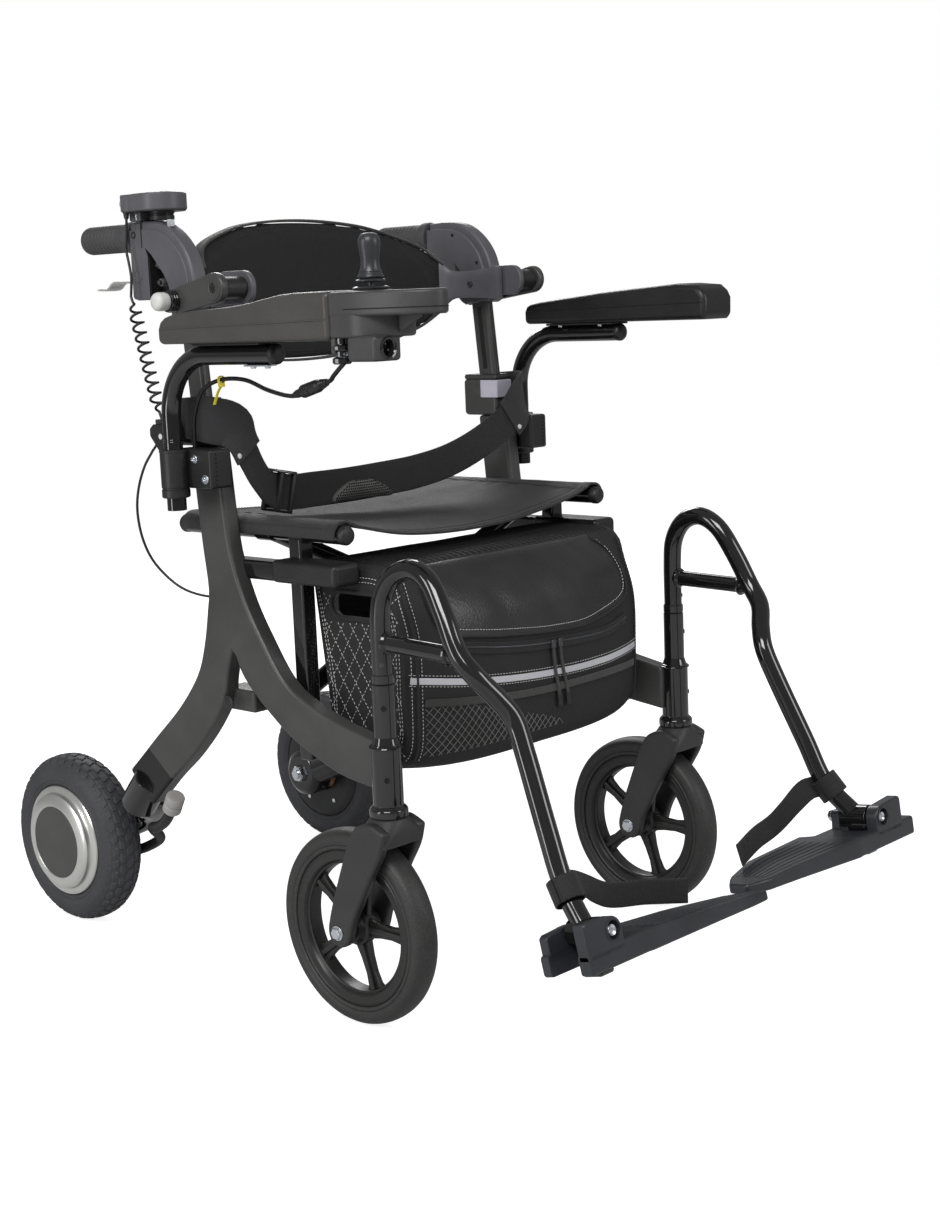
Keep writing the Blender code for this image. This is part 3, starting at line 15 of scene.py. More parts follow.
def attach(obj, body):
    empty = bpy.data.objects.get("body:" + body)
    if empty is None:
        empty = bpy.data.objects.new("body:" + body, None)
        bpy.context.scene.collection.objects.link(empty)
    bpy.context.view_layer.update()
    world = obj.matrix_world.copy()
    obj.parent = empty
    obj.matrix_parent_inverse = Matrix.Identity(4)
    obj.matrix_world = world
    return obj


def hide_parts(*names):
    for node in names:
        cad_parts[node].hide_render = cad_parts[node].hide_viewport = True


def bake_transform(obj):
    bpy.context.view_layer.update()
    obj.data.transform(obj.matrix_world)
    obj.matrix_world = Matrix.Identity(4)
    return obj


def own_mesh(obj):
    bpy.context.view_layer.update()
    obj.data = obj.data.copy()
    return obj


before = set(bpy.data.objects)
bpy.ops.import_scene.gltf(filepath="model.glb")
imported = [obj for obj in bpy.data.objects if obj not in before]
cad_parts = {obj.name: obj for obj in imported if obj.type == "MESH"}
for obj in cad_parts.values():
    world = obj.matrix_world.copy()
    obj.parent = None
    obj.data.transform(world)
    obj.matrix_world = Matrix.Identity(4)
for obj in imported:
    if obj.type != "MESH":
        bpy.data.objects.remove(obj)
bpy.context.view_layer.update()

SIDES = {"r": -1.0, "l": 1.0}
SHIFT_Y = 0.1107

# frame
FRAME_X = 0.222
FRAME_THICK = 0.020
STEM_X = 0.232
STEM_Y = -0.300
UPRIGHT_TOP = 0.5745
TILT = math.radians(5.5)
GAP = 0.0003

# fold
RAIL_X = 0.197
RAIL_Z = 0.487
RAIL_R = 0.0095
PIVOT_Z = 0.306
BRACE_Y = {"a": -0.128, "b": -0.104}
POST_Y = -0.1530
POST_HALF = 0.009
SLING_WRAP = 0.0140
SLING_ARC = math.radians(105)
SLING_EDGE = RAIL_X - 0.0125
SLING_REACH = RAIL_X + SLING_WRAP * SLING_ARC

# wheels
WHEEL_R = 0.100
REAR_X = 0.207
REAR_Y = 0.259
AXLE_Z = 0.100
FRONT_AXLE_Y = -0.250

# footrests
FOOT_HINGE = (0.2275, -0.5415, 0.1530)
FOOT_TILT = {"r": math.radians(14), "l": math.radians(8)}
FOOT_OUTER = {"r": 0.0375, "l": 0.0600}
FOOT_REACH = {"r": 0.2310, "l": 0.2220}
FOOT_TIP_RISE = {"r": 0.0032, "l": 0.0092}
FOOT_TIP_DRIFT = {"r": -0.0088, "l": 0.0152}
STRAP_Z = 0.186

# handles and backrest
POST_TOP_Y = -0.032
POST_TOP_Z = 0.710
ARM_PIVOT = (-0.034, 0.723)
BACK_PIVOT = (-0.097, 0.734)
GRIP_Z = 0.791

# armrests
ARM_X = 0.268
ARM_POST_Y = -0.047
ARM_Z = 0.669
PAD_X = 0.2745
PAD_HALF = 0.0270
PAD_REAR = -0.075
PAD_FRONT = {"r": -0.3232, "l": -0.340}
PAD_BASE = 0.6810
STICK_X = -0.266
STICK_Y = -0.3445
POD_KEY_X = -0.2425


# camera, light and floor

CAMERA_PLACE = (-1.4525, -1.4553, 0.7123)
CAMERA_AZIMUTH = math.radians(-46.771)
CAMERA_PITCH = math.radians(9.353)
CAMERA_ROLL = math.radians(-2.293)
LENS_MM = 55.25


def place_camera():
    data = bpy.data.cameras.new("view of the walker")
    data.sensor_width = 36.0
    data.lens = LENS_MM
    data.clip_end = 60.0
    camera = bpy.data.objects.new("view of the walker", data)
    bpy.context.scene.collection.objects.link(camera)
    az, pitch = CAMERA_AZIMUTH, CAMERA_PITCH
    back = Vector((math.sin(az) * math.cos(pitch), -math.cos(az) * math.cos(pitch), math.sin(pitch)))
    right = Vector((math.cos(az), math.sin(az), 0.0))
    up = back.cross(right)
    rolled_right = right * math.cos(CAMERA_ROLL) + up * math.sin(CAMERA_ROLL)
    rolled_up = up * math.cos(CAMERA_ROLL) - right * math.sin(CAMERA_ROLL)
    camera.matrix_world = Matrix.Translation(CAMERA_PLACE) @ Matrix(
        (rolled_right, rolled_up, back)).transposed().to_4x4()
    bpy.context.scene.camera = camera


def softbox(name, place, target, size, power):
    data = bpy.data.lights.new(name, "AREA")
    data.shape = "RECTANGLE"
    data.size, data.size_y = size
    data.energy = power
    lamp = bpy.data.objects.new(name, data)
    bpy.context.scene.collection.objects.link(lamp)
    aim = (Vector(place) - Vector(target)).to_track_quat("Z", "Y")
    lamp.matrix_world = Matrix.Translation(place) @ aim.to_matrix().to_4x4()


def studio():
    scene = bpy.context.scene
    scene.view_settings.view_transform = "Standard"
    world = bpy.data.worlds.new("studio")
    scene.world = world
    world.use_nodes = True
    nodes, links = world.node_tree.nodes, world.node_tree.links
    background = nodes["Background"]
    seen = nodes.new("ShaderNodeLightPath")
    either = nodes.new("ShaderNodeMath")
    either.operation = "MAXIMUM"
    links.new(seen.outputs["Is Camera Ray"], either.inputs[0])
    links.new(seen.outputs["Is Transmission Ray"], either.inputs[1])
    strength = nodes.new("ShaderNodeMapRange")
    strength.inputs["To Min"].default_value = 0.27
    strength.inputs["To Max"].default_value = 1.0
    links.new(either.outputs[0], strength.inputs["Value"])
    links.new(strength.outputs["Result"], background.inputs["Strength"])
    background.inputs["Color"].default_value = (1.0, 1.0, 1.0, 1.0)
    middle = (0.0, 0.0, 0.40)
    softbox("key softbox", (-2.2, -1.3, 2.5), middle, (1.6, 1.2), 58.0)
    softbox("front softbox", (0.9, -2.8, 1.6), middle, (1.0, 1.4), 21.0)
    softbox("side strip", (-2.6, 0.6, 0.9), middle, (0.5, 1.8), 17.0)
    softbox("rear softbox", (1.8, 2.2, 2.2), middle, (1.4, 1.2), 36.0)
    floor_mesh = bpy.data.meshes.new("floor")
    half = 14.0
    floor_mesh.from_pydata([(-half, -half, 0), (half, -half, 0), (half, half, 0), (-half, half, 0)], [],
                           [(0, 1, 2, 3)])
    floor = bpy.data.objects.new("floor", floor_mesh)
    scene.collection.objects.link(floor)
    paper = bpy.data.materials.new("pale floor")
    paper.use_nodes = True
    nodes, links = paper.node_tree.nodes, paper.node_tree.links
    nodes.clear()
    output = nodes.new("ShaderNodeOutputMaterial")
    diffuse = nodes.new("ShaderNodeBsdfDiffuse")
    diffuse.inputs["Color"].default_value = (0.62, 0.62, 0.62, 1.0)
    glow = nodes.new("ShaderNodeEmission")
    glow.inputs["Strength"].default_value = 0.84
    lit = nodes.new("ShaderNodeAddShader")
    choose = nodes.new("ShaderNodeMixShader")
    seen = nodes.new("ShaderNodeLightPath")
    links.new(diffuse.outputs[0], lit.inputs[0])
    links.new(glow.outputs[0], lit.inputs[1])
    links.new(seen.outputs["Is Camera Ray"], choose.inputs["Fac"])
    links.new(diffuse.outputs[0], choose.inputs[1])
    links.new(lit.outputs[0], choose.inputs[2])
    links.new(choose.outputs[0], output.inputs["Surface"])
    floor_mesh.materials.append(paper)


# shader effects that several finishes share

def shader_group(name, inputs, outputs):
    """An empty shader group with its sockets. Each input is (label, kind, value)."""
    group = bpy.data.node_groups.new(name, "ShaderNodeTree")
    for label, kind, value in inputs:
        socket = group.interface.new_socket(label, in_out="INPUT", socket_type="NodeSocket" + kind)
        if value is not None:
            socket.default_value = value
    for label, kind in outputs:
        group.interface.new_socket(label, in_out="OUTPUT", socket_type="NodeSocket" + kind)
    return group, group.nodes.new("NodeGroupInput"), group.nodes.new("NodeGroupOutput")


def math_node(tree, operation, one, two=None, clamp=False):
    """A Math node fed by sockets or numbers. Returns its output."""
    node = tree.nodes.new("ShaderNodeMath")
    node.operation = operation
    node.use_clamp = clamp
    for socket, value in zip(node.inputs, (one, two)):
        if value is None:
            continue
        if isinstance(value, (int, float)):
            socket.default_value = value
        else:
            tree.links.new(value, socket)
    return node.outputs[0]


def noise_node(tree, place, scale, detail=3.0, rough=0.55):
    node = tree.nodes.new("ShaderNodeTexNoise")
    node.inputs["Detail"].default_value = detail
    node.inputs["Roughness"].default_value = rough
    tree.links.new(place, node.inputs["Vector"])
    if isinstance(scale, (int, float)):
        node.inputs["Scale"].default_value = scale
    else:
        tree.links.new(scale, node.inputs["Scale"])
    return node.outputs["Fac"]


def blend_colours(tree, share, one, two):
    node = tree.nodes.new("ShaderNodeMix")
    node.data_type = "RGBA"
    colours = [s for s in node.inputs if s.type == "RGBA"]
    tree.links.new(share, node.inputs["Factor"])
    tree.links.new(one, colours[0])
    tree.links.new(two, colours[1])
    return next(s for s in node.outputs if s.type == "RGBA")


def uneven_group():
    """Cloudy unevenness of a colour and a roughness, with fine specks of dust."""
    group, given, out = shader_group(
        "uneven finish",
        [("Place", "Vector", None), ("Colour", "Color", (0.5, 0.5, 0.5, 1)),
         ("Second Colour", "Color", (0.6, 0.6, 0.6, 1)),
         ("Cloud Scale", "Float", 18.0), ("Roughness", "Float", 0.5), ("Roughness Spread", "Float", 0.08),
         ("Dust", "Float", 0.1), ("Dust Colour", "Color", (0.35, 0.34, 0.33, 1))],
        [("Colour", "Color"), ("Roughness", "Float")])
    g = given.outputs
    cloud = noise_node(group, g["Place"], g["Cloud Scale"], 4.0)
    spread = math_node(group, "MULTIPLY_ADD", cloud, 2.2, True)
    spread.node.inputs[2].default_value = -0.6
    mixed = blend_colours(group, spread, g["Colour"], g["Second Colour"])
    speck = noise_node(group, g["Place"], 900.0, 2.0)
    speck = math_node(group, "MULTIPLY_ADD", speck, 6.0, True)
    speck.node.inputs[2].default_value = -3.4
    drift = math_node(group, "MULTIPLY", speck, cloud)
    dusty = blend_colours(group, math_node(group, "MULTIPLY", drift, g["Dust"]), mixed, g["Dust Colour"])
    swing = math_node(group, "MULTIPLY", math_node(group, "SUBTRACT", cloud, 0.5), g["Roughness Spread"])
    swing = math_node(group, "MULTIPLY", swing, 3.0)
    group.links.new(dusty, out.inputs["Colour"])
    group.links.new(math_node(group, "ADD", g["Roughness"], swing, True), out.inputs["Roughness"])
    return group


def grain_group():
    """Height of a moulded or painted skin: fine pebbles over a soft orange peel."""
    group, given, out = shader_group(
        "skin grain", [("Place", "Vector", None), ("Pebble Scale", "Float", 600.0),
                       ("Peel Scale", "Float", 90.0),
                       ("Peel Share", "Float", 0.3)], [("Height", "Float")])
    g = given.outputs
    cells = group.nodes.new("ShaderNodeTexVoronoi")
    cells.feature = "F1"
    group.links.new(g["Place"], cells.inputs["Vector"])
    group.links.new(g["Pebble Scale"], cells.inputs["Scale"])
    peel = noise_node(group, g["Place"], g["Peel Scale"], 2.0)
    share = math_node(group, "MULTIPLY", peel, g["Peel Share"])
    group.links.new(math_node(group, "ADD", cells.outputs["Distance"], share), out.inputs["Height"])
    return group


def weave_group():
    """Height of a plain weave: threads that pass over and under each other."""
    group, given, out = shader_group(
        "plain weave", [("Place", "Vector", None), ("Warp Per Metre", "Float", 1500.0),
                        ("Weft Per Metre", "Float", 1500.0)], [("Height", "Float")])
    g = given.outputs
    split = group.nodes.new("ShaderNodeSeparateXYZ")
    group.links.new(g["Place"], split.inputs[0])
    warp = math_node(group, "MULTIPLY", split.outputs["X"], g["Warp Per Metre"])
    weft = math_node(group, "MULTIPLY", split.outputs["Y"], g["Weft Per Metre"])
    cells = math_node(group, "ADD", math_node(group, "FLOOR", warp), math_node(group, "FLOOR", weft))
    over = math_node(group, "FLOORED_MODULO", cells, 2.0)
    ridges = [math_node(group, "ABSOLUTE", math_node(group, "SINE",
                                                     math_node(group, "MULTIPLY", line, math.pi)))
              for line in (warp, weft)]
    under = math_node(group, "SUBTRACT", 1.0, over)
    height = math_node(group, "ADD", math_node(group, "MULTIPLY", ridges[0], over),
                       math_node(group, "MULTIPLY", ridges[1], under))
    group.links.new(height, out.inputs["Height"])
    return group


def edge_group():
    """Mask of convex edges, broken up as handling wears them."""
    group, given, out = shader_group(
        "worn edges", [("Place", "Vector", None), ("Amount", "Float", 0.3)], [("Mask", "Float")])
    g = given.outputs
    edge = group.nodes.new("ShaderNodeNewGeometry").outputs["Pointiness"]
    lifted = math_node(group, "MULTIPLY_ADD", edge, 14.0, True)
    lifted.node.inputs[2].default_value = -7.5
    broken = noise_node(group, g["Place"], 260.0, 3.0)
    mask = math_node(group, "MULTIPLY", math_node(group, "MULTIPLY", lifted, broken), g["Amount"], True)
    group.links.new(mask, out.inputs["Mask"])
    return group


GROUPS = {"uneven": uneven_group(), "grain": grain_group(), "weave": weave_group(), "edges": edge_group()}


def add_group(tree, which, place, **values):
    node = tree.nodes.new("ShaderNodeGroup")
    node.node_tree = GROUPS[which]
    tree.links.new(place, node.inputs["Place"])
    for label, value in values.items():
        node.inputs[label.replace("_", " ")].default_value = value
    return node


def finish(name, colour, roughness, metallic=0.0, cloud=0.18, scale=18.0, spread=0.06, dust=0.10, wear=0.25,
           pebble=700.0, peel=90.0, depth=0.00010, weave=None, mapped=False, coat=0.0, sheen=0.0,
           specular=0.5):
    """One procedural material.

    Weave is (warp per metre, weft per metre, depth) and reads the piece's UV map.
    """
    made = bpy.data.materials.new(name)
    made.use_nodes = True
    tree = made.node_tree
    shader = tree.nodes["Principled BSDF"]
    source = tree.nodes.new("ShaderNodeTexCoord")
    place = source.outputs["UV" if mapped else "Object"]
    solid_place = source.outputs["Object"]
    lighter = tuple(min(1.0, c * (1 + cloud) + 0.002) for c in colour)
    darker = tuple(c * (1 - cloud) for c in colour)
    uneven = add_group(tree, "uneven", solid_place, Colour=(*darker, 1), Second_Colour=(*lighter, 1),
                       Cloud_Scale=scale, Roughness=roughness, Roughness_Spread=spread, Dust=dust)
    worn = add_group(tree, "edges", solid_place, Amount=wear)
    bright = tree.nodes.new("ShaderNodeRGB")
    bright.outputs[0].default_value = (*[min(1.0, c * 2.2 + 0.03) for c in colour], 1)
    tree.links.new(blend_colours(tree, worn.outputs["Mask"], uneven.outputs["Colour"], bright.outputs[0]),
                   shader.inputs["Base Color"])
    tree.links.new(uneven.outputs["Roughness"], shader.inputs["Roughness"])
    shader.inputs["Metallic"].default_value = metallic
    shader.inputs["Specular IOR Level"].default_value = specular
    shader.inputs["Coat Weight"].default_value = coat
    shader.inputs["Coat Roughness"].default_value = 0.06
    shader.inputs["Sheen Weight"].default_value = sheen
    shader.inputs["Sheen Roughness"].default_value = 0.5
    grain = add_group(tree, "grain", solid_place, Pebble_Scale=pebble, Peel_Scale=peel)
    bump = tree.nodes.new("ShaderNodeBump")
    bump.inputs["Distance"].default_value = depth
    bump.inputs["Strength"].default_value = 0.6
    tree.links.new(grain.outputs["Height"], bump.inputs["Height"])
    if weave:
        threads = add_group(tree, "weave", place, Warp_Per_Metre=weave[0], Weft_Per_Metre=weave[1])
        woven = tree.nodes.new("ShaderNodeBump")
        woven.inputs["Distance"].default_value = weave[2]
        woven.inputs["Strength"].default_value = 0.9
        tree.links.new(threads.outputs["Height"], woven.inputs["Height"])
        tree.links.new(bump.outputs["Normal"], woven.inputs["Normal"])
        bump = woven
    tree.links.new(bump.outputs["Normal"], shader.inputs["Normal"])
    return made


FINISH = {
    "frame paint": finish("frame paint", (0.050, 0.049, 0.048), 0.36, pebble=1400.0, depth=0.00007),
    "black gloss": finish("black gloss", (0.0055, 0.0055, 0.006), 0.10, cloud=0.10, spread=0.04, wear=0.10,
                          depth=0.00001, coat=0.6, dust=0.04),
    "black plastic": finish("black plastic", (0.0095, 0.0095, 0.010), 0.42, pebble=1100.0, depth=0.00010),
    "fork plastic": finish("fork plastic", (0.028, 0.028, 0.028), 0.46, pebble=1100.0, depth=0.00009),
    "rim plastic": finish("rim plastic", (0.014, 0.0135, 0.013), 0.36, pebble=1300.0, depth=0.00005),
    "slate plastic": finish("slate plastic", (0.092, 0.091, 0.103), 0.40, pebble=1200.0, depth=0.00008),
    "plate plastic": finish("plate plastic", (0.026, 0.028, 0.034), 0.34, pebble=1200.0, depth=0.00007),
    "housing plastic": finish("housing plastic", (0.046, 0.045, 0.047), 0.42, pebble=1500.0, depth=0.00010),
    # The two armrest pads are one foam. These two copies carry painted light (the lighter right pad, facing
    # the lamps) and painted shade (the near-black left pad, facing away).
    "grey foam": finish("grey foam", (0.053, 0.051, 0.049), 0.40, pebble=800.0, depth=0.00016, cloud=0.12),
    "black foam": finish("black foam", (0.0065, 0.0065, 0.007), 0.38, pebble=800.0, depth=0.00016),
    "grip rubber": finish("grip rubber", (0.055, 0.054, 0.057), 0.62, pebble=1500.0, depth=0.00014),
    "knob rubber": finish("knob rubber", (0.030, 0.031, 0.035), 0.34, pebble=1500.0, depth=0.00006),
    "tyre rubber": finish("tyre rubber", (0.026, 0.0245, 0.024), 0.50, pebble=900.0, depth=0.00018, dust=0.3),
    "tread rubber": finish("tread rubber", (0.042, 0.043, 0.048), 0.62, pebble=900.0, depth=0.00022,
                           dust=0.35),
    "hub alloy": finish("hub alloy", (0.80, 0.80, 0.77), 0.30, 1.0, cloud=0.05, pebble=2500.0, depth=0.00003),
    "hub disc": finish("hub disc", (0.060, 0.060, 0.058), 0.45, pebble=1600.0, depth=0.00009),
    "lever alloy": finish("lever alloy", (0.62, 0.62, 0.60), 0.38, 0.6, cloud=0.06, depth=0.00006),
    "zinc": finish("zinc", (0.72, 0.75, 0.80), 0.24, 1.0, cloud=0.08, depth=0.00003),
    "steel dark": finish("steel dark", (0.10, 0.10, 0.11), 0.38, 0.8, cloud=0.10, depth=0.00004),
    "button grey": finish("button grey", (0.56, 0.54, 0.63), 0.42, pebble=1800.0, depth=0.00005, wear=0.0),
    "knob white": finish("knob white", (0.66, 0.66, 0.64), 0.40, pebble=1400.0, depth=0.00006, wear=0.0),
    "plug grey": finish("plug grey", (0.38, 0.37, 0.36), 0.45, pebble=1400.0, depth=0.00009, wear=0.1),
    "tie yellow": finish("tie yellow", (0.90, 0.74, 0.03), 0.36, pebble=1400.0, depth=0.00005, wear=0.0),
    # This near-black finish is painted shade: it goes inside holes, slots, grooves, seams and recesses, where
    # shade falls, and is no colour of the parts.
    "hole black": finish("hole black", (0.004, 0.004, 0.004), 0.80, wear=0.0, dust=0.0),
    "cord sheath": finish("cord sheath", (0.010, 0.010, 0.011), 0.42, pebble=1800.0, depth=0.00004, wear=0.0),
    "webbing": finish("webbing", (0.0068, 0.0068, 0.0075), 0.60, weave=(900.0, 420.0, 0.00045), mapped=True,
                      sheen=0.08, wear=0.0, depth=0.00003),
    "flap webbing": finish("flap webbing", (0.019, 0.0185, 0.021), 0.80, weave=(1700.0, 900.0, 0.00025),
                           mapped=True, sheen=0.12, wear=0.0, depth=0.00003),
    "seat cloth": finish("seat cloth", (0.0185, 0.0185, 0.020), 0.62, weave=(1500.0, 1500.0, 0.00022),
                         mapped=True, sheen=0.08, wear=0.0, cloud=0.14, depth=0.00003),
    "band cloth": finish("band cloth", (0.0058, 0.0058, 0.0072), 0.85, weave=(1300.0, 1300.0, 0.00030),
                         mapped=True, sheen=0.06, wear=0.0, depth=0.00003),
    "binding": finish("binding", (0.030, 0.030, 0.028), 0.62, weave=(1800.0, 900.0, 0.00025), mapped=True,
                      sheen=0.20, wear=0.0, depth=0.00003),
    "leatherette": finish("leatherette", (0.022, 0.022, 0.0235), 0.36, pebble=420.0, peel=60.0, depth=0.00035,
                          cloud=0.20, wear=0.15),
    "bag cloth": finish("bag cloth", (0.012, 0.012, 0.0125), 0.75, pebble=500.0, depth=0.00030, wear=0.0),
    "net grey": finish("net grey", (0.155, 0.155, 0.150), 0.70, pebble=900.0, wear=0.0),
    "pad mesh": finish("pad mesh", (0.120, 0.120, 0.112), 0.50, pebble=900.0, wear=0.0),
    "leg gloss": finish("leg gloss", (0.008, 0.008, 0.009), 0.16, 0.2, pebble=300.0, depth=0.00003),
    "motor casing": finish("motor casing", (0.030, 0.030, 0.031), 0.34, 0.4, pebble=1600.0, depth=0.00006),
    "liner": finish("liner", (0.22, 0.22, 0.22), 0.85, pebble=900.0, depth=0.00030, wear=0.0),
    "reflective": finish("reflective", (0.66, 0.66, 0.70), 0.34, 0.35, cloud=0.05, pebble=2200.0,
                         depth=0.00010),
    "thread white": finish("thread white", (0.66, 0.66, 0.64), 0.75, wear=0.0, dust=0.0, cloud=0.10),
    "thread black": finish("thread black", (0.030, 0.030, 0.032), 0.75, wear=0.0, dust=0.0),
    "copper": finish("copper", (0.50, 0.24, 0.12), 0.40, 0.9, depth=0.00005),
}


# mesh helpers

def to_object(shape, look, sharp=35.0):
    """A bmesh as a new object with one finish, smooth apart from its sharp edges."""
    mesh = bpy.data.meshes.new("piece")
    shape.to_mesh(mesh)
    shape.free()
    mesh.materials.append(FINISH[look])
    mesh.shade_smooth()
    mesh.set_sharp_from_angle(angle=math.radians(sharp))
    made = bpy.data.objects.new("piece", mesh)
    bpy.context.scene.collection.objects.link(made)
    return made


def plain(thing, sharp=35.0):
    """The evaluated thing as a plain mesh object in the same place."""
    bpy.context.view_layer.update()
    graph = bpy.context.evaluated_depsgraph_get()
    mesh = bpy.data.meshes.new_from_object(thing.evaluated_get(graph))
    mesh.transform(thing.matrix_world)
    mesh.shade_smooth()
    mesh.set_sharp_from_angle(angle=math.radians(sharp))
    bpy.data.objects.remove(thing, do_unlink=True)
    made = bpy.data.objects.new("piece", mesh)
    bpy.context.scene.collection.objects.link(made)
    return made


def block(low, high, look, bevel=0.0, segments=3):
    shape = bmesh.new()
    bmesh.ops.create_cube(shape, size=1.0)
    size = [b - a for a, b in zip(low, high)]
    centre = [(a + b) / 2 for a, b in zip(low, high)]
    bmesh.ops.scale(shape, vec=size, verts=shape.verts)
    bmesh.ops.translate(shape, vec=centre, verts=shape.verts)
    if bevel:
        bmesh.ops.bevel(shape, geom=shape.edges[:], offset=bevel, segments=segments, profile=0.5,
                        affect="EDGES", clamp_overlap=True)
    return to_object(shape, look)


def turned(profile, centre, axis, look, steps=64, sharp=35.0):
    """A (radius, height) outline turned about an axis. It is closed unless it ends on the axis."""
    turn = Matrix.Translation(centre) @ Vector(axis).to_track_quat("Z", "Y").to_matrix().to_4x4()
    shape = bmesh.new()
    rings = []
    for r, h in profile:
        if r < 1e-7:
            rings.append([shape.verts.new((0.0, 0.0, h))])
        else:
            rings.append([shape.verts.new((r * math.cos(math.tau * i / steps),
                                           r * math.sin(math.tau * i / steps), h))
                          for i in range(steps)])
    pairs = list(zip(rings, rings[1:]))
    if len(rings[0]) > 1 or len(rings[-1]) > 1:
        pairs.append((rings[-1], rings[0]))
    for one, two in pairs:
        for i in range(steps):
            j = (i + 1) % steps
            corners = [one[i % len(one)], one[j % len(one)], two[j % len(two)], two[i % len(two)]]
            corners = list(dict.fromkeys(corners))
            if len(corners) > 2:
                shape.faces.new(corners)
    shape.transform(turn)
    bmesh.ops.recalc_face_normals(shape, faces=shape.faces)
    return to_object(shape, look, sharp)


def rod(start, end, radius, look, chamfer=0.0006, steps=40, top_radius=None):
    """A round bar from point to point, its rims eased."""
    start, end = Vector(start), Vector(end)
    top = radius if top_radius is None else top_radius
    length = (end - start).length
    ease = min(chamfer, radius * 0.4, length * 0.4)
    profile = [(0.0, 0.0), (radius - ease, 0.0), (radius - ease * 0.3, ease * 0.3), (radius, ease),
               (top, length - ease), (top - ease * 0.3, length - ease * 0.3), (top - ease, length),
               (0.0, length)]
    return turned(profile, start, end - start, look, steps)


def hexagon(start, end, across, look):
    """A six-sided bolt head or nut, with its chamfered crown."""
    length = (Vector(end) - Vector(start)).length
    corner = across / 2 / math.cos(math.pi / 6)
    profile = [(0.0, 0.0), (corner, 0.0), (corner, length * 0.72), (corner * 0.86, length), (0.0, length)]
    return turned(profile, start, Vector(end) - Vector(start), look, 6)


def cap_screw(place, out, radius, look="steel dark", height=0.0022):
    """A domed screw with a round socket."""
    place, out = Vector(place), Vector(out).normalized()
    head = [(0.0, height * 0.35), (radius * 0.42, height * 0.35), (radius * 0.46, height * 0.98),
            (radius * 0.75, height),
            (radius * 0.95, height * 0.62), (radius, 0.0), (radius, -0.0006), (0.0, -0.0006)]
    return turned(head, place, out, look, 24)


def smooth_route(points, step):
    """Points at an even step along a smooth curve through the given ones."""
    points = [Vector(p) for p in points]
    padded = [2 * points[0] - points[1], *points, 2 * points[-1] - points[-2]]
    fine = []
    for a, b, c, d in zip(padded, padded[1:], padded[2:], padded[3:]):
        for i in range(24):
            t = i / 24
            fine.append(0.5 * (2 * b + (c - a) * t + (2 * a - 5 * b + 4 * c - d) * t * t
                               + (3 * b - a - 3 * c + d) * t ** 3))
    fine.append(points[-1])
    lengths = [0.0]
    for a, b in zip(fine, fine[1:]):
        lengths.append(lengths[-1] + (b - a).length)
    count = max(2, round(lengths[-1] / step))
    route, place = [], 0
    for i in range(count + 1):
        want = lengths[-1] * i / count
        while place < len(lengths) - 2 and lengths[place + 1] < want:
            place += 1
        span_length = lengths[place + 1] - lengths[place]
        share = (want - lengths[place]) / span_length if span_length else 0.0
        route.append(fine[place].lerp(fine[place + 1], share))
    return route


def sweep(route, section, look, ways=None, scales=None, sharp=35.0, loop=False):
    """Carry a closed section of (across, out) points along a route.

    Each way points across the section there; without ways the frame turns as little as it can.
    The UV map holds metres: u round the section and v along the route.
    """
    route = [Vector(p) for p in route]
    count = len(route)
    tangents = []
    for i in range(count):
        before = route[(i - 1) % count] if loop or i else route[0]
        after = route[(i + 1) % count] if loop or i < count - 1 else route[-1]
        tangents.append((after - before).normalized())
    across = tangents[0].orthogonal().normalized()
    shape = bmesh.new()
    layer = shape.loops.layers.uv.new("UVMap")
    rows = []
    for i, (point, along) in enumerate(zip(route, tangents)):
        if ways:
            across = Vector(ways[i])
        across = (across - along * across.dot(along)).normalized()
        out = along.cross(across)
        size = scales[i] if scales else 1.0
        rows.append([shape.verts.new(point + across * u * size + out * v * size) for u, v in section])
    girth = [0.0]
    for (a, b), (c, d) in zip(section, [*section[1:], section[0]]):
        girth.append(girth[-1] + math.hypot(c - a, d - b))
    spots = [0.0]
    for a, b in zip(route, [*route[1:], route[0]]):
        spots.append(spots[-1] + (b - a).length)
    pairs = [(i, i + 1) for i in range(count - 1)] + ([(count - 1, 0)] if loop else [])
    n = len(section)
    for one, two in pairs:
        for i in range(n):
            j = (i + 1) % n
            face = shape.faces.new((rows[one][i], rows[one][j], rows[two][j], rows[two][i]))
            ends = ((girth[i], spots[one]), (girth[i + 1], spots[one]), (girth[i + 1], spots[one + 1]),
                    (girth[i], spots[one + 1]))
            for corner, spot in zip(face.loops, ends):
                corner[layer].uv = spot
    if not loop:
        shape.faces.new(rows[0][::-1])
        shape.faces.new(rows[-1])
    bmesh.ops.recalc_face_normals(shape, faces=shape.faces)
    if shape.calc_volume(signed=True) < 0:
        bmesh.ops.reverse_faces(shape, faces=shape.faces)
    return to_object(shape, look, sharp)


def circle(radius, count=24):
    return [(radius * math.cos(math.tau * i / count),
             radius * math.sin(math.tau * i / count)) for i in range(count)]


def flat_section(width, thickness, count=10):
    """The section of a strap, its long edges rounded, fine enough across to take a curl."""
    half, deep = width / 2 - thickness / 2, thickness / 2
    top = [(half - 2 * half * i / count, deep) for i in range(count + 1)]
    left = [(-half - deep * math.sin(a),
             deep * math.cos(a)) for a in (math.pi / 4, math.pi / 2, 3 * math.pi / 4)]
    return top + left + [(-u, -v) for u, v in top] + [(-u, -v) for u, v in left]


def tube(route, radius, look, count=24, scales=None):
    return sweep(route, circle(radius, count), look, scales=scales, sharp=50.0)


def strap(route, ways, width, thickness, look, scales=None):
    return sweep(route, flat_section(width, thickness), look, ways=ways, scales=scales, sharp=60.0)


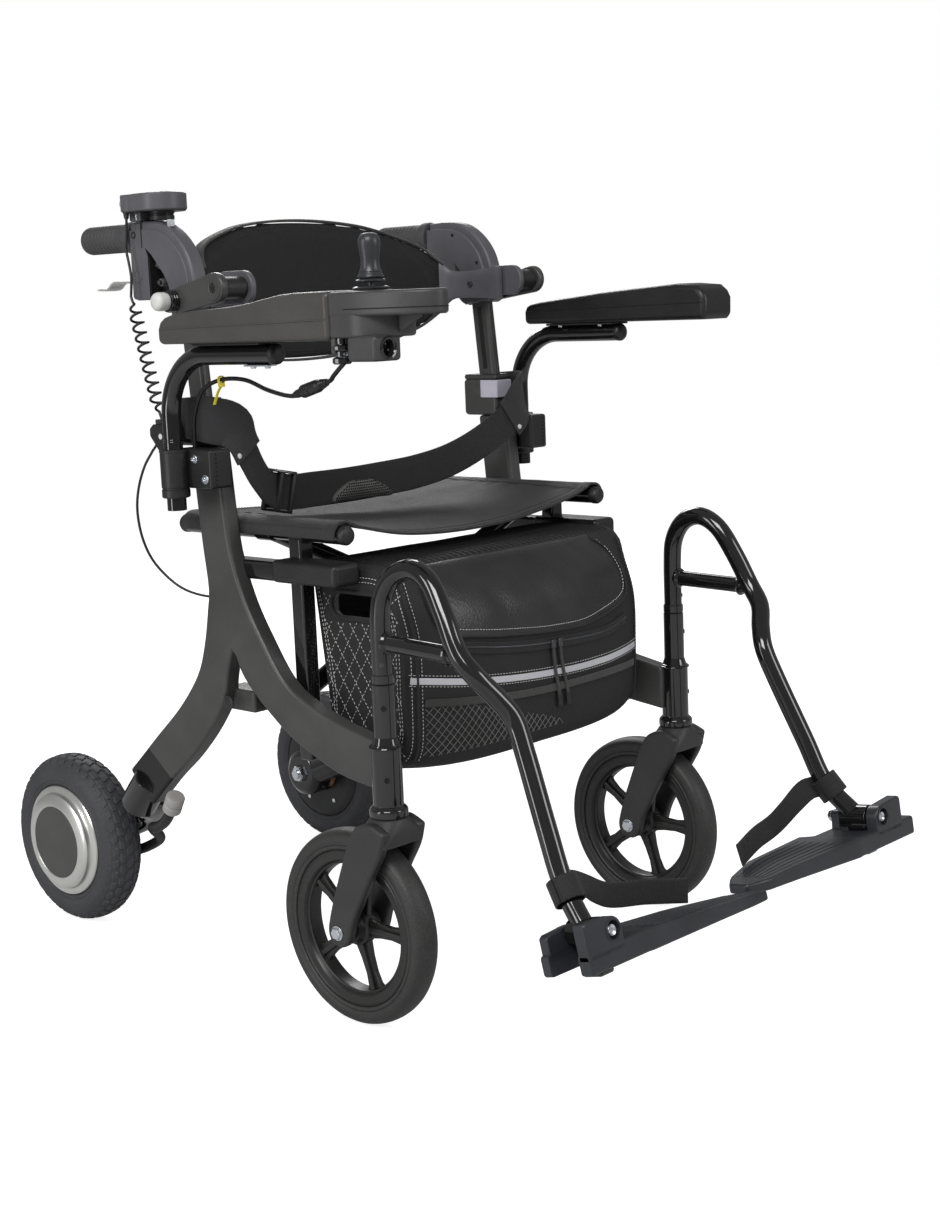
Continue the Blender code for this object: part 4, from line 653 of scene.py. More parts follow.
def loft(rings, look, sharp=35.0):
    """A skin over rings of equal length. Its UV map holds metres round and along the rings."""
    shape = bmesh.new()
    layer = shape.loops.layers.uv.new("UVMap")
    rows = [[shape.verts.new(p) for p in ring] for ring in rings]
    n = len(rings[0])
    along = 0.0
    for one, two in zip(rows, rows[1:]):
        step = sum((a.co - b.co).length for a, b in zip(one, two)) / n
        girth = 0.0
        for i in range(n):
            j = (i + 1) % n
            width = (one[j].co - one[i].co).length
            face = shape.faces.new((one[i], one[j], two[j], two[i]))
            spots = ((girth, along), (girth + width, along), (girth + width, along + step),
                     (girth, along + step))
            for corner, spot in zip(face.loops, spots):
                corner[layer].uv = spot
            girth += width
        along += step
    shape.faces.new(rows[0][::-1])
    shape.faces.new(rows[-1])
    bmesh.ops.recalc_face_normals(shape, faces=shape.faces)
    if shape.calc_volume(signed=True) < 0:
        bmesh.ops.reverse_faces(shape, faces=shape.faces)
    return to_object(shape, look, sharp)


AXES = {"x": lambda u, v, w: (w, u, v), "y": lambda u, v, w: (u, w, v), "z": lambda u, v, w: (u, v, w)}


def slab(outline, axis, low, high, look, bevel=0.0, segments=3, sharp=35.0):
    """A flat outline given thickness along an axis: (y, z) for x, (x, z) for y, (x, y) for z."""
    shape = bmesh.new()
    place = AXES[axis]
    rows = [[shape.verts.new(place(u, v, w)) for u, v in outline] for w in (low, high)]
    ends = [shape.faces.new(row) for row in rows]
    for i in range(len(outline)):
        j = (i + 1) % len(outline)
        shape.faces.new((rows[0][i], rows[0][j], rows[1][j], rows[1][i]))
    bmesh.ops.recalc_face_normals(shape, faces=shape.faces)
    if bevel:
        rims = [e for e in shape.edges if any(f in ends for f in e.link_faces)
                or e.calc_face_angle(0.0) > math.radians(50)]
        bmesh.ops.bevel(shape, geom=rims, offset=bevel, segments=segments, profile=0.5, affect="EDGES",
                        clamp_overlap=True)
    return to_object(shape, look, sharp)


def ellipse(centre, radii, count=32, start=0.0, end=math.tau):
    full = abs(end - start - math.tau) < 1e-6
    steps = count if full else count - 1
    angles = [start + (end - start) * i / steps for i in range(count)]
    return [(centre[0] + radii[0] * math.cos(a), centre[1] + radii[1] * math.sin(a)) for a in angles]


def stadium(start, end, radius, count=16, end_radius=None):
    end_radius = radius if end_radius is None else end_radius
    heading = math.atan2(end[1] - start[1], end[0] - start[0])
    quarter = math.pi / 2
    return [*ellipse(start, (radius, radius), count, heading + quarter, heading + 3 * quarter),
            *ellipse(end, (end_radius, end_radius), count, heading - quarter, heading + quarter)]


def boolean(base, others, operation):
    for other in others:
        step = base.modifiers.new(operation.lower(), "BOOLEAN")
        step.operation = operation
        step.solver = "EXACT"
        step.material_mode = "TRANSFER"
        step.object = other
        base = plain(base)
        bpy.data.objects.remove(other, do_unlink=True)
    return base


def cut(base, *others):
    return boolean(base, others, "DIFFERENCE")


def turn_x(thing, angle, y, z):
    about = Vector((0.0, y, z))
    thing.data.transform(Matrix.Translation(about) @ Matrix.Rotation(angle, 4,
                                                                     "X") @ Matrix.Translation(-about))
    return thing


def mirrored_range(side, inner, outer):
    """The X range between two distances from the middle plane, low first."""
    ends = (SIDES[side] * inner, SIDES[side] * outer)
    return min(ends), max(ends)


def piece(name, things, body, replaces=(), even=True):
    """Join the things, move them into the frame's place and let them ride on a body."""
    base = things[0]
    if len(things) > 1:
        with bpy.context.temp_override(active_object=base, object=base, selected_objects=things,
                                       selected_editable_objects=things):
            bpy.ops.object.join()
    base.data.transform(Matrix.Translation((0.0, SHIFT_Y, 0.0)))
    base.name = name
    base.data.name = name
    if even:
        shading = base.modifiers.new("even shading", "WEIGHTED_NORMAL")
        shading.keep_sharp = True
    if body:
        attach(base, body)
    if replaces:
        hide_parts(*replaces)
    return base


# growth along paths and round rings, with geometry nodes

def grown(source, tree, look, **values):
    """Run a geometry tree on an object and keep the result as a plain mesh."""
    step = source.modifiers.new("growth", "NODES")
    step.node_group = tree
    labels = {item.name: item.identifier for item in tree.interface.items_tree
              if item.item_type == "SOCKET" and item.in_out == "INPUT"}
    step[labels["Finish"]] = FINISH[look]
    for label, value in values.items():
        step[labels[label.replace("_", " ")]] = value
    return plain(source)


def growth_tree(name, inputs):
    tree = bpy.data.node_groups.new(name, "GeometryNodeTree")
    tree.interface.new_socket("Geometry", in_out="INPUT", socket_type="NodeSocketGeometry")
    tree.interface.new_socket("Finish", in_out="INPUT", socket_type="NodeSocketMaterial")
    for label, kind, value in inputs:
        socket = tree.interface.new_socket(label, in_out="INPUT", socket_type="NodeSocket" + kind)
        socket.default_value = value
    tree.interface.new_socket("Geometry", in_out="OUTPUT", socket_type="NodeSocketGeometry")
    return tree, tree.nodes.new("NodeGroupInput").outputs, tree.nodes.new("NodeGroupOutput").inputs


def put(tree, kind, settings=(), **feeds):
    """A node with its settings and its inputs fed by sockets or values, by label."""
    node = tree.nodes.new(kind)
    for label, value in settings:
        setattr(node, label, value)
    for label, value in feeds.items():
        socket = node.inputs[label.replace("_", " ")]
        if isinstance(value, bpy.types.NodeSocket):
            tree.links.new(value, socket)
        else:
            socket.default_value = value
    return node


def stitch_tree():
    """Short threads laid end to end along a curve."""
    tree, given, out = growth_tree("stitches", [("Pitch", "Float", 0.0035), ("Length", "Float", 0.0025),
                                                ("Thread", "Float", 0.0004)])
    points = put(tree, "GeometryNodeResampleCurve", [("mode", "LENGTH")], Curve=given["Geometry"],
                 Length=given["Pitch"])
    spots = put(tree, "GeometryNodeCurveToPoints", [("mode", "EVALUATED")], Curve=points.outputs["Curve"])
    bead = put(tree, "GeometryNodeMeshUVSphere", Segments=6, Rings=5, Radius=0.5)
    size = put(tree, "ShaderNodeCombineXYZ", X=given["Thread"], Y=given["Thread"], Z=given["Length"])
    placed = put(tree, "GeometryNodeInstanceOnPoints", Points=spots.outputs["Points"],
                 Instance=bead.outputs["Mesh"], Rotation=spots.outputs["Rotation"], Scale=size.outputs[0])
    real = put(tree, "GeometryNodeRealizeInstances", Geometry=placed.outputs["Instances"])
    dyed = put(tree, "GeometryNodeSetMaterial", Geometry=real.outputs["Geometry"], Material=given["Finish"])
    tree.links.new(dyed.outputs["Geometry"], out["Geometry"])
    return tree


def ring_tree():
    """Copies of a small mesh set round an axis along X."""
    tree, given, out = growth_tree("ring of copies", [("Count", "Int", 24), ("Phase", "Float", 0.0)])
    line = put(tree, "GeometryNodeMeshLine", Count=given["Count"])
    line.inputs["Offset"].default_value = (0.0, 0.0, 0.0)
    place = put(tree, "GeometryNodeInputIndex")
    step = put(tree, "ShaderNodeMath", [("operation", "DIVIDE")])
    step.inputs[0].default_value = math.tau
    tree.links.new(given["Count"], step.inputs[1])
    angle = put(tree, "ShaderNodeMath", [("operation", "MULTIPLY_ADD")])
    tree.links.new(place.outputs[0], angle.inputs[0])
    tree.links.new(step.outputs[0], angle.inputs[1])
    tree.links.new(given["Phase"], angle.inputs[2])
    turn = put(tree, "ShaderNodeCombineXYZ", X=angle.outputs[0])
    placed = put(tree, "GeometryNodeInstanceOnPoints", Points=line.outputs["Mesh"],
                 Instance=given["Geometry"], Rotation=turn.outputs[0])
    real = put(tree, "GeometryNodeRealizeInstances", Geometry=placed.outputs["Instances"])
    dyed = put(tree, "GeometryNodeSetMaterial", Geometry=real.outputs["Geometry"], Material=given["Finish"])
    tree.links.new(dyed.outputs["Geometry"], out["Geometry"])
    return tree


def row_tree():
    """Copies of a mesh set in a straight row."""
    tree, given, out = growth_tree("row of copies", [("Count", "Int", 8),
                                                     ("Step", "Vector", (0.0, 0.0, 0.0))])
    line = put(tree, "GeometryNodeMeshLine", Count=given["Count"], Offset=given["Step"])
    placed = put(tree, "GeometryNodeInstanceOnPoints", Points=line.outputs["Mesh"],
                 Instance=given["Geometry"])
    real = put(tree, "GeometryNodeRealizeInstances", Geometry=placed.outputs["Instances"])
    dyed = put(tree, "GeometryNodeSetMaterial", Geometry=real.outputs["Geometry"], Material=given["Finish"])
    tree.links.new(dyed.outputs["Geometry"], out["Geometry"])
    return tree


STITCHES = stitch_tree()
RING = ring_tree()
ROW = row_tree()


def curve_through(points):
    """A poly curve object through the points."""
    curve = bpy.data.curves.new("seam line", "CURVE")
    curve.dimensions = "3D"
    spline = curve.splines.new("POLY")
    spline.points.add(len(points) - 1)
    for spot, point in zip(spline.points, points):
        spot.co = (*point, 1.0)
    made = bpy.data.objects.new("seam line", curve)
    bpy.context.scene.collection.objects.link(made)
    return made


def stitched(points, look="thread white", pitch=0.0036, length=0.0027, thread=0.0007):
    return grown(curve_through(points), STITCHES, look, Pitch=pitch, Length=length, Thread=thread)


def ringed(thing, count, look, centre, phase=0.0):
    """Copies of a thing round the X axis through the centre. The thing is drawn about the origin."""
    made = grown(thing, RING, look, Count=count, Phase=phase)
    made.data.transform(Matrix.Translation(centre))
    return made


def rowed(thing, count, step, look):
    return grown(thing, ROW, look, Count=count, Step=step)


# side frames and fold

REAR_EDGE = [(-0.0275, 0.5745), (-0.036, 0.480), (-0.042, 0.428), (-0.039, 0.405), (-0.029, 0.363),
             (-0.014, 0.329), (0.019, 0.291), (0.063, 0.253), (0.095, 0.225), (0.116, 0.207)]
LEG_INNER = [(0.080, 0.171), (0.040, 0.207), (0.006, 0.234), (-0.026, 0.265), (-0.049, 0.293),
             (-0.060, 0.312), (-0.065, 0.334), (-0.075, 0.362)]
BRANCH_LOWER = [(-0.080, 0.357), (-0.090, 0.337), (-0.112, 0.315), (-0.157, 0.282), (-0.204, 0.261),
                (-0.239, 0.250), (-0.296, 0.2425)]
FRONT_EDGE = [(-0.296, 0.291), (-0.236, 0.303), (-0.183, 0.321), (-0.152, 0.341), (-0.123, 0.380),
              (-0.102, 0.414), (-0.087, 0.451), (-0.079, 0.488), (-0.0705, 0.5745)]
COLLAR_LOW = 0.2215
COLLAR_TOP = 0.293
RECEIVER_TOP = 0.3525
LOOP_END = (-0.2065, -0.0420, 0.4110)


def glossed(thing, place, heading, look):
    """Cut the faces of a shape along a plane and give those beyond it another finish."""
    shape = bmesh.new()
    shape.from_mesh(thing.data)
    bmesh.ops.bisect_plane(shape, geom=[*shape.verts, *shape.edges, *shape.faces], dist=1e-6, plane_co=place,
                           plane_no=heading)
    thing.data.materials.append(FINISH[look])
    index = len(thing.data.materials) - 1
    for face in shape.faces:
        if (face.calc_center_median() - place).dot(heading) > 0:
            face.material_index = index
    shape.to_mesh(thing.data)
    shape.free()


def side_frame(side):
    """Flat-oval upright, leg and branch, with the glossy stem, the seat guide and the fold's lugs."""
    s = SIDES[side]
    outline = []
    for edge in (REAR_EDGE, LEG_INNER, BRANCH_LOWER, FRONT_EDGE):
        outline += [(p.x, p.y) for p in smooth_route([(*q, 0.0) for q in edge], 0.009)]
    things = [slab(outline, "x", *mirrored_range(side, FRAME_X - FRAME_THICK / 2, FRAME_X + FRAME_THICK / 2),
                   "frame paint", 0.0062, 5)]
    glossed(things[0], Vector((0.0, 0.0560, 0.2200)), Vector((0.0, 0.62, -0.78)), "leg gloss")
    stem = (s * STEM_X, STEM_Y, 0.0)
    things.append(turned([(0.0070, COLLAR_LOW), (0.0180, COLLAR_LOW), (0.0190, 0.2225), (0.0190, 0.2282),
                          (0.0182, 0.2300), (0.0152, 0.2328), (0.0150, 0.2345), (0.0150, COLLAR_TOP - 0.0012),
                          (0.0146, COLLAR_TOP), (0.0136, COLLAR_TOP + 0.0004), (0.0118, 0.2990),
                          (0.0114, 0.3010),
                          (0.0114, RECEIVER_TOP - 0.0008), (0.0108, RECEIVER_TOP), (0.0085, RECEIVER_TOP),
                          (0.0085, 0.3055), (0.0070, 0.3050)], stem, (0, 0, 1), "black gloss", 72))
    things.append(sweep([Vector((s * STEM_X, STEM_Y, 0.0)) +
                         Vector((0.0158 * math.cos(a), 0.0158 * math.sin(a), 0.2905))
                         for a in (math.tau * i / 40 for i in range(40))],
                        circle(0.0011, 8), "black gloss", loop=True))
    # Dark discs of painted shade stand for the stem's holes.
    for z, depth in ((0.2600, 0.0150), (0.3300, 0.0114)):
        out = Vector((s * 0.72, -0.694, 0.0))
        spot = Vector((s * STEM_X, STEM_Y, z)) + out * depth
        things.append(turned([(0.0, -0.0004), (0.0024, -0.0004), (0.0028, 0.0004), (0.0024, 0.0009),
                              (0.0019, 0.0002),
                              (0.0, 0.0002)], spot, out, "hole black", 20))
    bar_x = mirrored_range(side, RAIL_X - 0.003, FRAME_X - 0.004)
    guide_x = mirrored_range(side, RAIL_X - 0.0118, FRAME_X - 0.0005)
    things.append(block((bar_x[0], -0.140, 0.437), (bar_x[1], -0.060, 0.457), "black gloss", 0.004, 4))
    things.append(block((guide_x[0], -0.228, 0.4365), (guide_x[1], -0.132, 0.4600), "black plastic", 0.0055,
                        4))
    inner_face = s * (RAIL_X - 0.0118)
    for y in (-0.218, -0.172, -0.142):
        things.append(cap_screw((inner_face, y, 0.4478), (-s, 0, 0), 0.0036))
    x = s * RAIL_X
    things.append(rod((x, -0.1425, PIVOT_Z), (x, -0.036, PIVOT_Z), 0.0085, "black gloss"))
    lug_x = mirrored_range(side, RAIL_X - 0.010, FRAME_X - 0.004)
    things.append(block((lug_x[0], -0.1432, 0.294), (lug_x[1], -0.1400, 0.318), "frame paint", 0.0010))
    things.append(block((lug_x[0], -0.0910, 0.294), (lug_x[1], -0.0400, 0.318), "frame paint", 0.0040))
    things.append(hexagon((x, -0.1430, PIVOT_Z), (x, -0.1474, PIVOT_Z), 0.0110, "zinc"))
    outer_face = s * (FRAME_X + FRAME_THICK / 2)
    things.append(turned([(0.0, -0.0008), (0.0070, -0.0008), (0.0072, 0.0006), (0.0040, 0.0014),
                          (0.0, 0.0016)],
                         (outer_face, -0.066, 0.306), (s, 0, 0), "black plastic", 32))
    if side == "r":
        things.append(block((-0.2160, LOOP_END[1] - 0.0100, LOOP_END[2] - 0.0060),
                            (-0.2020, LOOP_END[1] - GAP, LOOP_END[2] + 0.0060), "black plastic", 0.0020))
    piece(f"side_frame_tubes_{side}", things, f"side_{side}", [f"side_frame_{side}"])


def height_clamp(side):
    """Clamp housing round the handle post, its lipped rim, screw and wrapped push button."""
    s = SIDES[side]
    low, high, front, rear = UPRIGHT_TOP + GAP, 0.6230, -0.0612, -0.0075
    x0, x1 = mirrored_range(side, 0.2088, 0.2370)
    body = block((x0, front, low), (x1, rear, high - 0.0045), "frame paint", 0.0050, 4)
    z0, z1, button_rear = 0.5960, 0.6170, -0.0365
    # The pocket cutter leaves near-black walls of painted shade in the button's recess.
    pocket_x = mirrored_range(side, 0.2000, 0.2122)
    pocket = block((pocket_x[0], -0.0700, z0 - 0.0004), (pocket_x[1], button_rear + 0.0004, z1 + 0.0004),
                   "hole black", 0.0002, 1)
    things = [cut(body, pocket)]
    things.append(block((x0 + 0.0012, front + 0.0012, high - 0.0052), (x1 - 0.0012, rear - 0.0012, high),
                        "frame paint", 0.0020))
    things.append(block((x0 + 0.0022, front + 0.0020, high - 0.0010),
                        (x1 - 0.0022, rear - 0.0020, high + 0.0008),
                        "black plastic", 0.0008))
    # This screw is drawn in the near-black of painted shade, as if sunk in its hole.
    things.append(cap_screw((s * 0.2110, front, 0.5825), (0, -1, 0), 0.0030, "hole black"))
    things.append(cap_screw((s * 0.2300, rear, 0.6000), (0, 1, 0), 0.0034))
    piece(f"height_clamp_body_{side}", things, f"side_{side}", [f"height_clamp_{side}"])
    face_x, flank_x = mirrored_range(side, 0.2078, 0.2340), mirrored_range(side, 0.2078, 0.2098)
    keys = [block((face_x[0], front - 0.0026, z0), (face_x[1], front - GAP, z1), "button grey", 0.0011, 4),
            block((flank_x[0], front - 0.0026, z0), (flank_x[1], button_rear, z1), "button grey", 0.0009, 3)]
    piece(f"height_button_cap_{side}", keys, f"height_catch_{side}", [f"height_button_{side}"])


def seat_rail(side):
    """Seat tube with its end plugs, clamp and the square post below."""
    x = SIDES[side] * RAIL_X
    things = [rod((x, -0.2185, RAIL_Z), (x, 0.0250, RAIL_Z), RAIL_R, "black gloss")]
    for end, face in ((-0.2170, -1.0), (0.0235, 1.0)):
        cap = [(0.0, 0.0), (RAIL_R + 0.0004, 0.0), (RAIL_R + 0.0004, 0.0052), (RAIL_R - 0.0012, 0.0078),
               (RAIL_R - 0.0045, 0.0088), (0.0, 0.0090)]
        things.append(turned(cap, (x, end, RAIL_Z), (0, face, 0), "black plastic", 40))
    things.append(rod((x, POST_Y - 0.0125, RAIL_Z), (x, POST_Y + 0.0075, RAIL_Z), 0.0115, "black plastic",
                      0.0012))
    things.append(block((x - POST_HALF, POST_Y - POST_HALF, 0.250), (x + POST_HALF, POST_Y + POST_HALF,
                                                                     RAIL_Z - 0.003),
                        "black gloss", 0.0024))
    piece(f"seat_tube_{side}", things, f"seat_{side}", [f"seat_rail_{side}"])


def brace(name, low_side):
    """One tube of the fold's cross, with its sleeves and the cross bolt."""
    y = BRACE_Y[name]
    low = Vector((SIDES[low_side] * RAIL_X, y, PIVOT_Z))
    high = Vector((-low.x, y, RAIL_Z))
    along = (high - low).normalized()
    things = [rod(low + along * 0.0100, high - along * 0.0105, 0.0095, "black gloss")]
    for centre, bore in ((low, 0.0089), (high, RAIL_R + 0.0004)):
        ring = [(bore, -0.0115), (0.0108, -0.0115), (0.0115, -0.0106), (0.0115, 0.0106), (0.0108, 0.0115),
                (bore, 0.0115)]
        things.append(turned(ring, centre, (0, 1, 0), "black gloss", 40))
    centre = (low + high) / 2
    if name == "a":
        things.append(rod(centre, centre + Vector((0, 0.0360, 0)), 0.0035, "zinc"))
        things.append(hexagon(centre + Vector((0, 0.0352, 0)), centre + Vector((0, 0.0390, 0)), 0.0120,
                              "zinc"))
        things.append(cap_screw(centre + Vector((0, -0.0094, 0)), (0, -1, 0), 0.0060, "zinc"))
    piece(f"brace_tube_{name}", things, f"brace_{name}", [f"brace_{name}"])


# wheels

def front_wheel(side):
    """Fork shell, ribbed five-spoke rim and smooth tyre with its shoulder grooves."""
    x = SIDES[side] * STEM_X
    centre = (x, FRONT_AXLE_Y, AXLE_Z)
    leg = [(-0.3215, 0.2120), (-0.3000, 0.2190), (-0.2800, 0.2120), (-0.2690, 0.1950), (-0.2560, 0.1640),
           (-0.2440, 0.1330), (-0.2365, 0.1100), (-0.2348, 0.0985), (-0.2385, 0.0890), (-0.2470, 0.0850),
           (-0.2570, 0.0860), (-0.2645, 0.0940), (-0.2720, 0.1150), (-0.2860, 0.1400), (-0.3020, 0.1680),
           (-0.3150, 0.1900)]
    leg = [(p.x, p.y) for p in smooth_route([(*q, 0.0) for q in [*leg, leg[0]]], 0.005)][:-1]
    things = []
    for sign in (-1, 1):
        things.append(slab(leg, "x", *sorted((x + sign * 0.0190, x + sign * 0.0302)), "fork plastic", 0.0038,
                           4))
        outer = x + sign * 0.0300
        things.append(rod((outer, FRONT_AXLE_Y, AXLE_Z), (outer + sign * 0.0014, FRONT_AXLE_Y, AXLE_Z),
                          0.0076, "zinc"))
        things.append(hexagon((outer + sign * 0.0012, FRONT_AXLE_Y, AXLE_Z),
                              (outer + sign * 0.0046, FRONT_AXLE_Y, AXLE_Z),
                              0.0110, "zinc"))
    rings = []
    for z, half_x, half_y, power in ((0.2213, 0.0172, 0.0172, 1.0), (0.2200, 0.0186, 0.0186, 1.0),
                                     (0.2140, 0.0232, 0.0205, 0.75), (0.2070, 0.0285, 0.0215, 0.5),
                                     (0.1990, 0.0303, 0.0213, 0.38), (0.1960, 0.0300, 0.0210, 0.35)):
        ring = []
        for i in range(48):
            a = math.tau * i / 48
            u, v = math.cos(a), math.sin(a)
            ring.append((x + half_x * math.copysign(abs(u) ** power, u),
                         STEM_Y + half_y * math.copysign(abs(v) ** power, v), z))
        rings.append(ring)
    things.append(loft(rings, "fork plastic", 50.0))
    things.append(rod((x, STEM_Y, 0.2150), (x, STEM_Y, 0.2560), 0.0070, "steel dark"))
    things.append(rod((x - 0.0330, FRONT_AXLE_Y, AXLE_Z), (x + 0.0330, FRONT_AXLE_Y, AXLE_Z), 0.0040, "zinc"))
    piece(f"caster_fork_shell_{side}", things, f"caster_{side}", [f"caster_fork_{side}"])

    rim = [(0.0795, -0.0122), (0.0795, 0.0122), (0.0780, 0.0128), (0.0760, 0.0118), (0.0700, 0.0120),
           (0.0688, 0.0112),
           (0.0672, 0.0082), (0.0655, 0.0076), (0.0648, 0.0060), (0.0648, -0.0060), (0.0655, -0.0076),
           (0.0672, -0.0082), (0.0688, -0.0112), (0.0700, -0.0120), (0.0760, -0.0118), (0.0780, -0.0128)]
    things = [turned(rim[::-1], centre, (-1, 0, 0), "rim plastic", 96)]
    hub = [(0.0044, -0.0176), (0.0085, -0.0180), (0.0095, -0.0170), (0.0150, -0.0150), (0.0165, -0.0080),
           (0.0190, -0.0060), (0.0190, 0.0060), (0.0165, 0.0080), (0.0150, 0.0150), (0.0095, 0.0170),
           (0.0085, 0.0180),
           (0.0044, 0.0176)]
    things.append(turned(hub, centre, (1, 0, 0), "rim plastic", 48))
    web = slab([(-0.0105, 0.0150), (0.0105, 0.0150), (0.0075, 0.0320), (0.0066, 0.0480), (0.0082, 0.0600),
                (0.0120, 0.0662), (-0.0120, 0.0662), (-0.0082, 0.0600), (-0.0066, 0.0480), (-0.0075, 0.0320)],
               "x", -0.0030, 0.0030, "rim plastic", 0.0010, 2)
    rib = slab([(-0.0034, 0.0120), (0.0034, 0.0120), (0.0026, 0.0662), (-0.0026, 0.0662)], "x", -0.0062,
               0.0062,
               "rim plastic", 0.0010, 2)
    things.append(ringed(web, 5, "rim plastic", centre, 0.3))
    things.append(ringed(rib, 5, "rim plastic", centre, 0.3))
    piece(f"front_rim_spoked_{side}", things, f"front_wheel_{side}", [f"front_rim_{side}"])

    half = [(0.0800, 0.0120), (0.0808, 0.0134), (0.0830, 0.0140), (0.0842, 0.0138), (0.0846, 0.0132),
            (0.0852, 0.0140),
            (0.0880, 0.0149), (0.0910, 0.0150), (0.0935, 0.0143), (0.0942, 0.0137), (0.0948, 0.0137),
            (0.0965, 0.0124),
            (0.0984, 0.0095), (0.0994, 0.0062), (0.0999, 0.0028), (WHEEL_R, 0.0)]
    tyre = half + [(r, -h) for r, h in half[-2::-1]]
    piece(f"front_tyre_ring_{side}", [turned(tyre, centre, (-1, 0, 0), "tyre rubber", 112, 50.0)],
          f"front_wheel_{side}", [f"front_tyre_{side}"])


def tread_block(across, around, lean, height=0.0016):
    """One raised tread block on the crown of the tyre, drawn at the top of a wheel about the origin."""
    shape = bmesh.new()
    rings = []
    for lift, share in ((-0.0008, 1.0), (height * 0.75, 0.90), (height, 0.74)):
        ring = []
        for u, v in ((-1, -1), (-0.4, -1.15), (0.4, -0.9), (1, -1), (1, 1), (0.4, 1.15), (-0.4, 0.9),
                     (-1, 1)):
            w = across[0] + (across[1] - across[0]) * (u * share + 1) / 2
            y = around * v * share / 2 + lean * (w - (across[0] + across[1]) / 2)
            radius = crown_radius(w) - 0.0016 + lift
            ring.append(shape.verts.new((w, radius * math.sin(y / radius), radius * math.cos(y / radius))))
        rings.append(ring)
    for one, two in zip(rings, rings[1:]):
        for i in range(8):
            j = (i + 1) % 8
            shape.faces.new((one[i], one[j], two[j], two[i]))
    shape.faces.new(rings[0][::-1])
    shape.faces.new(rings[-1])
    bmesh.ops.recalc_face_normals(shape, faces=shape.faces)
    return to_object(shape, "tread rubber", 30.0)


CROWN = [(0.0, 0.1000), (0.0060, 0.0997), (0.0120, 0.0983), (0.0180, 0.0946), (0.0225, 0.0895),
         (0.0255, 0.0830)]


def crown_radius(w):
    """Radius of the rear tyre at a distance across from its middle."""
    w = min(abs(w), CROWN[-1][0])
    for (a, ra), (b, rb) in zip(CROWN, CROWN[1:]):
        if w <= b:
            return ra + (rb - ra) * (w - a) / (b - a)
    return CROWN[-1][1]


def rear_wheel(side):
    """Hub motor wheel: block tread tyre, stepped silver shell with a plain dark disc, and the shaft."""
    s = SIDES[side]
    x = s * REAR_X
    out, centre = (s, 0.0, 0.0), (x, REAR_Y, AXLE_Z)
    half = [(0.0663, 0.0212), (0.0680, 0.0228), (0.0712, 0.0242), (0.0720, 0.0238), (0.0728, 0.0245),
            (0.0775, 0.0254),
            (0.0825, 0.0254), (0.0868, 0.0240), (0.0905, 0.0212), (0.0938, 0.0172), (0.0962, 0.0128),
            (0.0978, 0.0080), (0.0984, 0.0)]
    things = [turned(half + [(r, -h) for r, h in half[-2::-1]], centre, out, "tread rubber", 112, 50.0)]
    for across, around, lean, count, phase in (((-0.0048, 0.0048), 0.0100, 0.35, 40, 0.0),
                                               ((0.0062, 0.0128), 0.0112, -0.40, 40, 0.08),
                                               ((-0.0128, -0.0062), 0.0112, -0.40, 40, 0.08),
                                               ((0.0142, 0.0196), 0.0096, 0.30, 40, 0.0),
                                               ((-0.0196, -0.0142), 0.0096, 0.30, 40, 0.0),
                                               ((0.0208, 0.0236), 0.0062, 0.0, 40, 0.08),
                                               ((-0.0236, -0.0208), 0.0062, 0.0, 40, 0.08)):
        things.append(ringed(tread_block(across, around, lean), count, "tread rubber", centre, phase))
    piece(f"rear_tyre_treaded_{side}", things, f"rear_wheel_{side}", [f"rear_tyre_{side}"])

    shell = [(0.0, 0.0330), (0.0425, 0.0330), (0.0427, 0.0338), (0.0434, 0.0345), (0.0446, 0.0344),
             (0.0520, 0.0330),
             (0.0556, 0.0313), (0.0566, 0.0302), (0.0572, 0.0268), (0.0582, 0.0255), (0.0628, 0.0246),
             (0.0652, 0.0240),
             (0.0661, 0.0225), (0.0661, -0.0215), (0.0640, -0.0232), (0.0560, -0.0245), (0.0400, -0.0250),
             (0.0310, -0.0248), (0.0300, -0.0240), (0.0300, -0.0180), (0.0560, -0.0180), (0.0560, 0.0260),
             (0.0, 0.0260)]
    things = [turned(shell, centre, out, "hub alloy", 128, 30.0)]
    glossed(things[0], Vector((x - s * 0.0150, 0.0, 0.0)), Vector((-s, 0.0, 0.0)), "motor casing")
    disc = [(0.0, 0.0345), (0.0300, 0.0344), (0.0418, 0.0341), (0.0424, 0.0336), (0.0424, 0.0328),
            (0.0, 0.0328)]
    things.append(turned(disc, centre, out, "hub disc", 96, 30.0))
    things.append(ringed(rod((-s * 0.0240, 0.0, 0.0480), (-s * 0.0262, 0.0, 0.0480), 0.0030, "zinc", 0.0006,
                             16), 6,
                         "zinc", centre, 0.5))
    piece(f"rear_hub_shell_{side}", things, f"rear_wheel_{side}", [f"rear_hub_{side}"])
    stator = [rod((x - s * 0.0130, REAR_Y, AXLE_Z), (x + s * 0.0240, REAR_Y, AXLE_Z), 0.0500, "copper"),
              rod((x - s * 0.0420, REAR_Y, AXLE_Z), (x + s * 0.0120, REAR_Y, AXLE_Z), 0.0080, "steel dark")]
    piece(f"motor_core_{side}", stator, f"side_{side}", [f"motor_stator_{side}"])


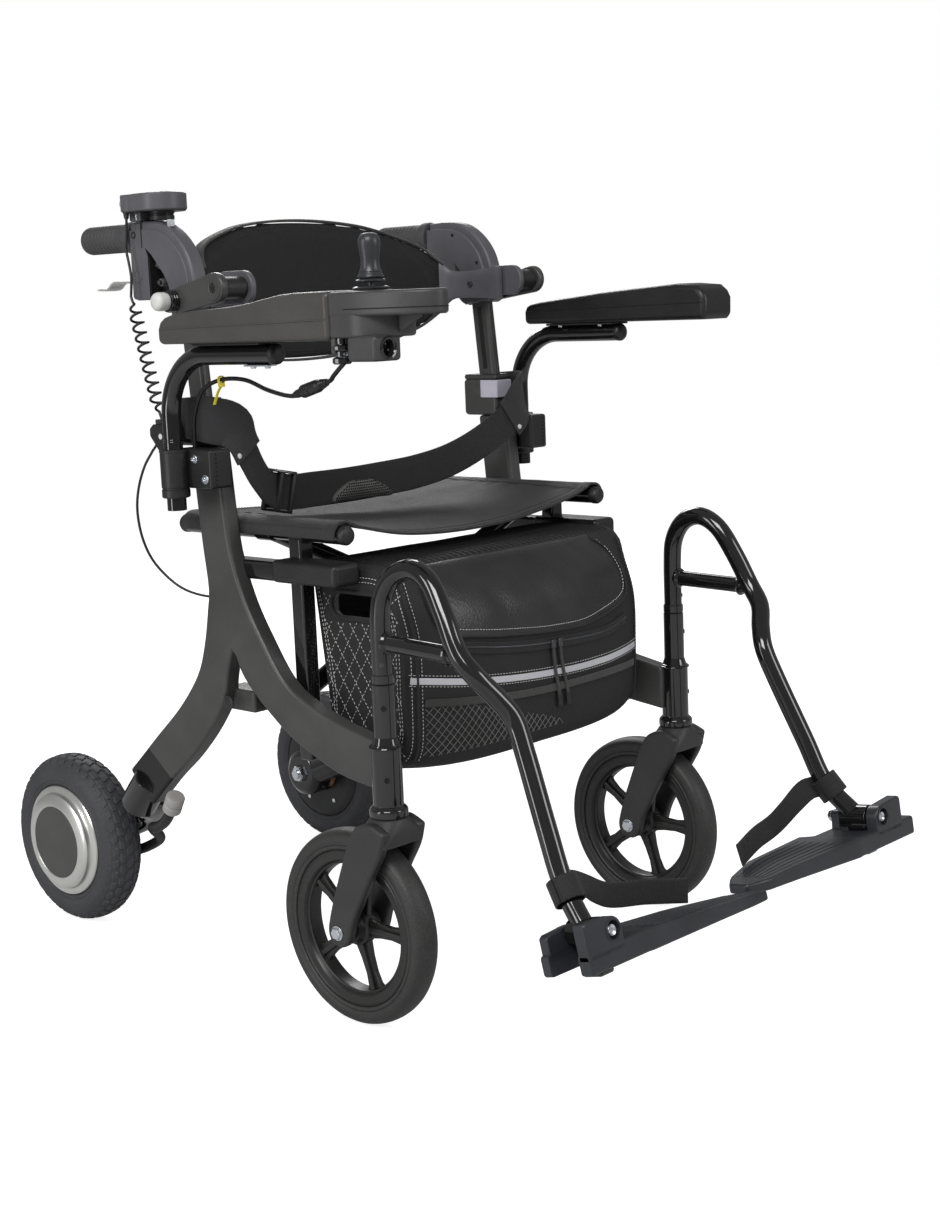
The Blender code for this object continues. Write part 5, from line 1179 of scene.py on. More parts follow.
def axle_arm(side):
    """Cast elbow from the leg to the motor's shaft, with its clamp band, bolts and dark vent."""
    s = SIDES[side]
    route = smooth_route([(s * 0.2215, 0.1120, 0.1740), (s * 0.2080, 0.1300, 0.1620),
                          (s * 0.1800, 0.1500, 0.1480),
                          (s * 0.1610, 0.1800, 0.1300), (s * 0.1570, 0.2300, 0.1080)], 0.008)
    things = [tube(route, 0.0175, "black gloss", 36)]
    things.append(rod((s * 0.2215, 0.0880, 0.1990), (s * 0.2195, 0.1210, 0.1640), 0.0205, "black gloss",
                      0.0030))
    boss = [(0.0086, 0.0155), (0.0250, 0.0155), (0.0280, 0.0148), (0.0305, 0.0128), (0.0310, 0.0100),
            (0.0304, -0.0080),
            (0.0290, -0.0110), (0.0240, -0.0145), (0.0225, -0.0150), (0.0086, -0.0150)]
    things.append(turned(boss, (s * 0.1620, REAR_Y, AXLE_Z), (s, 0, 0), "black gloss", 64))
    # The vents are dark discs of painted shade.
    for turn in (math.radians(150), math.radians(30)):
        out = Vector((0.0, math.cos(turn), math.sin(turn)))
        spot = Vector((s * 0.1640, REAR_Y, AXLE_Z)) + out * 0.0304
        things.append(turned([(0.0, 0.0006), (0.0036, 0.0006), (0.0046, 0.0010), (0.0052, 0.0002),
                              (0.0052, -0.0012),
                              (0.0, -0.0012)], spot, out, "hole black", 24))
    things.append(hexagon((s * 0.1480, REAR_Y, AXLE_Z), (s * 0.1400, REAR_Y, AXLE_Z), 0.0200, "zinc"))
    things.append(rod((s * 0.1400, REAR_Y, AXLE_Z), (s * 0.1370, REAR_Y, AXLE_Z), 0.0062, "zinc"))
    for spot in ((s * 0.1960, 0.1240, 0.1660), (s * 0.1820, 0.1320, 0.1610)):
        out = Vector((-s * 0.45, -0.55, 0.70))
        base = Vector(spot)
        things.append(rod(base, base + out.normalized() * 0.0050, 0.0048, "black gloss", 0.0010, 24))
        things.append(cap_screw(base + out.normalized() * 0.0046, out, 0.0040, "zinc"))
    piece(f"axle_elbow_{side}", things, f"side_{side}", [f"axle_arm_{side}"])


# footrests

HANGER_ROUTE = [(0.2320, -0.3000, 0.3530), (0.2320, -0.3000, 0.4080), (0.2312, -0.3040, 0.4370),
                (0.2298, -0.3190, 0.4580), (0.2280, -0.3430, 0.4655), (0.2290, -0.3660, 0.4540),
                (0.2320, -0.3850, 0.4260), (0.2345, -0.4030, 0.3925), (0.2290, -0.4200, 0.3710),
                (0.2140, -0.4310, 0.3500), (0.2035, -0.4420, 0.3290), (0.2050, -0.4560, 0.2980),
                (0.2130, -0.4860, 0.2330), (0.2180, -0.5080, 0.1870), (0.2275, -0.5400, 0.1540)]
HANGER_R = 0.0100


def tilted(side, things):
    """Tip the hinge pieces so that the plate's front edge is raised."""
    return [turn_x(thing, -FOOT_TILT[side], FOOT_HINGE[1], FOOT_HINGE[2]) for thing in things]


def along_plate(side, u):
    root = 0.0500
    return max(0.0, (u - root) / (FOOT_REACH[side] - root))


def hanger(side):
    """Glossy footrest tube with its cross bar, welds, plug-in collar and hinge end."""
    s = SIDES[side]
    line = smooth_route([(s * x, y, z) for x, y, z in HANGER_ROUTE], 0.006)
    things = [tube(line, HANGER_R, "black gloss", 32)]
    bar_rear, bar_front = Vector((s * 0.2320, -0.3000, 0.3930)), Vector((s * 0.2345, -0.4020, 0.3900))
    things.append(rod(bar_rear, bar_front, 0.0085, "black gloss"))
    for end, lead in ((bar_rear, bar_front - bar_rear), (bar_front, bar_rear - bar_front)):
        weld = [(0.0086, 0.0075), (0.0108, 0.0085), (0.0112, 0.0100), (0.0098, 0.0122), (0.0086, 0.0130)]
        things.append(turned(weld, end, lead, "black gloss", 32))
    stem = (s * STEM_X, STEM_Y, 0.0)
    collar = [(0.0, RECEIVER_TOP + GAP), (0.0106, RECEIVER_TOP + GAP), (0.0112, 0.3536), (0.0112, 0.3612),
              (0.0104, 0.3622), (0.0, 0.3622)]
    things.append(turned(collar, stem, (0, 0, 1), "black gloss", 48))
    out = Vector((s * 0.72, -0.694, 0.0))
    snap = Vector((s * STEM_X, STEM_Y, 0.3720)) + out * 0.0098
    things.append(turned([(0.0, 0.0014), (0.0018, 0.0010), (0.0026, 0.0), (0.0026, -0.001), (0.0, -0.001)],
                         snap, out,
                         "steel dark", 20))
    x, y, z = s * FOOT_HINGE[0], FOOT_HINGE[1], FOOT_HINGE[2]
    end = [rod((x, y - 0.0165, z), (x, y + 0.0165, z), 0.0125, "black gloss", 0.0012),
           block((x - 0.0100, y - 0.0150, z - 0.0400), (x + 0.0100, y + 0.0080, z + 0.0010), "black gloss",
                 0.0030),
           rod((x, y - 0.0290, z), (x, y + 0.0350, z), 0.0040, "zinc"),
           turned([(0.0, 0.0006), (0.0022, 0.0006), (0.0027, 0.0034), (0.0050, 0.0044), (0.0064, 0.0026),
                   (0.0066, 0.0),
                   (0.0, 0.0)], (x, y - 0.0257, z), (0, -1, 0), "zinc", 24),
           hexagon((x, y + 0.0290, z), (x, y + 0.0335, z), 0.0112, "zinc")]
    piece(f"footrest_tube_{side}", [*things, *tilted(side, end)], f"footrest_{side}",
          [f"hanger_{side}"])


def plate_surface(side, u):
    """Front, rear, underside and top of the plate at a distance inward from its hinge."""
    reach, front = FOOT_REACH[side], -0.0315
    knots = [(-FOOT_OUTER[side], front, 0.0290, -0.0315, -0.0120), (0.0450, front, 0.0290, -0.0320, -0.0120),
             (0.0500, front, 0.0450, -0.0325, -0.0125), (0.1450, front, 0.0350, -0.0350, -0.0195),
             (reach - 0.0230, front, 0.0150, -0.0370, -0.0250), (reach, front + 0.0080, -0.0020, -0.0370,
                                                                 -0.0270)]
    for one, two in zip(knots, knots[1:]):
        if u <= two[0] or two is knots[-1]:
            t = min(1.0, max(0.0, (u - one[0]) / (two[0] - one[0])))
            _, fore, aft, base, top = (a + (b - a) * t for a, b in zip(one, two))
            break
    share = along_plate(side, u)
    drift, rise = FOOT_TIP_DRIFT[side] * share, FOOT_TIP_RISE[side] * share
    return max(fore + drift, front), aft + drift, base + rise, top + rise


def footplate(side):
    """Wedge deck with an eased rim, raised grip ribs, hollow-looking ears and a recessed bolt."""
    s = SIDES[side]
    x, y, z = s * FOOT_HINGE[0], FOOT_HINGE[1], FOOT_HINGE[2]
    outer, reach = FOOT_OUTER[side], FOOT_REACH[side]
    rings = []
    stations = [-outer + 0.0012 * i for i in range(3)]
    inner = [0.046, 0.0475, 0.0500, 0.0515]
    stations += [-outer + 0.004, *[-outer + 0.010 + (outer + 0.034) * i / 6 for i in range(7)], *inner]
    stations += [0.056 + (reach - 0.0620) * i / 16 for i in range(17)]
    stations += [reach - 0.0040, reach - 0.0020, reach - 0.0008, reach]
    for u in stations:
        fore, aft, base, top = plate_surface(side, u)
        edge = min(u + outer, reach - u)
        pinch = 0.0024 * (1 - min(1.0, edge / 0.0024)) ** 2
        fore, aft, base, top = fore + pinch, aft - pinch, base + pinch, top - pinch
        r = 0.0026
        ring = []
        for cx, cz, start in ((fore + r, top - r, 180), (aft - r, top - r, 90), (aft - r, base + r, 0),
                              (fore + r, base + r, -90)):
            for k in range(4):
                a = math.radians(start - 30 * k)
                ring.append((x - s * u, y + cx + r * math.cos(a), z + cz + r * math.sin(a)))
        rings.append(ring)
    deck = loft(rings, "plate plastic", 45.0)
    front_ear = [(-0.0375, -0.0200), (-0.0375, 0.0110), (-0.0362, 0.0140), (-0.0330, 0.0152),
                 (-0.0020, 0.0128),
                 *ellipse((0.0, 0.0), (0.0125, 0.0125), 12, math.radians(80), 0.0), (0.0125, -0.0200)]
    rear_ear = [(-0.0340, -0.0200), (-0.0340, 0.0030), (-0.0300, 0.0055), (-0.0020, 0.0070),
                *ellipse((0.0, 0.0), (0.0070, 0.0070), 12, math.radians(80), 0.0), (0.0100, -0.0200)]
    ears = []
    for outline, low, high in ((front_ear, -0.0315, -0.0175), (rear_ear, 0.0180, 0.0285)):
        ears.append(slab([(x - s * u, z + h) for u, h in outline], "y", y + low, y + high, "plate plastic",
                         0.0018, 3))
    slot_x = sorted((x + s * 0.1000, x - s * 0.0170))
    slot = block((slot_x[0], y - 0.0175, z - 0.05), (slot_x[1], y + 0.0180, z + 0.05), "plate plastic")
    deck = cut(deck, slot)
    recess = [rod((x, y - 0.05, z), (x, y - 0.0250, z), 0.0088, "plate plastic", 0.0, 32),
              rod((x, y - 0.05, z), (x, y + 0.05, z), 0.0044, "plate plastic", 0.0, 24)]
    ears[0] = cut(ears[0], *recess)
    ears[1] = cut(ears[1], rod((x, y - 0.05, z), (x, y + 0.05, z), 0.0044, "plate plastic", 0.0, 24))
    rim = turned([(0.0088, -0.0004), (0.0100, -0.0004), (0.0102, 0.0006), (0.0095, 0.0012), (0.0088, 0.0006)],
                 (x, y - 0.0315, z), (0, -1, 0), "plate plastic", 40)
    ribs = []
    for i in range(7):
        share = (i + 0.5) / 7
        line = []
        for k in range(15):
            u = 0.066 + (reach - 0.092) * k / 14
            fore, aft, base, top = plate_surface(side, u)
            line.append((x - s * u, y + fore + 0.006 + (aft - fore - 0.012) * share, z + top + 0.0001))
        ribs.append(sweep(line, [(0.0012, -0.0003), (0.0007, 0.0007), (-0.0007, 0.0007), (-0.0012, -0.0003)],
                          "plate plastic", ways=[(0, 1, 0)] * 15, sharp=60.0))
    piece(f"footplate_deck_shell_{side}", tilted(side, [deck, *ears, rim, *ribs]), f"footplate_{side}",
          [f"footplate_{side}"])


def heel_strap(side):
    """Ribbed webbing: a loop round the tube, the strap to the plate, and its stitched-down end."""
    s = SIDES[side]
    line = smooth_route([(s * x, y, z) for x, y, z in HANGER_ROUTE], 0.0280)
    high, low = next((a, b) for a, b in zip(line, line[1:]) if b.z < STRAP_Z <= a.z)
    along = (high - low).normalized()
    centre = (low + high) / 2
    side_way = along.cross(Vector((0, 1, 0))).normalized()
    front_way = along.cross(side_way)
    loop = []
    for i in range(49):
        a = math.tau * i / 48
        r = HANGER_R + 0.0034 + 0.0013 * i / 48
        loop.append(centre + side_way * r * math.cos(a) + front_way * r * math.sin(a))
    things = [strap(loop, [along] * 49, 0.0240, 0.0020, "webbing")]
    knots = [centre + Vector((-s * 0.0085, 0.0112, 0.0)), centre + Vector((-s * 0.0300, 0.0130, -0.0020))]
    for x, y, drop in ((0.1450, -0.4970, 0.0030), (0.1000, -0.5060, -0.0050), (0.0560, -0.5200, -0.0130)):
        share = along_plate(side, FOOT_HINGE[0] - x)
        knots.append((s * x, y + FOOT_TIP_DRIFT[side] * share,
                      FOOT_HINGE[2] + drop + FOOT_TIP_RISE[side] * share))
    route = smooth_route(knots, 0.0045)
    count = len(route)
    ways = [along.lerp(Vector((0.0, 0.25, 1.0)), max(0.0, min(1.0, (4.5 * i / count * 4 - 2) / 3)))
            for i in range(count)]
    things.append(strap(route, ways, 0.0240, 0.0022, "webbing"))
    for offset in (0.10, 0.16):
        spot = route[int(count * (1 - offset))]
        way = Vector(ways[-1]).normalized()
        things.append(stitched([spot + way * t + Vector((0, -0.0015, 0)) for t in (-0.0095, 0.0095)],
                               "thread black",
                               0.0030, 0.0024, 0.0007))
    piece(f"heel_strap_webbing_{side}", things, None, [f"heel_strap_{side}"], even=False)
    webbing = bpy.data.objects[f"heel_strap_webbing_{side}"]
    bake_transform(webbing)


# soft goods

PUFF_FRAMES = 20


def puffed(thing, cell=0.0045, pressure=4.0, most=0.0022):
    """Round out a closed padded form with a short run of cloth under inner pressure.

    Each point's movement is capped at most.
    """
    look = thing.data.materials[0]
    even = thing.modifiers.new("even faces", "REMESH")
    even.mode = "VOXEL"
    even.voxel_size = cell
    base = plain(thing)
    rest = [v.co.copy() for v in base.data.vertices]
    cloth = base.modifiers.new("cloth", "CLOTH")
    cloth.settings.quality = 6
    cloth.settings.mass = 0.4
    cloth.settings.use_pressure = True
    cloth.settings.uniform_pressure_force = pressure
    cloth.settings.effector_weights.gravity = 0.0
    cloth.point_cache.frame_start = 1
    cloth.point_cache.frame_end = PUFF_FRAMES
    for moment in range(1, PUFF_FRAMES + 1):
        bpy.context.scene.frame_set(moment)
    base = plain(base)
    for vertex, old in zip(base.data.vertices, rest):
        move = vertex.co - old
        if move.length > most:
            vertex.co = old + move * (most / move.length)
    finer = base.modifiers.new("finer", "SUBSURF")
    finer.levels = finer.render_levels = 1
    base = plain(base)
    bpy.context.scene.frame_set(1)
    base.data.materials.clear()
    base.data.materials.append(look)
    return base


def mapped(thing, place):
    """Give the mesh a UV map in metres from a function of each point."""
    layer = thing.data.uv_layers.get("UVMap") or thing.data.uv_layers.new(name="UVMap")
    for corner in thing.data.loops:
        layer.data[corner.index].uv = place(thing.data.vertices[corner.vertex_index].co)
    return thing


def skin_of(thing):
    """A tree of the thing's faces, to lay seams and trim on it."""
    shape = bmesh.new()
    shape.from_mesh(thing.data)
    tree = BVHTree.FromBMesh(shape)
    shape.free()
    return tree


def laid(tree, points, heading, lift):
    """Points carried along a heading onto a skin, and lifted off it along its normal."""
    found = []
    heading = Vector(heading).normalized()
    for point in points:
        spot, normal, _, _ = tree.ray_cast(Vector(point) - heading * 0.15, heading, 0.6)
        if spot is not None:
            found.append(spot + (normal if normal.dot(heading) < 0 else -normal) * lift)
    return found


def between(one, two, step=0.004):
    """Even points from one point to another, both ends included."""
    one, two = Vector(one), Vector(two)
    count = max(2, round((two - one).length / step))
    return [one.lerp(two, i / count) for i in range(count + 1)]


def path_length(points):
    return sum((Vector(b) - Vector(a)).length for a, b in zip(points, points[1:]))


def seat_point(across, t, lift=0.0):
    """A point of the sling at across from -1 to 1 and t from 0 at the front to 1 at the rear."""
    front, rear = -0.218, 0.0190
    sag = 0.021 * (1 - t) ** 1.6 + 0.009
    reach = abs(across) * SLING_REACH
    if reach <= RAIL_X:
        x = reach
        z = RAIL_Z + SLING_WRAP - sag * max(0.0, 1 - (x / (RAIL_X - 0.006)) ** 2) ** 0.8 + lift
    else:
        a = math.radians(90) - (reach - RAIL_X) / SLING_WRAP
        x = RAIL_X + math.cos(a) * (SLING_WRAP + lift)
        z = RAIL_Z + math.sin(a) * (SLING_WRAP + lift)
    y = front + (rear - front) * t + 0.010 * (1 - t) ** 3 * (1 - min(1.0, (x / RAIL_X) ** 2))
    pull = max(0.0, 1 - abs(reach / RAIL_X - 0.90) * 8) * math.sin(math.tau * (t * 9 + 0.3 * math.sin(9 * t)))
    soft = noise.noise(Vector((x * 14 * math.copysign(1, across), y * 20,
                               2.0))) * (1 - (reach / SLING_REACH) ** 4)
    return Vector((math.copysign(x, across), y, z + 0.0007 * pull + 0.0012 * soft))


def sling_part(start, end, columns):
    """A stretch of the sling between two places across the seat, with its doubled hems."""
    rings = []
    for i in range(65):
        t = i / 64
        hem = 0.0006 if t < 0.07 or t > 0.94 else 0.0
        places = [start + (end - start) * k / columns for k in range(columns + 1)]
        outer = [seat_point(place, t, hem) for place in places]
        inner = [seat_point(place, t, -0.0018) for place in places]
        rings.append(outer + inner[::-1])
    return loft(rings, "seat cloth", 60.0)


def seat_fabric():
    """The sling between the rails, its wraps over each rail, and the rows of stitches along its hems."""
    edge = SLING_EDGE / SLING_REACH
    cloth = piece("seat_sling", [sling_part(-edge, edge, 88)], "seat_r", ["seat_fabric"],
                  even=False)
    for side, sign in SIDES.items():
        rows = [stitched([seat_point(sign * 0.95, 0.02 + 0.96 * k / 80, 0.0006) for k in range(81)],
                         "thread black",
                         0.0040, 0.0030, 0.0008)]
        stretch = sling_part(*sorted((sign * edge, sign)), 12)
        piece(f"seat_sling_wrap_{side}", [stretch, *rows], f"seat_{side}",
                           even=False)
    seams = []
    for t in (0.018, 0.060, 0.955, 0.985):
        seams.append(stitched([seat_point((-1 + k / 60) * (edge - 0.01), t, 0.0011) for k in range(121)],
                              "thread black",
                              0.0040, 0.0030, 0.0008))
    for across in (-0.80, -0.81, 0.80, 0.81):
        seams.append(stitched([seat_point(across, 0.02 + 0.96 * k / 80, 0.0006) for k in range(81)],
                              "thread black",
                              0.0040, 0.0030, 0.0008))
    thread = piece("seat_stitches", seams, "seat_r", even=False)
    for soft in (cloth, thread):
        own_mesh(soft)


# handles and backrest

ARC = [(0.0460, 0.8060), (0.0200, 0.8064), (-0.0050, 0.8034), (-0.0270, 0.7915), (-0.0445, 0.7725),
       (-0.0535, 0.7500), (-0.0565, 0.7220)]
UNDERSIDE = [(-0.0580, 0.7130), (-0.0500, 0.7090), (-0.0400, 0.7096), (-0.0310, 0.7072), (-0.0230, 0.7080),
             (-0.0150, 0.7060), (-0.0095, 0.7090), (-0.0050, 0.7130), (0.0000, 0.7188), (0.0050, 0.7230),
             (0.0130, 0.7255), (0.0440, 0.7255), (0.0460, 0.7280)]


def handle(side):
    """Two-step cast arc with its pocket, slot and screws, on the flat-oval post."""
    s = SIDES[side]
    x0, x1 = mirrored_range(side, FRAME_X - 0.0067, FRAME_X + 0.0067)
    post = block((x0, POST_TOP_Y - 0.0130, 0.5200), (x1, POST_TOP_Y + 0.0130, 0.7180), "frame paint", 0.0045,
                 4)
    things = [turn_x(post, -TILT, POST_TOP_Y, POST_TOP_Z)]
    # A thin near-black strip of painted shade stands for the slot on the post.
    strip_x = mirrored_range(side, FRAME_X - 0.0070, FRAME_X - 0.0066)
    strip = block((strip_x[0], POST_TOP_Y - 0.0030, 0.6300), (strip_x[1], POST_TOP_Y + 0.0030, 0.7040),
                  "hole black")
    things.append(turn_x(strip, -TILT, POST_TOP_Y, POST_TOP_Z))
    arc = [(p.x, p.y) for p in smooth_route([(*q, 0.0) for q in ARC], 0.0045)]
    inner = []
    for i, (y, z) in enumerate(arc):
        before, after = arc[max(i - 1, 0)], arc[min(i + 1, len(arc) - 1)]
        dy, dz = after[0] - before[0], after[1] - before[1]
        length = math.hypot(dy, dz)
        inset = 0.0080
        inner.append((y - dz / length * inset, z + dy / length * inset))
    rim_x = mirrored_range(side, 0.2160, 0.2342)
    rim = slab([*arc, *UNDERSIDE], "x", *rim_x, "slate plastic", 0.0062, 5)
    core_x = mirrored_range(side, 0.2105, 0.2355)
    underside = [(y, z + 0.0012) for y, z in UNDERSIDE[1:]]
    core = slab([*inner, (-0.0525, 0.7140), *underside], "x", *core_x, "slate plastic", 0.0014, 3)
    pocket = [(0.0200, 0.7790), (0.0165, 0.7700), (0.0165, 0.7100), (0.0100, 0.7060), (-0.0170, 0.7060),
              (-0.0165, 0.7330), (-0.0135, 0.7420), (-0.0070, 0.7515), (0.0015, 0.7615), (0.0100, 0.7710)]
    window = [(0.0010, 0.7570), (-0.0040, 0.7350), (-0.0135, 0.7350), (-0.0115, 0.7425), (-0.0060, 0.7500)]
    slot_x = mirrored_range(side, FRAME_X - 0.0052, FRAME_X + 0.0052)
    shells = []
    for shell, floor_at, wider in ((rim, 0.2183, 0.0), (core, 0.2178, 0.0004)):
        pocket_x = mirrored_range(side, floor_at, 0.2400)
        hole = slab([(y + math.copysign(wider, y), z + math.copysign(wider, z - 0.745)) for y, z in pocket],
                    "x",
                    *pocket_x, "black plastic")
        through = slab([(y, z + wider) for y, z in window], "x", *mirrored_range(side, 0.2050, 0.2300),
                       "slate plastic")
        # The slot's cut walls take the near-black of painted shade.
        slot = block((slot_x[0] - wider, 0.0270 - wider, 0.7200), (slot_x[1] + wider, 0.0600, 0.7620),
                     "hole black")
        shells.append(cut(shell, hole, through, slot))
    things += shells
    floor_x, face = s * 0.2183, s * 0.2355
    for y, z in ((0.0070, 0.7610), (0.0060, 0.7430)):
        things.append(hexagon((floor_x, y, z), (floor_x + s * 0.0105, y, z), 0.0084, "slate plastic"))
        things.append(rod((floor_x, y, z), (floor_x + s * 0.0140, y, z), 0.0024, "steel dark", 0.0005, 20))
    # Flat dark discs of painted shade stand for screw holes.
    for y, z in ((0.0020, 0.7900), (-0.0360, 0.7560)):
        things.append(rod((s * 0.2105, y, z), (s * 0.2102, y, z), 0.0022, "hole black", 0.0001, 20))
    for y, z, radius in ((0.0385, 0.7930, 0.0032), ):
        recess = [(0.0, -0.0008), (radius * 0.6, -0.0008), (radius * 0.64, 0.0002), (radius * 1.2, 0.0004),
                  (radius * 1.25, -0.0004), (0.0, -0.0009)]
        things.append(turned(recess, (face, y, z), (s, 0, 0), "black plastic", 28))
    ring = [(0.0, 0.0002), (0.0052, 0.0002), (0.0058, 0.0010), (0.0070, 0.0010), (0.0074, 0.0),
            (0.0, -0.0004)]
    things.append(turned(ring, (face, 0.0352, 0.7510), (s, 0, 0), "slate plastic", 40))
    # A near-black strip of painted shade stands for the groove.
    groove_x = sorted((face - s * 0.0006, face + s * 0.0002))
    things.append(block((groove_x[0], 0.0246, 0.7790), (groove_x[1], 0.0262, 0.8050), "hole black"))
    if side == "r":
        things.append(hexagon((s * 0.2270, -0.0140, 0.7990), (s * 0.2270, -0.0140, 0.8062), 0.0078, "zinc"))
    things.append(rod((s * 0.2140, 0.0360, 0.7420), (s * 0.2300, 0.0360, 0.7420), 0.0022, "zinc", 0.0004, 24))
    things.append(rod((s * FRAME_X, 0.0400, GRIP_Z), (s * FRAME_X, 0.1200, GRIP_Z), 0.0095, "black plastic"))
    piece(f"handle_head_{side}", things, f"handle_{side}", [f"handle_{side}"])

    grip = [(0.0, 0.0880), (0.0090, 0.0880), (0.0125, 0.0866), (0.0142, 0.0842), (0.0148, 0.0812)]
    for i in range(9):
        h = 0.0770 - 0.0062 * i
        grip += [(0.0148, h + 0.0008), (0.0139, h), (0.0139, h - 0.0012), (0.0148, h - 0.0020)]
    grip += [(0.0147, 0.0170), (0.0152, 0.0140), (0.0164, 0.0120), (0.0168, 0.0100), (0.0168, 0.0018),
             (0.0160, 0.0002),
             (0.0099, 0.0), (0.0099, 0.0745), (0.0, 0.0745)]
    piece(f"grip_sleeve_{side}", [turned(grip, (s * FRAME_X, 0.0463, GRIP_Z), (0, 1, 0), "grip rubber", 56)],
          f"handle_{side}", [f"grip_{side}"])

    root_x = mirrored_range(side, FRAME_X - 0.0048, FRAME_X + 0.0048)
    root = slab([(0.0300, 0.7380), (0.0300, 0.7460), (0.0420, 0.7470), (0.0640, 0.7470), (0.0640, 0.7440),
                 (0.0470, 0.7440), (0.0420, 0.7380)], "x", *root_x, "lever alloy", 0.0007, 2)
    line = smooth_route([(0, 0.0530, 0.7455), (0, 0.0700, 0.7455), (0, 0.0850, 0.7452), (0, 0.0955, 0.7390),
                         (0, 0.1050, 0.7385), (0, 0.1192, 0.7386)], 0.0020)
    route = [(s * FRAME_X, p.y, p.z) for p in line]
    swell = [min(1.0, 0.55 + 0.45 * min(1.0, i / 6),
                 0.30 + 0.70 * math.sqrt(min(1.0, (len(route) - 0.6 - i) / 5)))
             for i in range(len(route))]
    section = [(u, v * (1.0 - 0.35 * (abs(u) / 0.0100) ** 2)) for u, v in flat_section(0.0200, 0.0030, 8)]
    blade = sweep(route, section, "lever alloy", ways=[(1, 0, 0)] * len(route), scales=swell, sharp=50.0)
    hole = rod((s * 0.2100, 0.0360, 0.7420), (s * 0.2400, 0.0360, 0.7420), 0.0027, "lever alloy", 0.0, 24)
    piece(f"brake_lever_blade_{side}", [cut(root, hole), blade], f"brake_{side}",
          [f"brake_lever_{side}"])


def backrest_arm(side):
    """Link arm with its knob, and the plate that clips the band to it."""
    s = SIDES[side]
    arm_x = mirrored_range(side, 0.2362, 0.2455)
    arm = slab(stadium(ARM_PIVOT, BACK_PIVOT, 0.0125, 20, 0.0155), "x", *arm_x, "frame paint", 0.0026, 4)
    eye = rod((s * 0.2300, *BACK_PIVOT), (s * 0.2600, *BACK_PIVOT), 0.0048, "frame paint", 0.0, 32)
    things = [cut(arm, eye)]
    things.append(rod((s * 0.2400, *ARM_PIVOT), (s * 0.2548, *ARM_PIVOT), 0.0110, "black gloss", 0.0012, 48))
    for h in (0.2485, 0.2515):
        ring = [Vector((s * h, ARM_PIVOT[0] + 0.0110 * math.cos(a), ARM_PIVOT[1] + 0.0110 * math.sin(a)))
                for a in (math.tau * i / 36 for i in range(36))]
        things.append(sweep(ring, circle(0.0005, 6), "black gloss", loop=True))
    things.append(rod((s * 0.2270, *ARM_PIVOT), (s * 0.2450, *ARM_PIVOT), 0.0036, "zinc", 0.0004, 24))
    if side == "r":
        knob = [(0.0, 0.0155), (0.0046, 0.0154), (0.0074, 0.0144), (0.0090, 0.0124), (0.0095, 0.0098),
                (0.0095, 0.0036),
                (0.0090, 0.0030), (0.0090, 0.0022), (0.0086, 0.0006), (0.0078, 0.0), (0.0, 0.0)]
        things.append(turned(knob, (s * 0.2548, *ARM_PIVOT), (s, 0, 0), "knob white", 48))
    else:
        knob = [(0.0, 0.0120), (0.0030, 0.0120), (0.0034, 0.0150), (0.0078, 0.0150), (0.0092, 0.0138),
                (0.0095, 0.0110),
                (0.0095, 0.0010), (0.0086, 0.0), (0.0, 0.0)]
        things.append(turned(knob, (s * 0.2548, *ARM_PIVOT), (s, 0, 0), "black plastic", 48))
    outer = s * 0.2455
    boss = [(0.0048, -0.0012), (0.0120, -0.0010), (0.0126, -0.0002), (0.0122, 0.0007), (0.0112, 0.0009),
            (0.0062, 0.0009), (0.0050, 0.0004)]
    things.append(turned(boss, (outer, *BACK_PIVOT), (s, 0, 0), "frame paint", 48))
    piece(f"backrest_arm_link_{side}", things, f"handle_{side}", [f"backrest_arm_{side}"])

    plate_x = mirrored_range(side, 0.2010, 0.2080)
    y, z = BACK_PIVOT
    outline = []
    for corner, back, high, turn in ((0.0045, 1, 1, 0), (0.0150, 0, 1, 90), (0.0150, 0, 0, 180),
                                     (0.0045, 1, 0, 270)):
        cy = y + 0.0330 - corner if back else y - 0.0160 + corner
        cz = z + 0.0170 - corner if high else z - 0.0170 + corner
        outline += ellipse((cy, cz), (corner, corner), 6, math.radians(turn), math.radians(turn + 90))
    things = [slab(outline, "x", *plate_x, "slate plastic", 0.0016, 3)]
    collar = [(0.0, 0.0), (0.0096, 0.0), (0.0110, 0.0012), (0.0110, 0.0278), (0.0100, 0.0290),
              (0.0052, 0.0290),
              (0.0044, 0.0280), (0.0, 0.0280)]
    things.append(turned(collar, (s * 0.2066, *BACK_PIVOT), (s, 0, 0), "black plastic", 48))
    socket = [(0.0, 0.0378), (0.0024, 0.0378), (0.0026, 0.0396), (0.0040, 0.0397), (0.0044, 0.0390),
              (0.0044, 0.0), (0.0, 0.0)]
    things.append(turned(socket, (s * 0.2058, *BACK_PIVOT), (s, 0, 0), "frame paint", 6 * 5))
    # A near-black star of painted shade stands for the socket in the pivot's eye.
    star = [(BACK_PIVOT[0] + r * math.cos(a), BACK_PIVOT[1] + r * math.sin(a))
            for r, a in ((0.0042 if i % 2 else 0.0026, math.tau * i / 12) for i in range(12))]
    things.append(slab(star, "x", *mirrored_range(side, 0.2450, 0.24575), "hole black"))
    for dy in (0.0110, 0.0240):
        things.append(cap_screw((s * 0.2080, y + dy, z - 0.0095), (s, 0, 0), 0.0030))
    far = "" if side == "r" else "_far_end"
    piece(f"backrest_clip_plate_{side}", things, f"backrest{far}", [f"backrest_clip_{side}"])


BAND_SIDE = [(0.1990, -0.0868, 0.0200), (0.1975, -0.0450, 0.0165), (0.1930, -0.0160, 0.0175),
             (0.1880, -0.0020, 0.0290), (0.1760, 0.0180, 0.0450), (0.1500, 0.0340, 0.0570),
             (0.1000, 0.0470, 0.0715), (0.0500, 0.0540, 0.0780)]
BAND_Z = 0.731


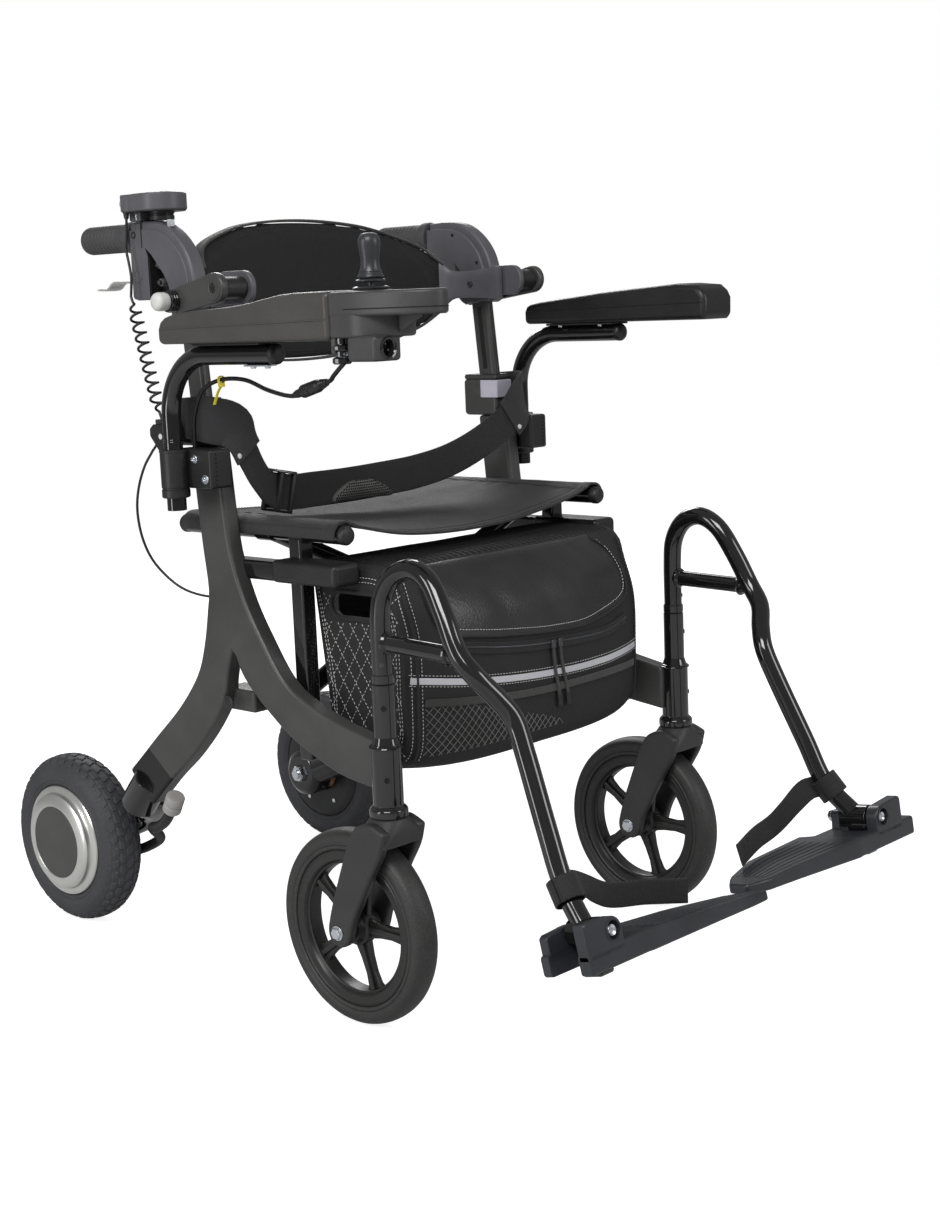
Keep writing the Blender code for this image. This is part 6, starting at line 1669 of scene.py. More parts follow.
def band_line():
    """Plan position and half height along the band, and the way out from the rider at each place."""
    near = [(-x, y, half) for x, y, half in BAND_SIDE]
    line = smooth_route([*near, (0.0, 0.0560, 0.0800), *BAND_SIDE[::-1]], 0.0062)
    outs = []
    for i in range(len(line)):
        before, after = line[max(0, i - 1)], line[min(len(line) - 1, i + 1)]
        outs.append(Vector((before.y - after.y, after.x - before.x, 0.0)).normalized())
    return list(zip(line, outs))


def band_ring(spot, out, grow=0.0, count=40):
    """A section of the backrest band at one place along it."""
    half = spot.z + grow
    thick = min(0.0075, 0.0045 + 0.12 * max(0.0, spot.z - 0.0200))
    ring = []
    for k in range(count):
        a = math.tau * k / count
        up = math.copysign(abs(math.sin(a)) ** 0.75, math.sin(a))
        deep = math.copysign(abs(math.cos(a)) ** 0.55, math.cos(a))
        ring.append(Vector((spot.x, spot.y, BAND_Z + up * half)) + out * (deep * (thick + grow) - thick))
    return ring


def backrest_band():
    """Padded band drawn in at its ends, its bound edges and the seams along them."""
    line = band_line()
    padded = [i for i, (spot, out) in enumerate(line) if spot.y > -0.0080]
    first, last = padded[0], padded[-1]
    wings = []
    for stretch in (line[:first + 2], line[last - 1:]):
        wings.append(loft([band_ring(spot, out, -0.0006) for spot, out in stretch], "slate plastic", 40.0))
        inner = stretch[len(stretch) // 2]
        wings.append(cap_screw(inner[0].xy.to_3d() + Vector((0, 0, BAND_Z)) - inner[1] * 0.0088, -inner[1],
                               0.0036))
    line = line[first:last + 1]
    band = loft([band_ring(spot, out, -0.0012) for spot, out in line], "band cloth", 60.0)
    band = puffed(band, 0.0042, 4.0, 0.0014)
    mapped(band, lambda p: (math.atan2(p.x, p.y + 0.1040) * 0.18, p.z))
    skin = skin_of(band)
    trims = []
    for k in (10, 30):
        edge = [band_ring(spot, out, -0.0017)[k] for spot, out in line]
        trims.append(strap(edge, [-out for spot, out in line], 0.0110, 0.0030, "binding"))
    cover = piece("backrest_band_cover", [band, *trims, *wings], "backrest", ["backrest_band"],
                  even=False)
    seams = []
    for edge in (-1, 1):
        for inset in (0.0085, 0.0120):
            run = []
            for spot, out in line:
                if spot.z > 0.0260:
                    start = Vector((spot.x, spot.y, BAND_Z + edge * (spot.z - inset))) - out * 0.0400
                    hit = skin.ray_cast(start, out, 0.08)
                    if hit[0] is not None:
                        run.append(hit[0] - out * 0.0002)
            seams.append(stitched(run, "thread black", 0.0042, 0.0032, 0.0008))
    thread = piece("backrest_band_stitches", seams, "backrest", even=False)
    for soft in (cover, thread):
        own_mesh(soft)


def control_box():
    """Speed and power pod on the right handle, with its shell, window, buttons and strain relief."""
    x = -FRAME_X
    front = ellipse((x, 0.0060), (0.0265, 0.0265), 33, math.pi, math.tau)
    flank = [(0.0265, 0.0190), (0.0254, 0.0258), (0.0243, 0.0290), (0.0247, 0.0314), (0.0254, 0.0345)]
    outline = [*front, *[(x + u, v) for u, v in flank], (x + 0.0254, 0.0400), (x + 0.0235, 0.0430),
               (x - 0.0243, 0.0430), (x - 0.0254, 0.0415), *[(x - u, v) for u, v in flank[::-1]]]
    key = (POD_KEY_X, 0.8250)
    things = [slab(outline, "z", 0.8162, 0.8340, "slate plastic", 0.0030, 5)]
    lower = [(x + (u - x) * 0.955, 0.0120 + (v - 0.0120) * 0.955) for u, v in outline]
    things.append(slab(lower, "z", 0.8154, 0.8170, "black plastic", 0.0004, 2))
    socket = rod((key[0], 0.0395, key[1]), (key[0], 0.0470, key[1]), 0.0044, "hole black", 0.0, 32)
    things = [cut(thing, duplicate(socket)) for thing in things]
    bpy.data.objects.remove(socket, do_unlink=True)
    inset = [(x + (u - x) * 0.72, 0.0100 + (v - 0.0100) * 0.70) for u, v in outline]
    things.append(slab(inset, "z", 0.8338, 0.8343, "black gloss", 0.0003, 1))
    things.append(rod((x, -0.0020, 0.8340), (x, -0.0020, 0.8352), 0.0065, "slate plastic", 0.0005))
    for dx in (-0.0080, 0.0, 0.0080):
        things.append(rod((x + dx, 0.0200, 0.8340), (x + dx, 0.0200, 0.8347), 0.0016, "button grey", 0.0003,
                          20))
    neck = [(0.0, 0.0), (0.0128, 0.0), (0.0130, 0.0010), (0.0130, 0.0042), (0.0122, 0.0048), (0.0122, 0.0058),
            (0.0132, 0.0066), (0.0132, 0.0110), (0.0, 0.0110)]
    things.append(turned(neck, (x, 0.0060, 0.8068), (0, 0, 1), "black plastic", 48))
    things.append(block((x - 0.0165, 0.0215, 0.8068), (x + 0.0165, 0.0400, 0.8166), "slate plastic", 0.0015))
    things.append(block((x - 0.0150, 0.0270, 0.8074), (x - 0.0172, 0.0330, 0.8140), "zinc", 0.0005, 2))
    relief = [(0.0, 0.0), (0.0021, 0.0), (0.0022, 0.0012), (0.0028, 0.0016), (0.0026, 0.0028),
              (0.0031, 0.0034),
              (0.0029, 0.0048), (0.0033, 0.0056), (0.0033, 0.0080), (0.0, 0.0080)]
    things.append(turned(relief, (CORD_TOP.x, CORD_TOP.y, 0.8092), (0, 0, 1), "black plastic", 28))
    piece("control_pod", things, "handle_r", ["control_box"])
    button = [(0.0, 0.0022), (0.0024, 0.0028), (0.0033, 0.0029), (0.0039, 0.0023), (0.0039, 0.0), (0.0, 0.0)]
    piece("power_button_cap", [turned(button, (POD_KEY_X, 0.0428, 0.8250), (0, 1, 0), "button grey", 32)],
          "power_key",
          ["power_button"])


# armrests

def armrest(side):
    """Bracket with its sleeve and bolts, the bent tube, and the padded rest with its seams and fixings."""
    s = SIDES[side]
    x = s * ARM_X
    x0, x1 = mirrored_range(side, FRAME_X + FRAME_THICK / 2 + GAP, 0.2600)
    body = block((x0, -0.0950, 0.5340), (x1, -0.0330, 0.5740), "black plastic", 0.0032, 4)
    bore = rod((x, ARM_POST_Y, 0.50), (x, ARM_POST_Y, 0.60), 0.0110, "black plastic", 0.0, 40)
    sleeve = [(0.0110, 0.5250), (0.0132, 0.5250), (0.0145, 0.5262), (0.0145, 0.5334), (0.0138, 0.5340),
              (0.0138, 0.5352),
              (0.0145, 0.5358), (0.0145, 0.5712), (0.0150, 0.5718), (0.0150, 0.5734), (0.0142, 0.5742),
              (0.0110, 0.5742)]
    things = [cut(body, bore), turned(sleeve, (x, ARM_POST_Y, 0.0), (0, 0, 1), "black plastic", 56)]
    outer = s * 0.2600
    for y, z in ((-0.0700, 0.5640), (-0.0860, 0.5440)):
        things.append(rod((outer, y, z), (outer + s * 0.0012, y, z), 0.0048, "zinc", 0.0004, 32))
        things.append(cap_screw((outer + s * 0.0010, y, z), (s, 0, 0), 0.0036, "zinc"))
    # A row of dark dots of painted shade stands for the holes.
    dot = rod((0, 0, 0), (0, -0.0006, 0), 0.0011, "hole black", 0.0002, 10)
    dots = rowed(dot, 8, (0.0, 0.0, 0.0044), "hole black")
    dots.data.transform(Matrix.Translation((s * 0.2530, -0.0950, 0.5385)))
    things.append(dots)
    if side == "r":
        gland = slab([(-0.0330, 0.5700), (-0.0120, 0.5700), (0.0020, 0.5860), (0.0020, 0.5940),
                      (-0.0040, 0.5985),
                      (-0.0330, 0.5985)], "x", -0.2600, -0.2440, "black plastic", 0.0020, 3)
        wing = slab([(-0.0400, 0.5740), (-0.0120, 0.5740), (-0.0180, 0.5280), (-0.0400, 0.5280)], "x",
                    -0.2540, -0.2440,
                    "slate plastic", 0.0016, 3)
        # The cord's passage through the gland is cut with walls in painted shade.
        hole = tube(cord_through_gland(), 0.0028, "hole black", 16)
        things += [cut(gland, hole), wing, cap_screw((-0.2540, -0.0270, 0.5360), (-1, 0, 0), 0.0042, "zinc")]
        knurl = [(0.0030, 0.5984), (0.0068, 0.5984), (0.0072, 0.5992), (0.0072, 0.6026), (0.0066, 0.6034),
                 (0.0030, 0.6034)]
        things.append(turned(knurl, (-0.2520, -0.0110, 0.0), (0, 0, 1), "black plastic", 16, 20.0))
        eye = [(0.0, 0.0), (0.0026, 0.0), (0.0030, 0.0006), (0.0024, 0.0010), (0.0, 0.0008)]
        things.append(turned(eye, (-0.2600, -0.0170, 0.5860), (-1, 0, 0), "knob white", 24))
    piece(f"armrest_bracket_body_{side}", things, f"side_{side}",
          [f"armrest_bracket_{side}"])

    bend = 0.062
    front = -0.205 if side == "l" else -0.213
    corner = [(x, ARM_POST_Y - bend + bend * math.cos(a), ARM_Z - bend + bend * math.sin(a))
              for a in (math.radians(5 * i) for i in range(19))]
    line = [(x, ARM_POST_Y, 0.5120), (x, ARM_POST_Y, 0.5400), (x, ARM_POST_Y, 0.5700),
            (x, ARM_POST_Y, 0.5900), *corner,
            (x, -0.150, ARM_Z), (x, front, ARM_Z)]
    things = [tube(line, 0.0099, "black gloss", 36)]
    for z in (0.5820, 0.5842):
        ring = [(x + 0.0100 * math.cos(a), ARM_POST_Y + 0.0100 * math.sin(a),
                 z) for a in (math.tau * i / 32 for i in range(32))]
        things.append(sweep(ring, circle(0.00035, 6), "black gloss", loop=True))
    plug = [(0.0, 0.0050), (0.0060, 0.0048), (0.0086, 0.0036), (0.0099, 0.0016), (0.0101, 0.0),
            (0.0101, -0.0022),
            (0.0098, -0.0024), (0.0, -0.0024)]
    things.append(turned(plug, (x, front, ARM_Z), (0, -1, 0), "black plastic", 36))
    piece(f"armrest_tube_bent_{side}", things, f"armrest_{side}", [f"armrest_tube_{side}"])

    front = PAD_FRONT[side]
    if side == "r":
        top = [(PAD_REAR, 0.6960), (PAD_REAR - 0.0035, 0.7030), (PAD_REAR - 0.010, 0.7072), (-0.100, 0.7108),
               (-0.125, 0.7124), (-0.150, 0.7135), (-0.175, 0.7146), (-0.195, 0.7160), (-0.215, 0.7182),
               (-0.235, 0.7213), (-0.255, 0.7240), (-0.275, 0.7252), (front, 0.7255)]
        profile = [(PAD_REAR, PAD_BASE), *top, (front, PAD_BASE)]
    else:
        top = [(PAD_REAR, 0.6960), (PAD_REAR - 0.0035, 0.7020), (PAD_REAR - 0.010, 0.7050), (-0.100, 0.7070),
               (-0.190, 0.7150), (-0.300, 0.7215), (front + 0.012, 0.7190), (front + 0.004, 0.7125),
               (front, 0.7050)]
        profile = [(PAD_REAR, PAD_BASE), *top, (front, PAD_BASE + 0.004), (front + 0.005, PAD_BASE)]
    # One foam in two copies: the right pad's lighter copy holds painted light, and the left pad's near-black
    # copy holds painted shade.
    foam = "grey foam" if side == "r" else "black foam"
    pad_x = mirrored_range(side, PAD_X - PAD_HALF, PAD_X + PAD_HALF)
    pad = slab(profile, "x", *pad_x, foam, 0.0058, 5, 50.0)
    edge = []
    for z in (0.6960, ):
        reach = 0.0003
        corners = [(pad_x[0] - reach, PAD_REAR - 0.005), (pad_x[0] - reach, front + 0.004),
                   (pad_x[1] + reach, PAD_REAR - 0.005), (pad_x[1] + reach, front + 0.004)]
        for one, two in ((0, 1), (2, 3)):
            line = [(*corners[one], z), *[(corners[one][0], y, z + 0.004 * (PAD_REAR - y) / 0.25)
                                          for y in (-0.12, -0.17, -0.22, -0.27)], (*corners[two], z + 0.004)]
            edge.append(tube(smooth_route(line, 0.005), 0.0006, foam, 8))
    rest = piece(f"armrest_pad_foam_{side}", [pad, *edge], f"armrest_{side}",
                 [f"armrest_pad_{side}"])

    fixings = [block((x - 0.0150, -0.2050, 0.6784), (x + 0.0150, -0.1050, 0.6808), "black plastic", 0.0006,
                     2)]
    if side == "r":
        fixings.append(block((x - 0.0065, -0.2060, 0.6576), (x + 0.0065, -0.1720, 0.6592), "zinc", 0.0005, 2))
        spots, height = [(0.0, -0.2000), (0.0, -0.1790)], 0.6576
    else:
        spots, height = [(-0.0118, -0.1250), (-0.0118, -0.1850), (0.0118, -0.1250), (0.0118, -0.1850)], 0.6784
    for dx, y in spots:
        fixings.append(cap_screw((x + dx, y, height), (0, 0, -1), 0.0030, "zinc"))
    piece(f"armrest_strip_{side}", fixings, f"armrest_{side}")


def joystick():
    """Joystick housing with its seam and port, its clamp castings, gimbal, folded boot and waisted knob."""
    rear = PAD_FRONT["r"] - 0.0006
    low, high = STICK_X - 0.0355, STICK_X + 0.0355
    front_arc = ellipse((STICK_X, STICK_Y), (0.0355, 0.0890), 49, math.pi, math.tau)
    # The cavity and trunnion cutters leave near-black walls of painted shade in the openings.
    cavity = rod((STICK_X, STICK_Y, 0.6930), (STICK_X, STICK_Y, 0.7400), 0.0180, "hole black", 0.0, 48)
    plate = slab([*front_arc, (high, rear), (low, rear)], "z", 0.7020, 0.7240, "housing plastic", 0.0030, 4)
    trunnions = rod((STICK_X, STICK_Y - 0.0205, 0.7040), (STICK_X, STICK_Y + 0.0190, 0.7040), 0.0022,
                    "hole black", 0.0, 20)
    things = [cut(plate, cavity, trunnions)]
    # The seam is a thin tube of painted shade.
    line = [(u, v, 0.7085) for u, v in ellipse((STICK_X, STICK_Y), (0.0356, 0.0891), 60, math.pi, math.tau)]
    things.append(tube(line, 0.0005, "hole black", 8))
    under_arc = ellipse((STICK_X, -0.3500), (0.0350, 0.0350), 33, math.pi, math.tau)
    body = slab([*under_arc, (high - 0.0005, rear), (low + 0.0005, rear)], "z", 0.6830, 0.7060,
                "housing plastic",
                0.0030, 4)
    # The same opening in the lower body, its walls in painted shade.
    cavity = rod((STICK_X, STICK_Y, 0.6930), (STICK_X, STICK_Y, 0.7400), 0.0180, "hole black", 0.0, 48)
    things.append(cut(body, cavity))
    box = block((low + 0.0006, -0.3820, 0.6620), (low + 0.0340, -0.3450, 0.6850), "housing plastic", 0.0040,
                4)
    port = (low + 0.0170, 0.6735)
    # The port's bore takes the near-black of painted shade.
    things.append(cut(box, rod((port[0], -0.3900, port[1]), (port[0], -0.3740, port[1]), 0.0075,
                               "hole black", 0.0, 40)))
    ring = [(0.0070, -0.0010), (0.0100, -0.0010), (0.0103, 0.0004), (0.0094, 0.0012), (0.0078, 0.0008),
            (0.0070, -0.0004)]
    things.append(turned(ring, (port[0], -0.3820, port[1]), (0, -1, 0), "black gloss", 48))
    for i in range(3):
        a = math.radians(90 + 120 * i)
        spot = (port[0] + 0.0038 * math.cos(a), -0.3740, port[1] + 0.0038 * math.sin(a))
        things.append(rod(spot, (spot[0], -0.3785, spot[2]), 0.0011, "steel dark", 0.0003, 16))
    things.append(slab([(-0.3780, 0.7040), (-0.4120, 0.7040), (-0.4100, 0.6995), (-0.3780, 0.6830)], "x",
                       low + 0.0290, low + 0.0320, "housing plastic", 0.0006, 2))
    things.append(block((low + 0.0010, rear - 0.0060, 0.6690), (low + 0.0330, rear, 0.6836),
                        "housing plastic", 0.0020))
    stem_x = low + 0.0085
    clamp = [(0.0, 0.6600), (0.0072, 0.6600), (0.0088, 0.6612), (0.0088, 0.6650), (0.0070, 0.6662),
             (0.0050, 0.6668),
             (0.0050, 0.6712), (0.0078, 0.6720), (0.0084, 0.6732), (0.0084, 0.6760), (0.0070, 0.6772),
             (0.0046, 0.6780),
             (0.0046, 0.6832), (0.0, 0.6832)]
    things.append(turned(clamp, (stem_x, rear - 0.0070, 0.0), (0, 0, 1), "black gloss", 16, 20.0))
    things.append(cap_screw((stem_x, rear - 0.0120, 0.6690), (-0.5, -0.86, 0), 0.0028, "zinc"))
    collar = [(0.0180, -0.0010), (0.0208, -0.0006), (0.0212, 0.0004), (0.0202, 0.0010), (0.0180, 0.0008)]
    things.append(turned(collar, (STICK_X, STICK_Y, 0.7240), (0, 0, 1), "black plastic", 48))
    piece("joystick_shell", things, "armrest_r", ["joystick_housing"])

    tilt = (STICK_X, STICK_Y, 0.7040)
    ring = turned([(0.0090, -0.0030), (0.0146, -0.0030), (0.0150, -0.0026), (0.0150, 0.0026),
                   (0.0146, 0.0030),
                   (0.0090, 0.0030)], tilt, (0, 0, 1), "lever alloy", 48)
    pins = [rod((STICK_X, STICK_Y + sign * 0.0140, 0.7040), (STICK_X, STICK_Y + sign * 0.0186, 0.7040),
                0.0018, "zinc",
                0.0003, 20) for sign in (-1, 1)]
    piece("joystick_gimbal_ring", [ring, *pins], "joystick_yoke", ["joystick_gimbal"])

    knob = [(0.0, 0.7755), (0.0040, 0.7753), (0.0072, 0.7741), (0.0093, 0.7715), (0.0101, 0.7688),
            (0.0103, 0.7660),
            (0.0099, 0.7620), (0.0092, 0.7570), (0.0086, 0.7530), (0.0085, 0.7495), (0.0089, 0.7455),
            (0.0098, 0.7425),
            (0.0104, 0.7412), (0.0101, 0.7405), (0.0104, 0.7398), (0.0114, 0.7382), (0.0120, 0.7368),
            (0.0116, 0.7357),
            (0.0106, 0.7352), (0.0, 0.7352)]
    things = [turned(knob, (STICK_X, STICK_Y, 0.0), (0, 0, 1), "knob rubber", 56),
              rod((STICK_X, STICK_Y, 0.7010), (STICK_X, STICK_Y, 0.7380), 0.0028, "steel dark"),
              rod((STICK_X - 0.0140, STICK_Y, 0.7040), (STICK_X + 0.0140, STICK_Y, 0.7040), 0.0012, "zinc",
                  0.0003, 16)]
    skirt = [(0.0078, 0.7348), (0.0100, 0.7350), (0.0124, 0.7345), (0.0136, 0.7336), (0.0136, 0.7327),
             (0.0124, 0.7319), (0.0108, 0.7326), (0.0098, 0.7338), (0.0078, 0.7341)]
    things.append(turned(skirt, (STICK_X, STICK_Y, 0.0), (0, 0, 1), "knob rubber", 56))
    piece("joystick_knob_cap", things, "joystick_stick", ["joystick_knob"])

    folds = [(0.0132, 0.7281), (0.0142, 0.7283), (0.0158, 0.7277), (0.0169, 0.7269), (0.0167, 0.7261),
             (0.0155, 0.7257), (0.0162, 0.7253), (0.0190, 0.7251), (0.0196, 0.7243), (0.0168, 0.7243),
             (0.0146, 0.7258), (0.0132, 0.7274)]
    piece("joystick_boot_folds", [turned(folds, (STICK_X, STICK_Y, 0.0), (0, 0, 1), "knob rubber", 56)],
          "armrest_r",
          ["joystick_boot"])


# belt

BELT_ROUTE = [(-0.2400, -0.0300, 0.6040), (-0.2403, -0.0620, 0.6030), (-0.2350, -0.0780, 0.6010),
              (-0.2200, -0.0868, 0.5930), (-0.2070, -0.0890, 0.5680), (-0.1920, -0.0880, 0.5430),
              (-0.1700, -0.0820, 0.5250), (-0.1350, -0.0740, 0.5185), (-0.1000, -0.0690, 0.5175),
              (-0.0500, -0.0660, 0.5170), (0.0000, -0.0700, 0.5190), (0.0500, -0.0780, 0.5230),
              (0.1000, -0.0840, 0.5320), (0.1500, -0.0880, 0.5490), (0.2000, -0.0890, 0.5730),
              (0.2200, -0.0860, 0.5920), (0.2350, -0.0780, 0.6010), (0.2403, -0.0620, 0.6030),
              (0.2400, -0.0300, 0.6040)]
BELT_PAD_X = -0.030


def belt():
    """Ribbed webbing with doubled, riveted ends, a slide buckle and a mesh-faced oval pad."""
    route = smooth_route(BELT_ROUTE, 0.0045)
    count = len(route)
    ways = []
    for i in range(count):
        along = (route[min(i + 2, count - 1)] - route[max(i - 2, 0)]).normalized()
        way = Vector((0.0, 0.10 + 0.05 * math.sin(i * 0.11), 1.0)) - along * along.z * abs(along.z)
        ways.append(way.normalized())
    things = [strap(route, ways, 0.0380, 0.0020, "webbing")]
    seams = []
    flap = 23
    for low_end in (True, False):
        stretch = route[:flap] if low_end else route[::-1][:flap]
        across = ways[:flap] if low_end else ways[::-1][:flap]
        outward = [Vector((0, -1, 0)) if p.y < -0.080 else Vector((math.copysign(1.0, p.x), -0.6,
                                                                   0)).normalized()
                   for p in stretch]
        doubled = [p + o * 0.0022 for p, o in zip(stretch, outward)]
        widen = [0.86 + 0.14 * min(1.0, i / 9) for i in range(flap)]
        things.append(strap(doubled, across, 0.0480, 0.0020, "flap webbing", widen))
        for rise in (-0.0195, 0.0195):
            seams.append(stitched([p + way * rise * wide + o * 0.0012 for p, o, way, wide
                                   in zip(doubled, outward, across,
                                          widen)], "thread black", 0.0040, 0.0030, 0.0009))
        spot, out = doubled[flap - 3] - across[flap - 3] * 0.0165, outward[flap - 3]
        seams.append(turned([(0.0, 0.0018), (0.0016, 0.0017), (0.0026, 0.0012), (0.0030, 0.0003),
                             (0.0030, -0.0006),
                             (0.0, -0.0006)], spot + out * 0.0008, out, "knob white", 28))
    strap_body = piece("belt_webbing", things, "side_r", ["belt"], even=False)
    trim = piece("belt_stitches", seams, "side_r", even=False)

    rings = []
    stations = 25
    for i in range(stations):
        t = -1 + 2 * i / (stations - 1)
        y = -0.0690 - 0.0035 * abs(t) ** 0.5 * (t > 0)
        half = 0.0030 + 0.0090 * (1 - abs(t) ** 2.4)
        rings.append([(BELT_PAD_X + 0.0440 * t,
                       y + 0.0056 * math.copysign(abs(math.cos(a)) ** 0.8, math.cos(a)),
                       0.4990 + half + half * math.sin(a)) for a in (math.tau * k / 28 for k in range(28))])
    pad = mapped(puffed(loft(rings, "pad mesh", 60.0), 0.0040, 4.0, 0.0008), lambda p: (p.x, p.z))
    pad_skin = skin_of(pad)
    rim_line = []
    for k in range(61):
        a = math.tau * k / 60
        t = 0.93 * math.cos(a)
        half = 0.0030 + 0.0090 * (1 - abs(t) ** 2.4)
        rim_line.append((BELT_PAD_X + 0.0440 * t, -0.3, 0.4990 + half + (half - 0.0022) * math.sin(a)))
    rim = laid(pad_skin, rim_line, (0, 1, 0), 0.0003)
    mesh_dots = []
    # The pad's mesh openings are dark dots of painted shade.
    dot = turned([(0.0, 0.0003), (0.0011, 0.0003), (0.0013, -0.0003), (0.0, -0.0003)], (0, 0, 0), (0, -1, 0),
                 "hole black", 6)
    for row in range(8):
        z = 0.5018 + 0.0027 * row
        reach = max(0.0, 1 - max(0.0, (z - 0.4990 + 0.0016) / 2 - 0.0030) / 0.0090) ** (1 / 2.4) * 0.0440
        line = []
        for k in range(-16, 17):
            x = 0.0031 * (k + 0.5 * (row % 2))
            if abs(x) < reach - 0.0020:
                line.append((BELT_PAD_X + x, -0.3, z))
        for spot in laid(pad_skin, line, (0, 1, 0), 0.0002):
            made = duplicate(dot)
            made.data.transform(Matrix.Translation(spot))
            mesh_dots.append(made)
    bpy.data.objects.remove(dot, do_unlink=True)
    cushion = piece("belt_pad", [pad, stitched(rim, "thread black", 0.0036, 0.0027, 0.0008), *mesh_dots],
                    "side_r",
                    even=False)

    outline = [(-0.0180, -0.0225), (0.0180, -0.0225), (0.0180, 0.0225), (-0.0180, 0.0225)]
    frame_shape = slab(outline, "y", -0.0030, 0.0030, "black gloss", 0.0016, 3)
    for low_x, high_x in ((-0.0145, -0.0030), (0.0030, 0.0145)):
        frame_shape = cut(frame_shape, block((low_x, -0.01, -0.0195), (high_x, 0.01, 0.0195),
                                             "black plastic", 0.001, 2))
    bars = [rod((dx, -0.0012, -0.0195), (dx, -0.0012, 0.0195), 0.0022,
                "black plastic") for dx in (-0.0155, 0.0, 0.0155)]
    web = strap([Vector((u, 0.0014, 0.0)) for u in (-0.0175, -0.006, 0.006, 0.0175)], [(0, 0, 1)] * 4,
                0.0380, 0.0016,
                "webbing")
    lean = Matrix.Rotation(math.radians(-14), 4, "Z") @ Matrix.Rotation(math.radians(12), 4, "Y")
    parts = [frame_shape, *bars, web]
    for thing in parts:
        thing.data.transform(Matrix.Translation((-0.1590, -0.0810, 0.5220)) @ lean)
    buckle = piece("belt_buckle", parts, "side_r", even=False)
    for soft in (strap_body, trim, cushion, buckle):
        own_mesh(soft)


# bag and battery

BAG_X = 0.1835
BAG_TOP = 0.4560


def bag_ring(t, grow, count=72):
    """Smooth bag section at t from -1 (right) to 1 (left), offset outward by grow, its lower part sagging."""
    bulge = 1 - t ** 4
    bottom = 0.2520 - 0.0120 * bulge
    front = 0.2860 + 0.0220 * bulge
    knots = [(-0.1500, BAG_TOP), (-0.1560, 0.3900), (-0.1640, 0.3200), (-0.1720, bottom + 0.016),
             (-0.1860, bottom),
             (-0.2350, bottom - 0.004), (-front + 0.020, bottom + 0.004), (-front + 0.004, bottom + 0.022),
             (-front, 0.3200), (-front, 0.3800), (-front + 0.012, 0.4200), (-0.2600, BAG_TOP - 0.003),
             (-0.2050, BAG_TOP + 0.001)]
    middle = (-0.2250, 0.3500)
    grown_knots = []
    for y, z in knots:
        dy, dz = y - middle[0], z - middle[1]
        length = math.hypot(dy, dz)
        grown_knots.append((y + dy / length * grow, z + dz / length * grow, 0.0))
    route = smooth_route([*grown_knots, grown_knots[0]], 0.002)
    ring = []
    for i in range(count):
        spot = route[int(i * (len(route) - 1) / count)]
        ring.append((spot.x, spot.y))
    return ring


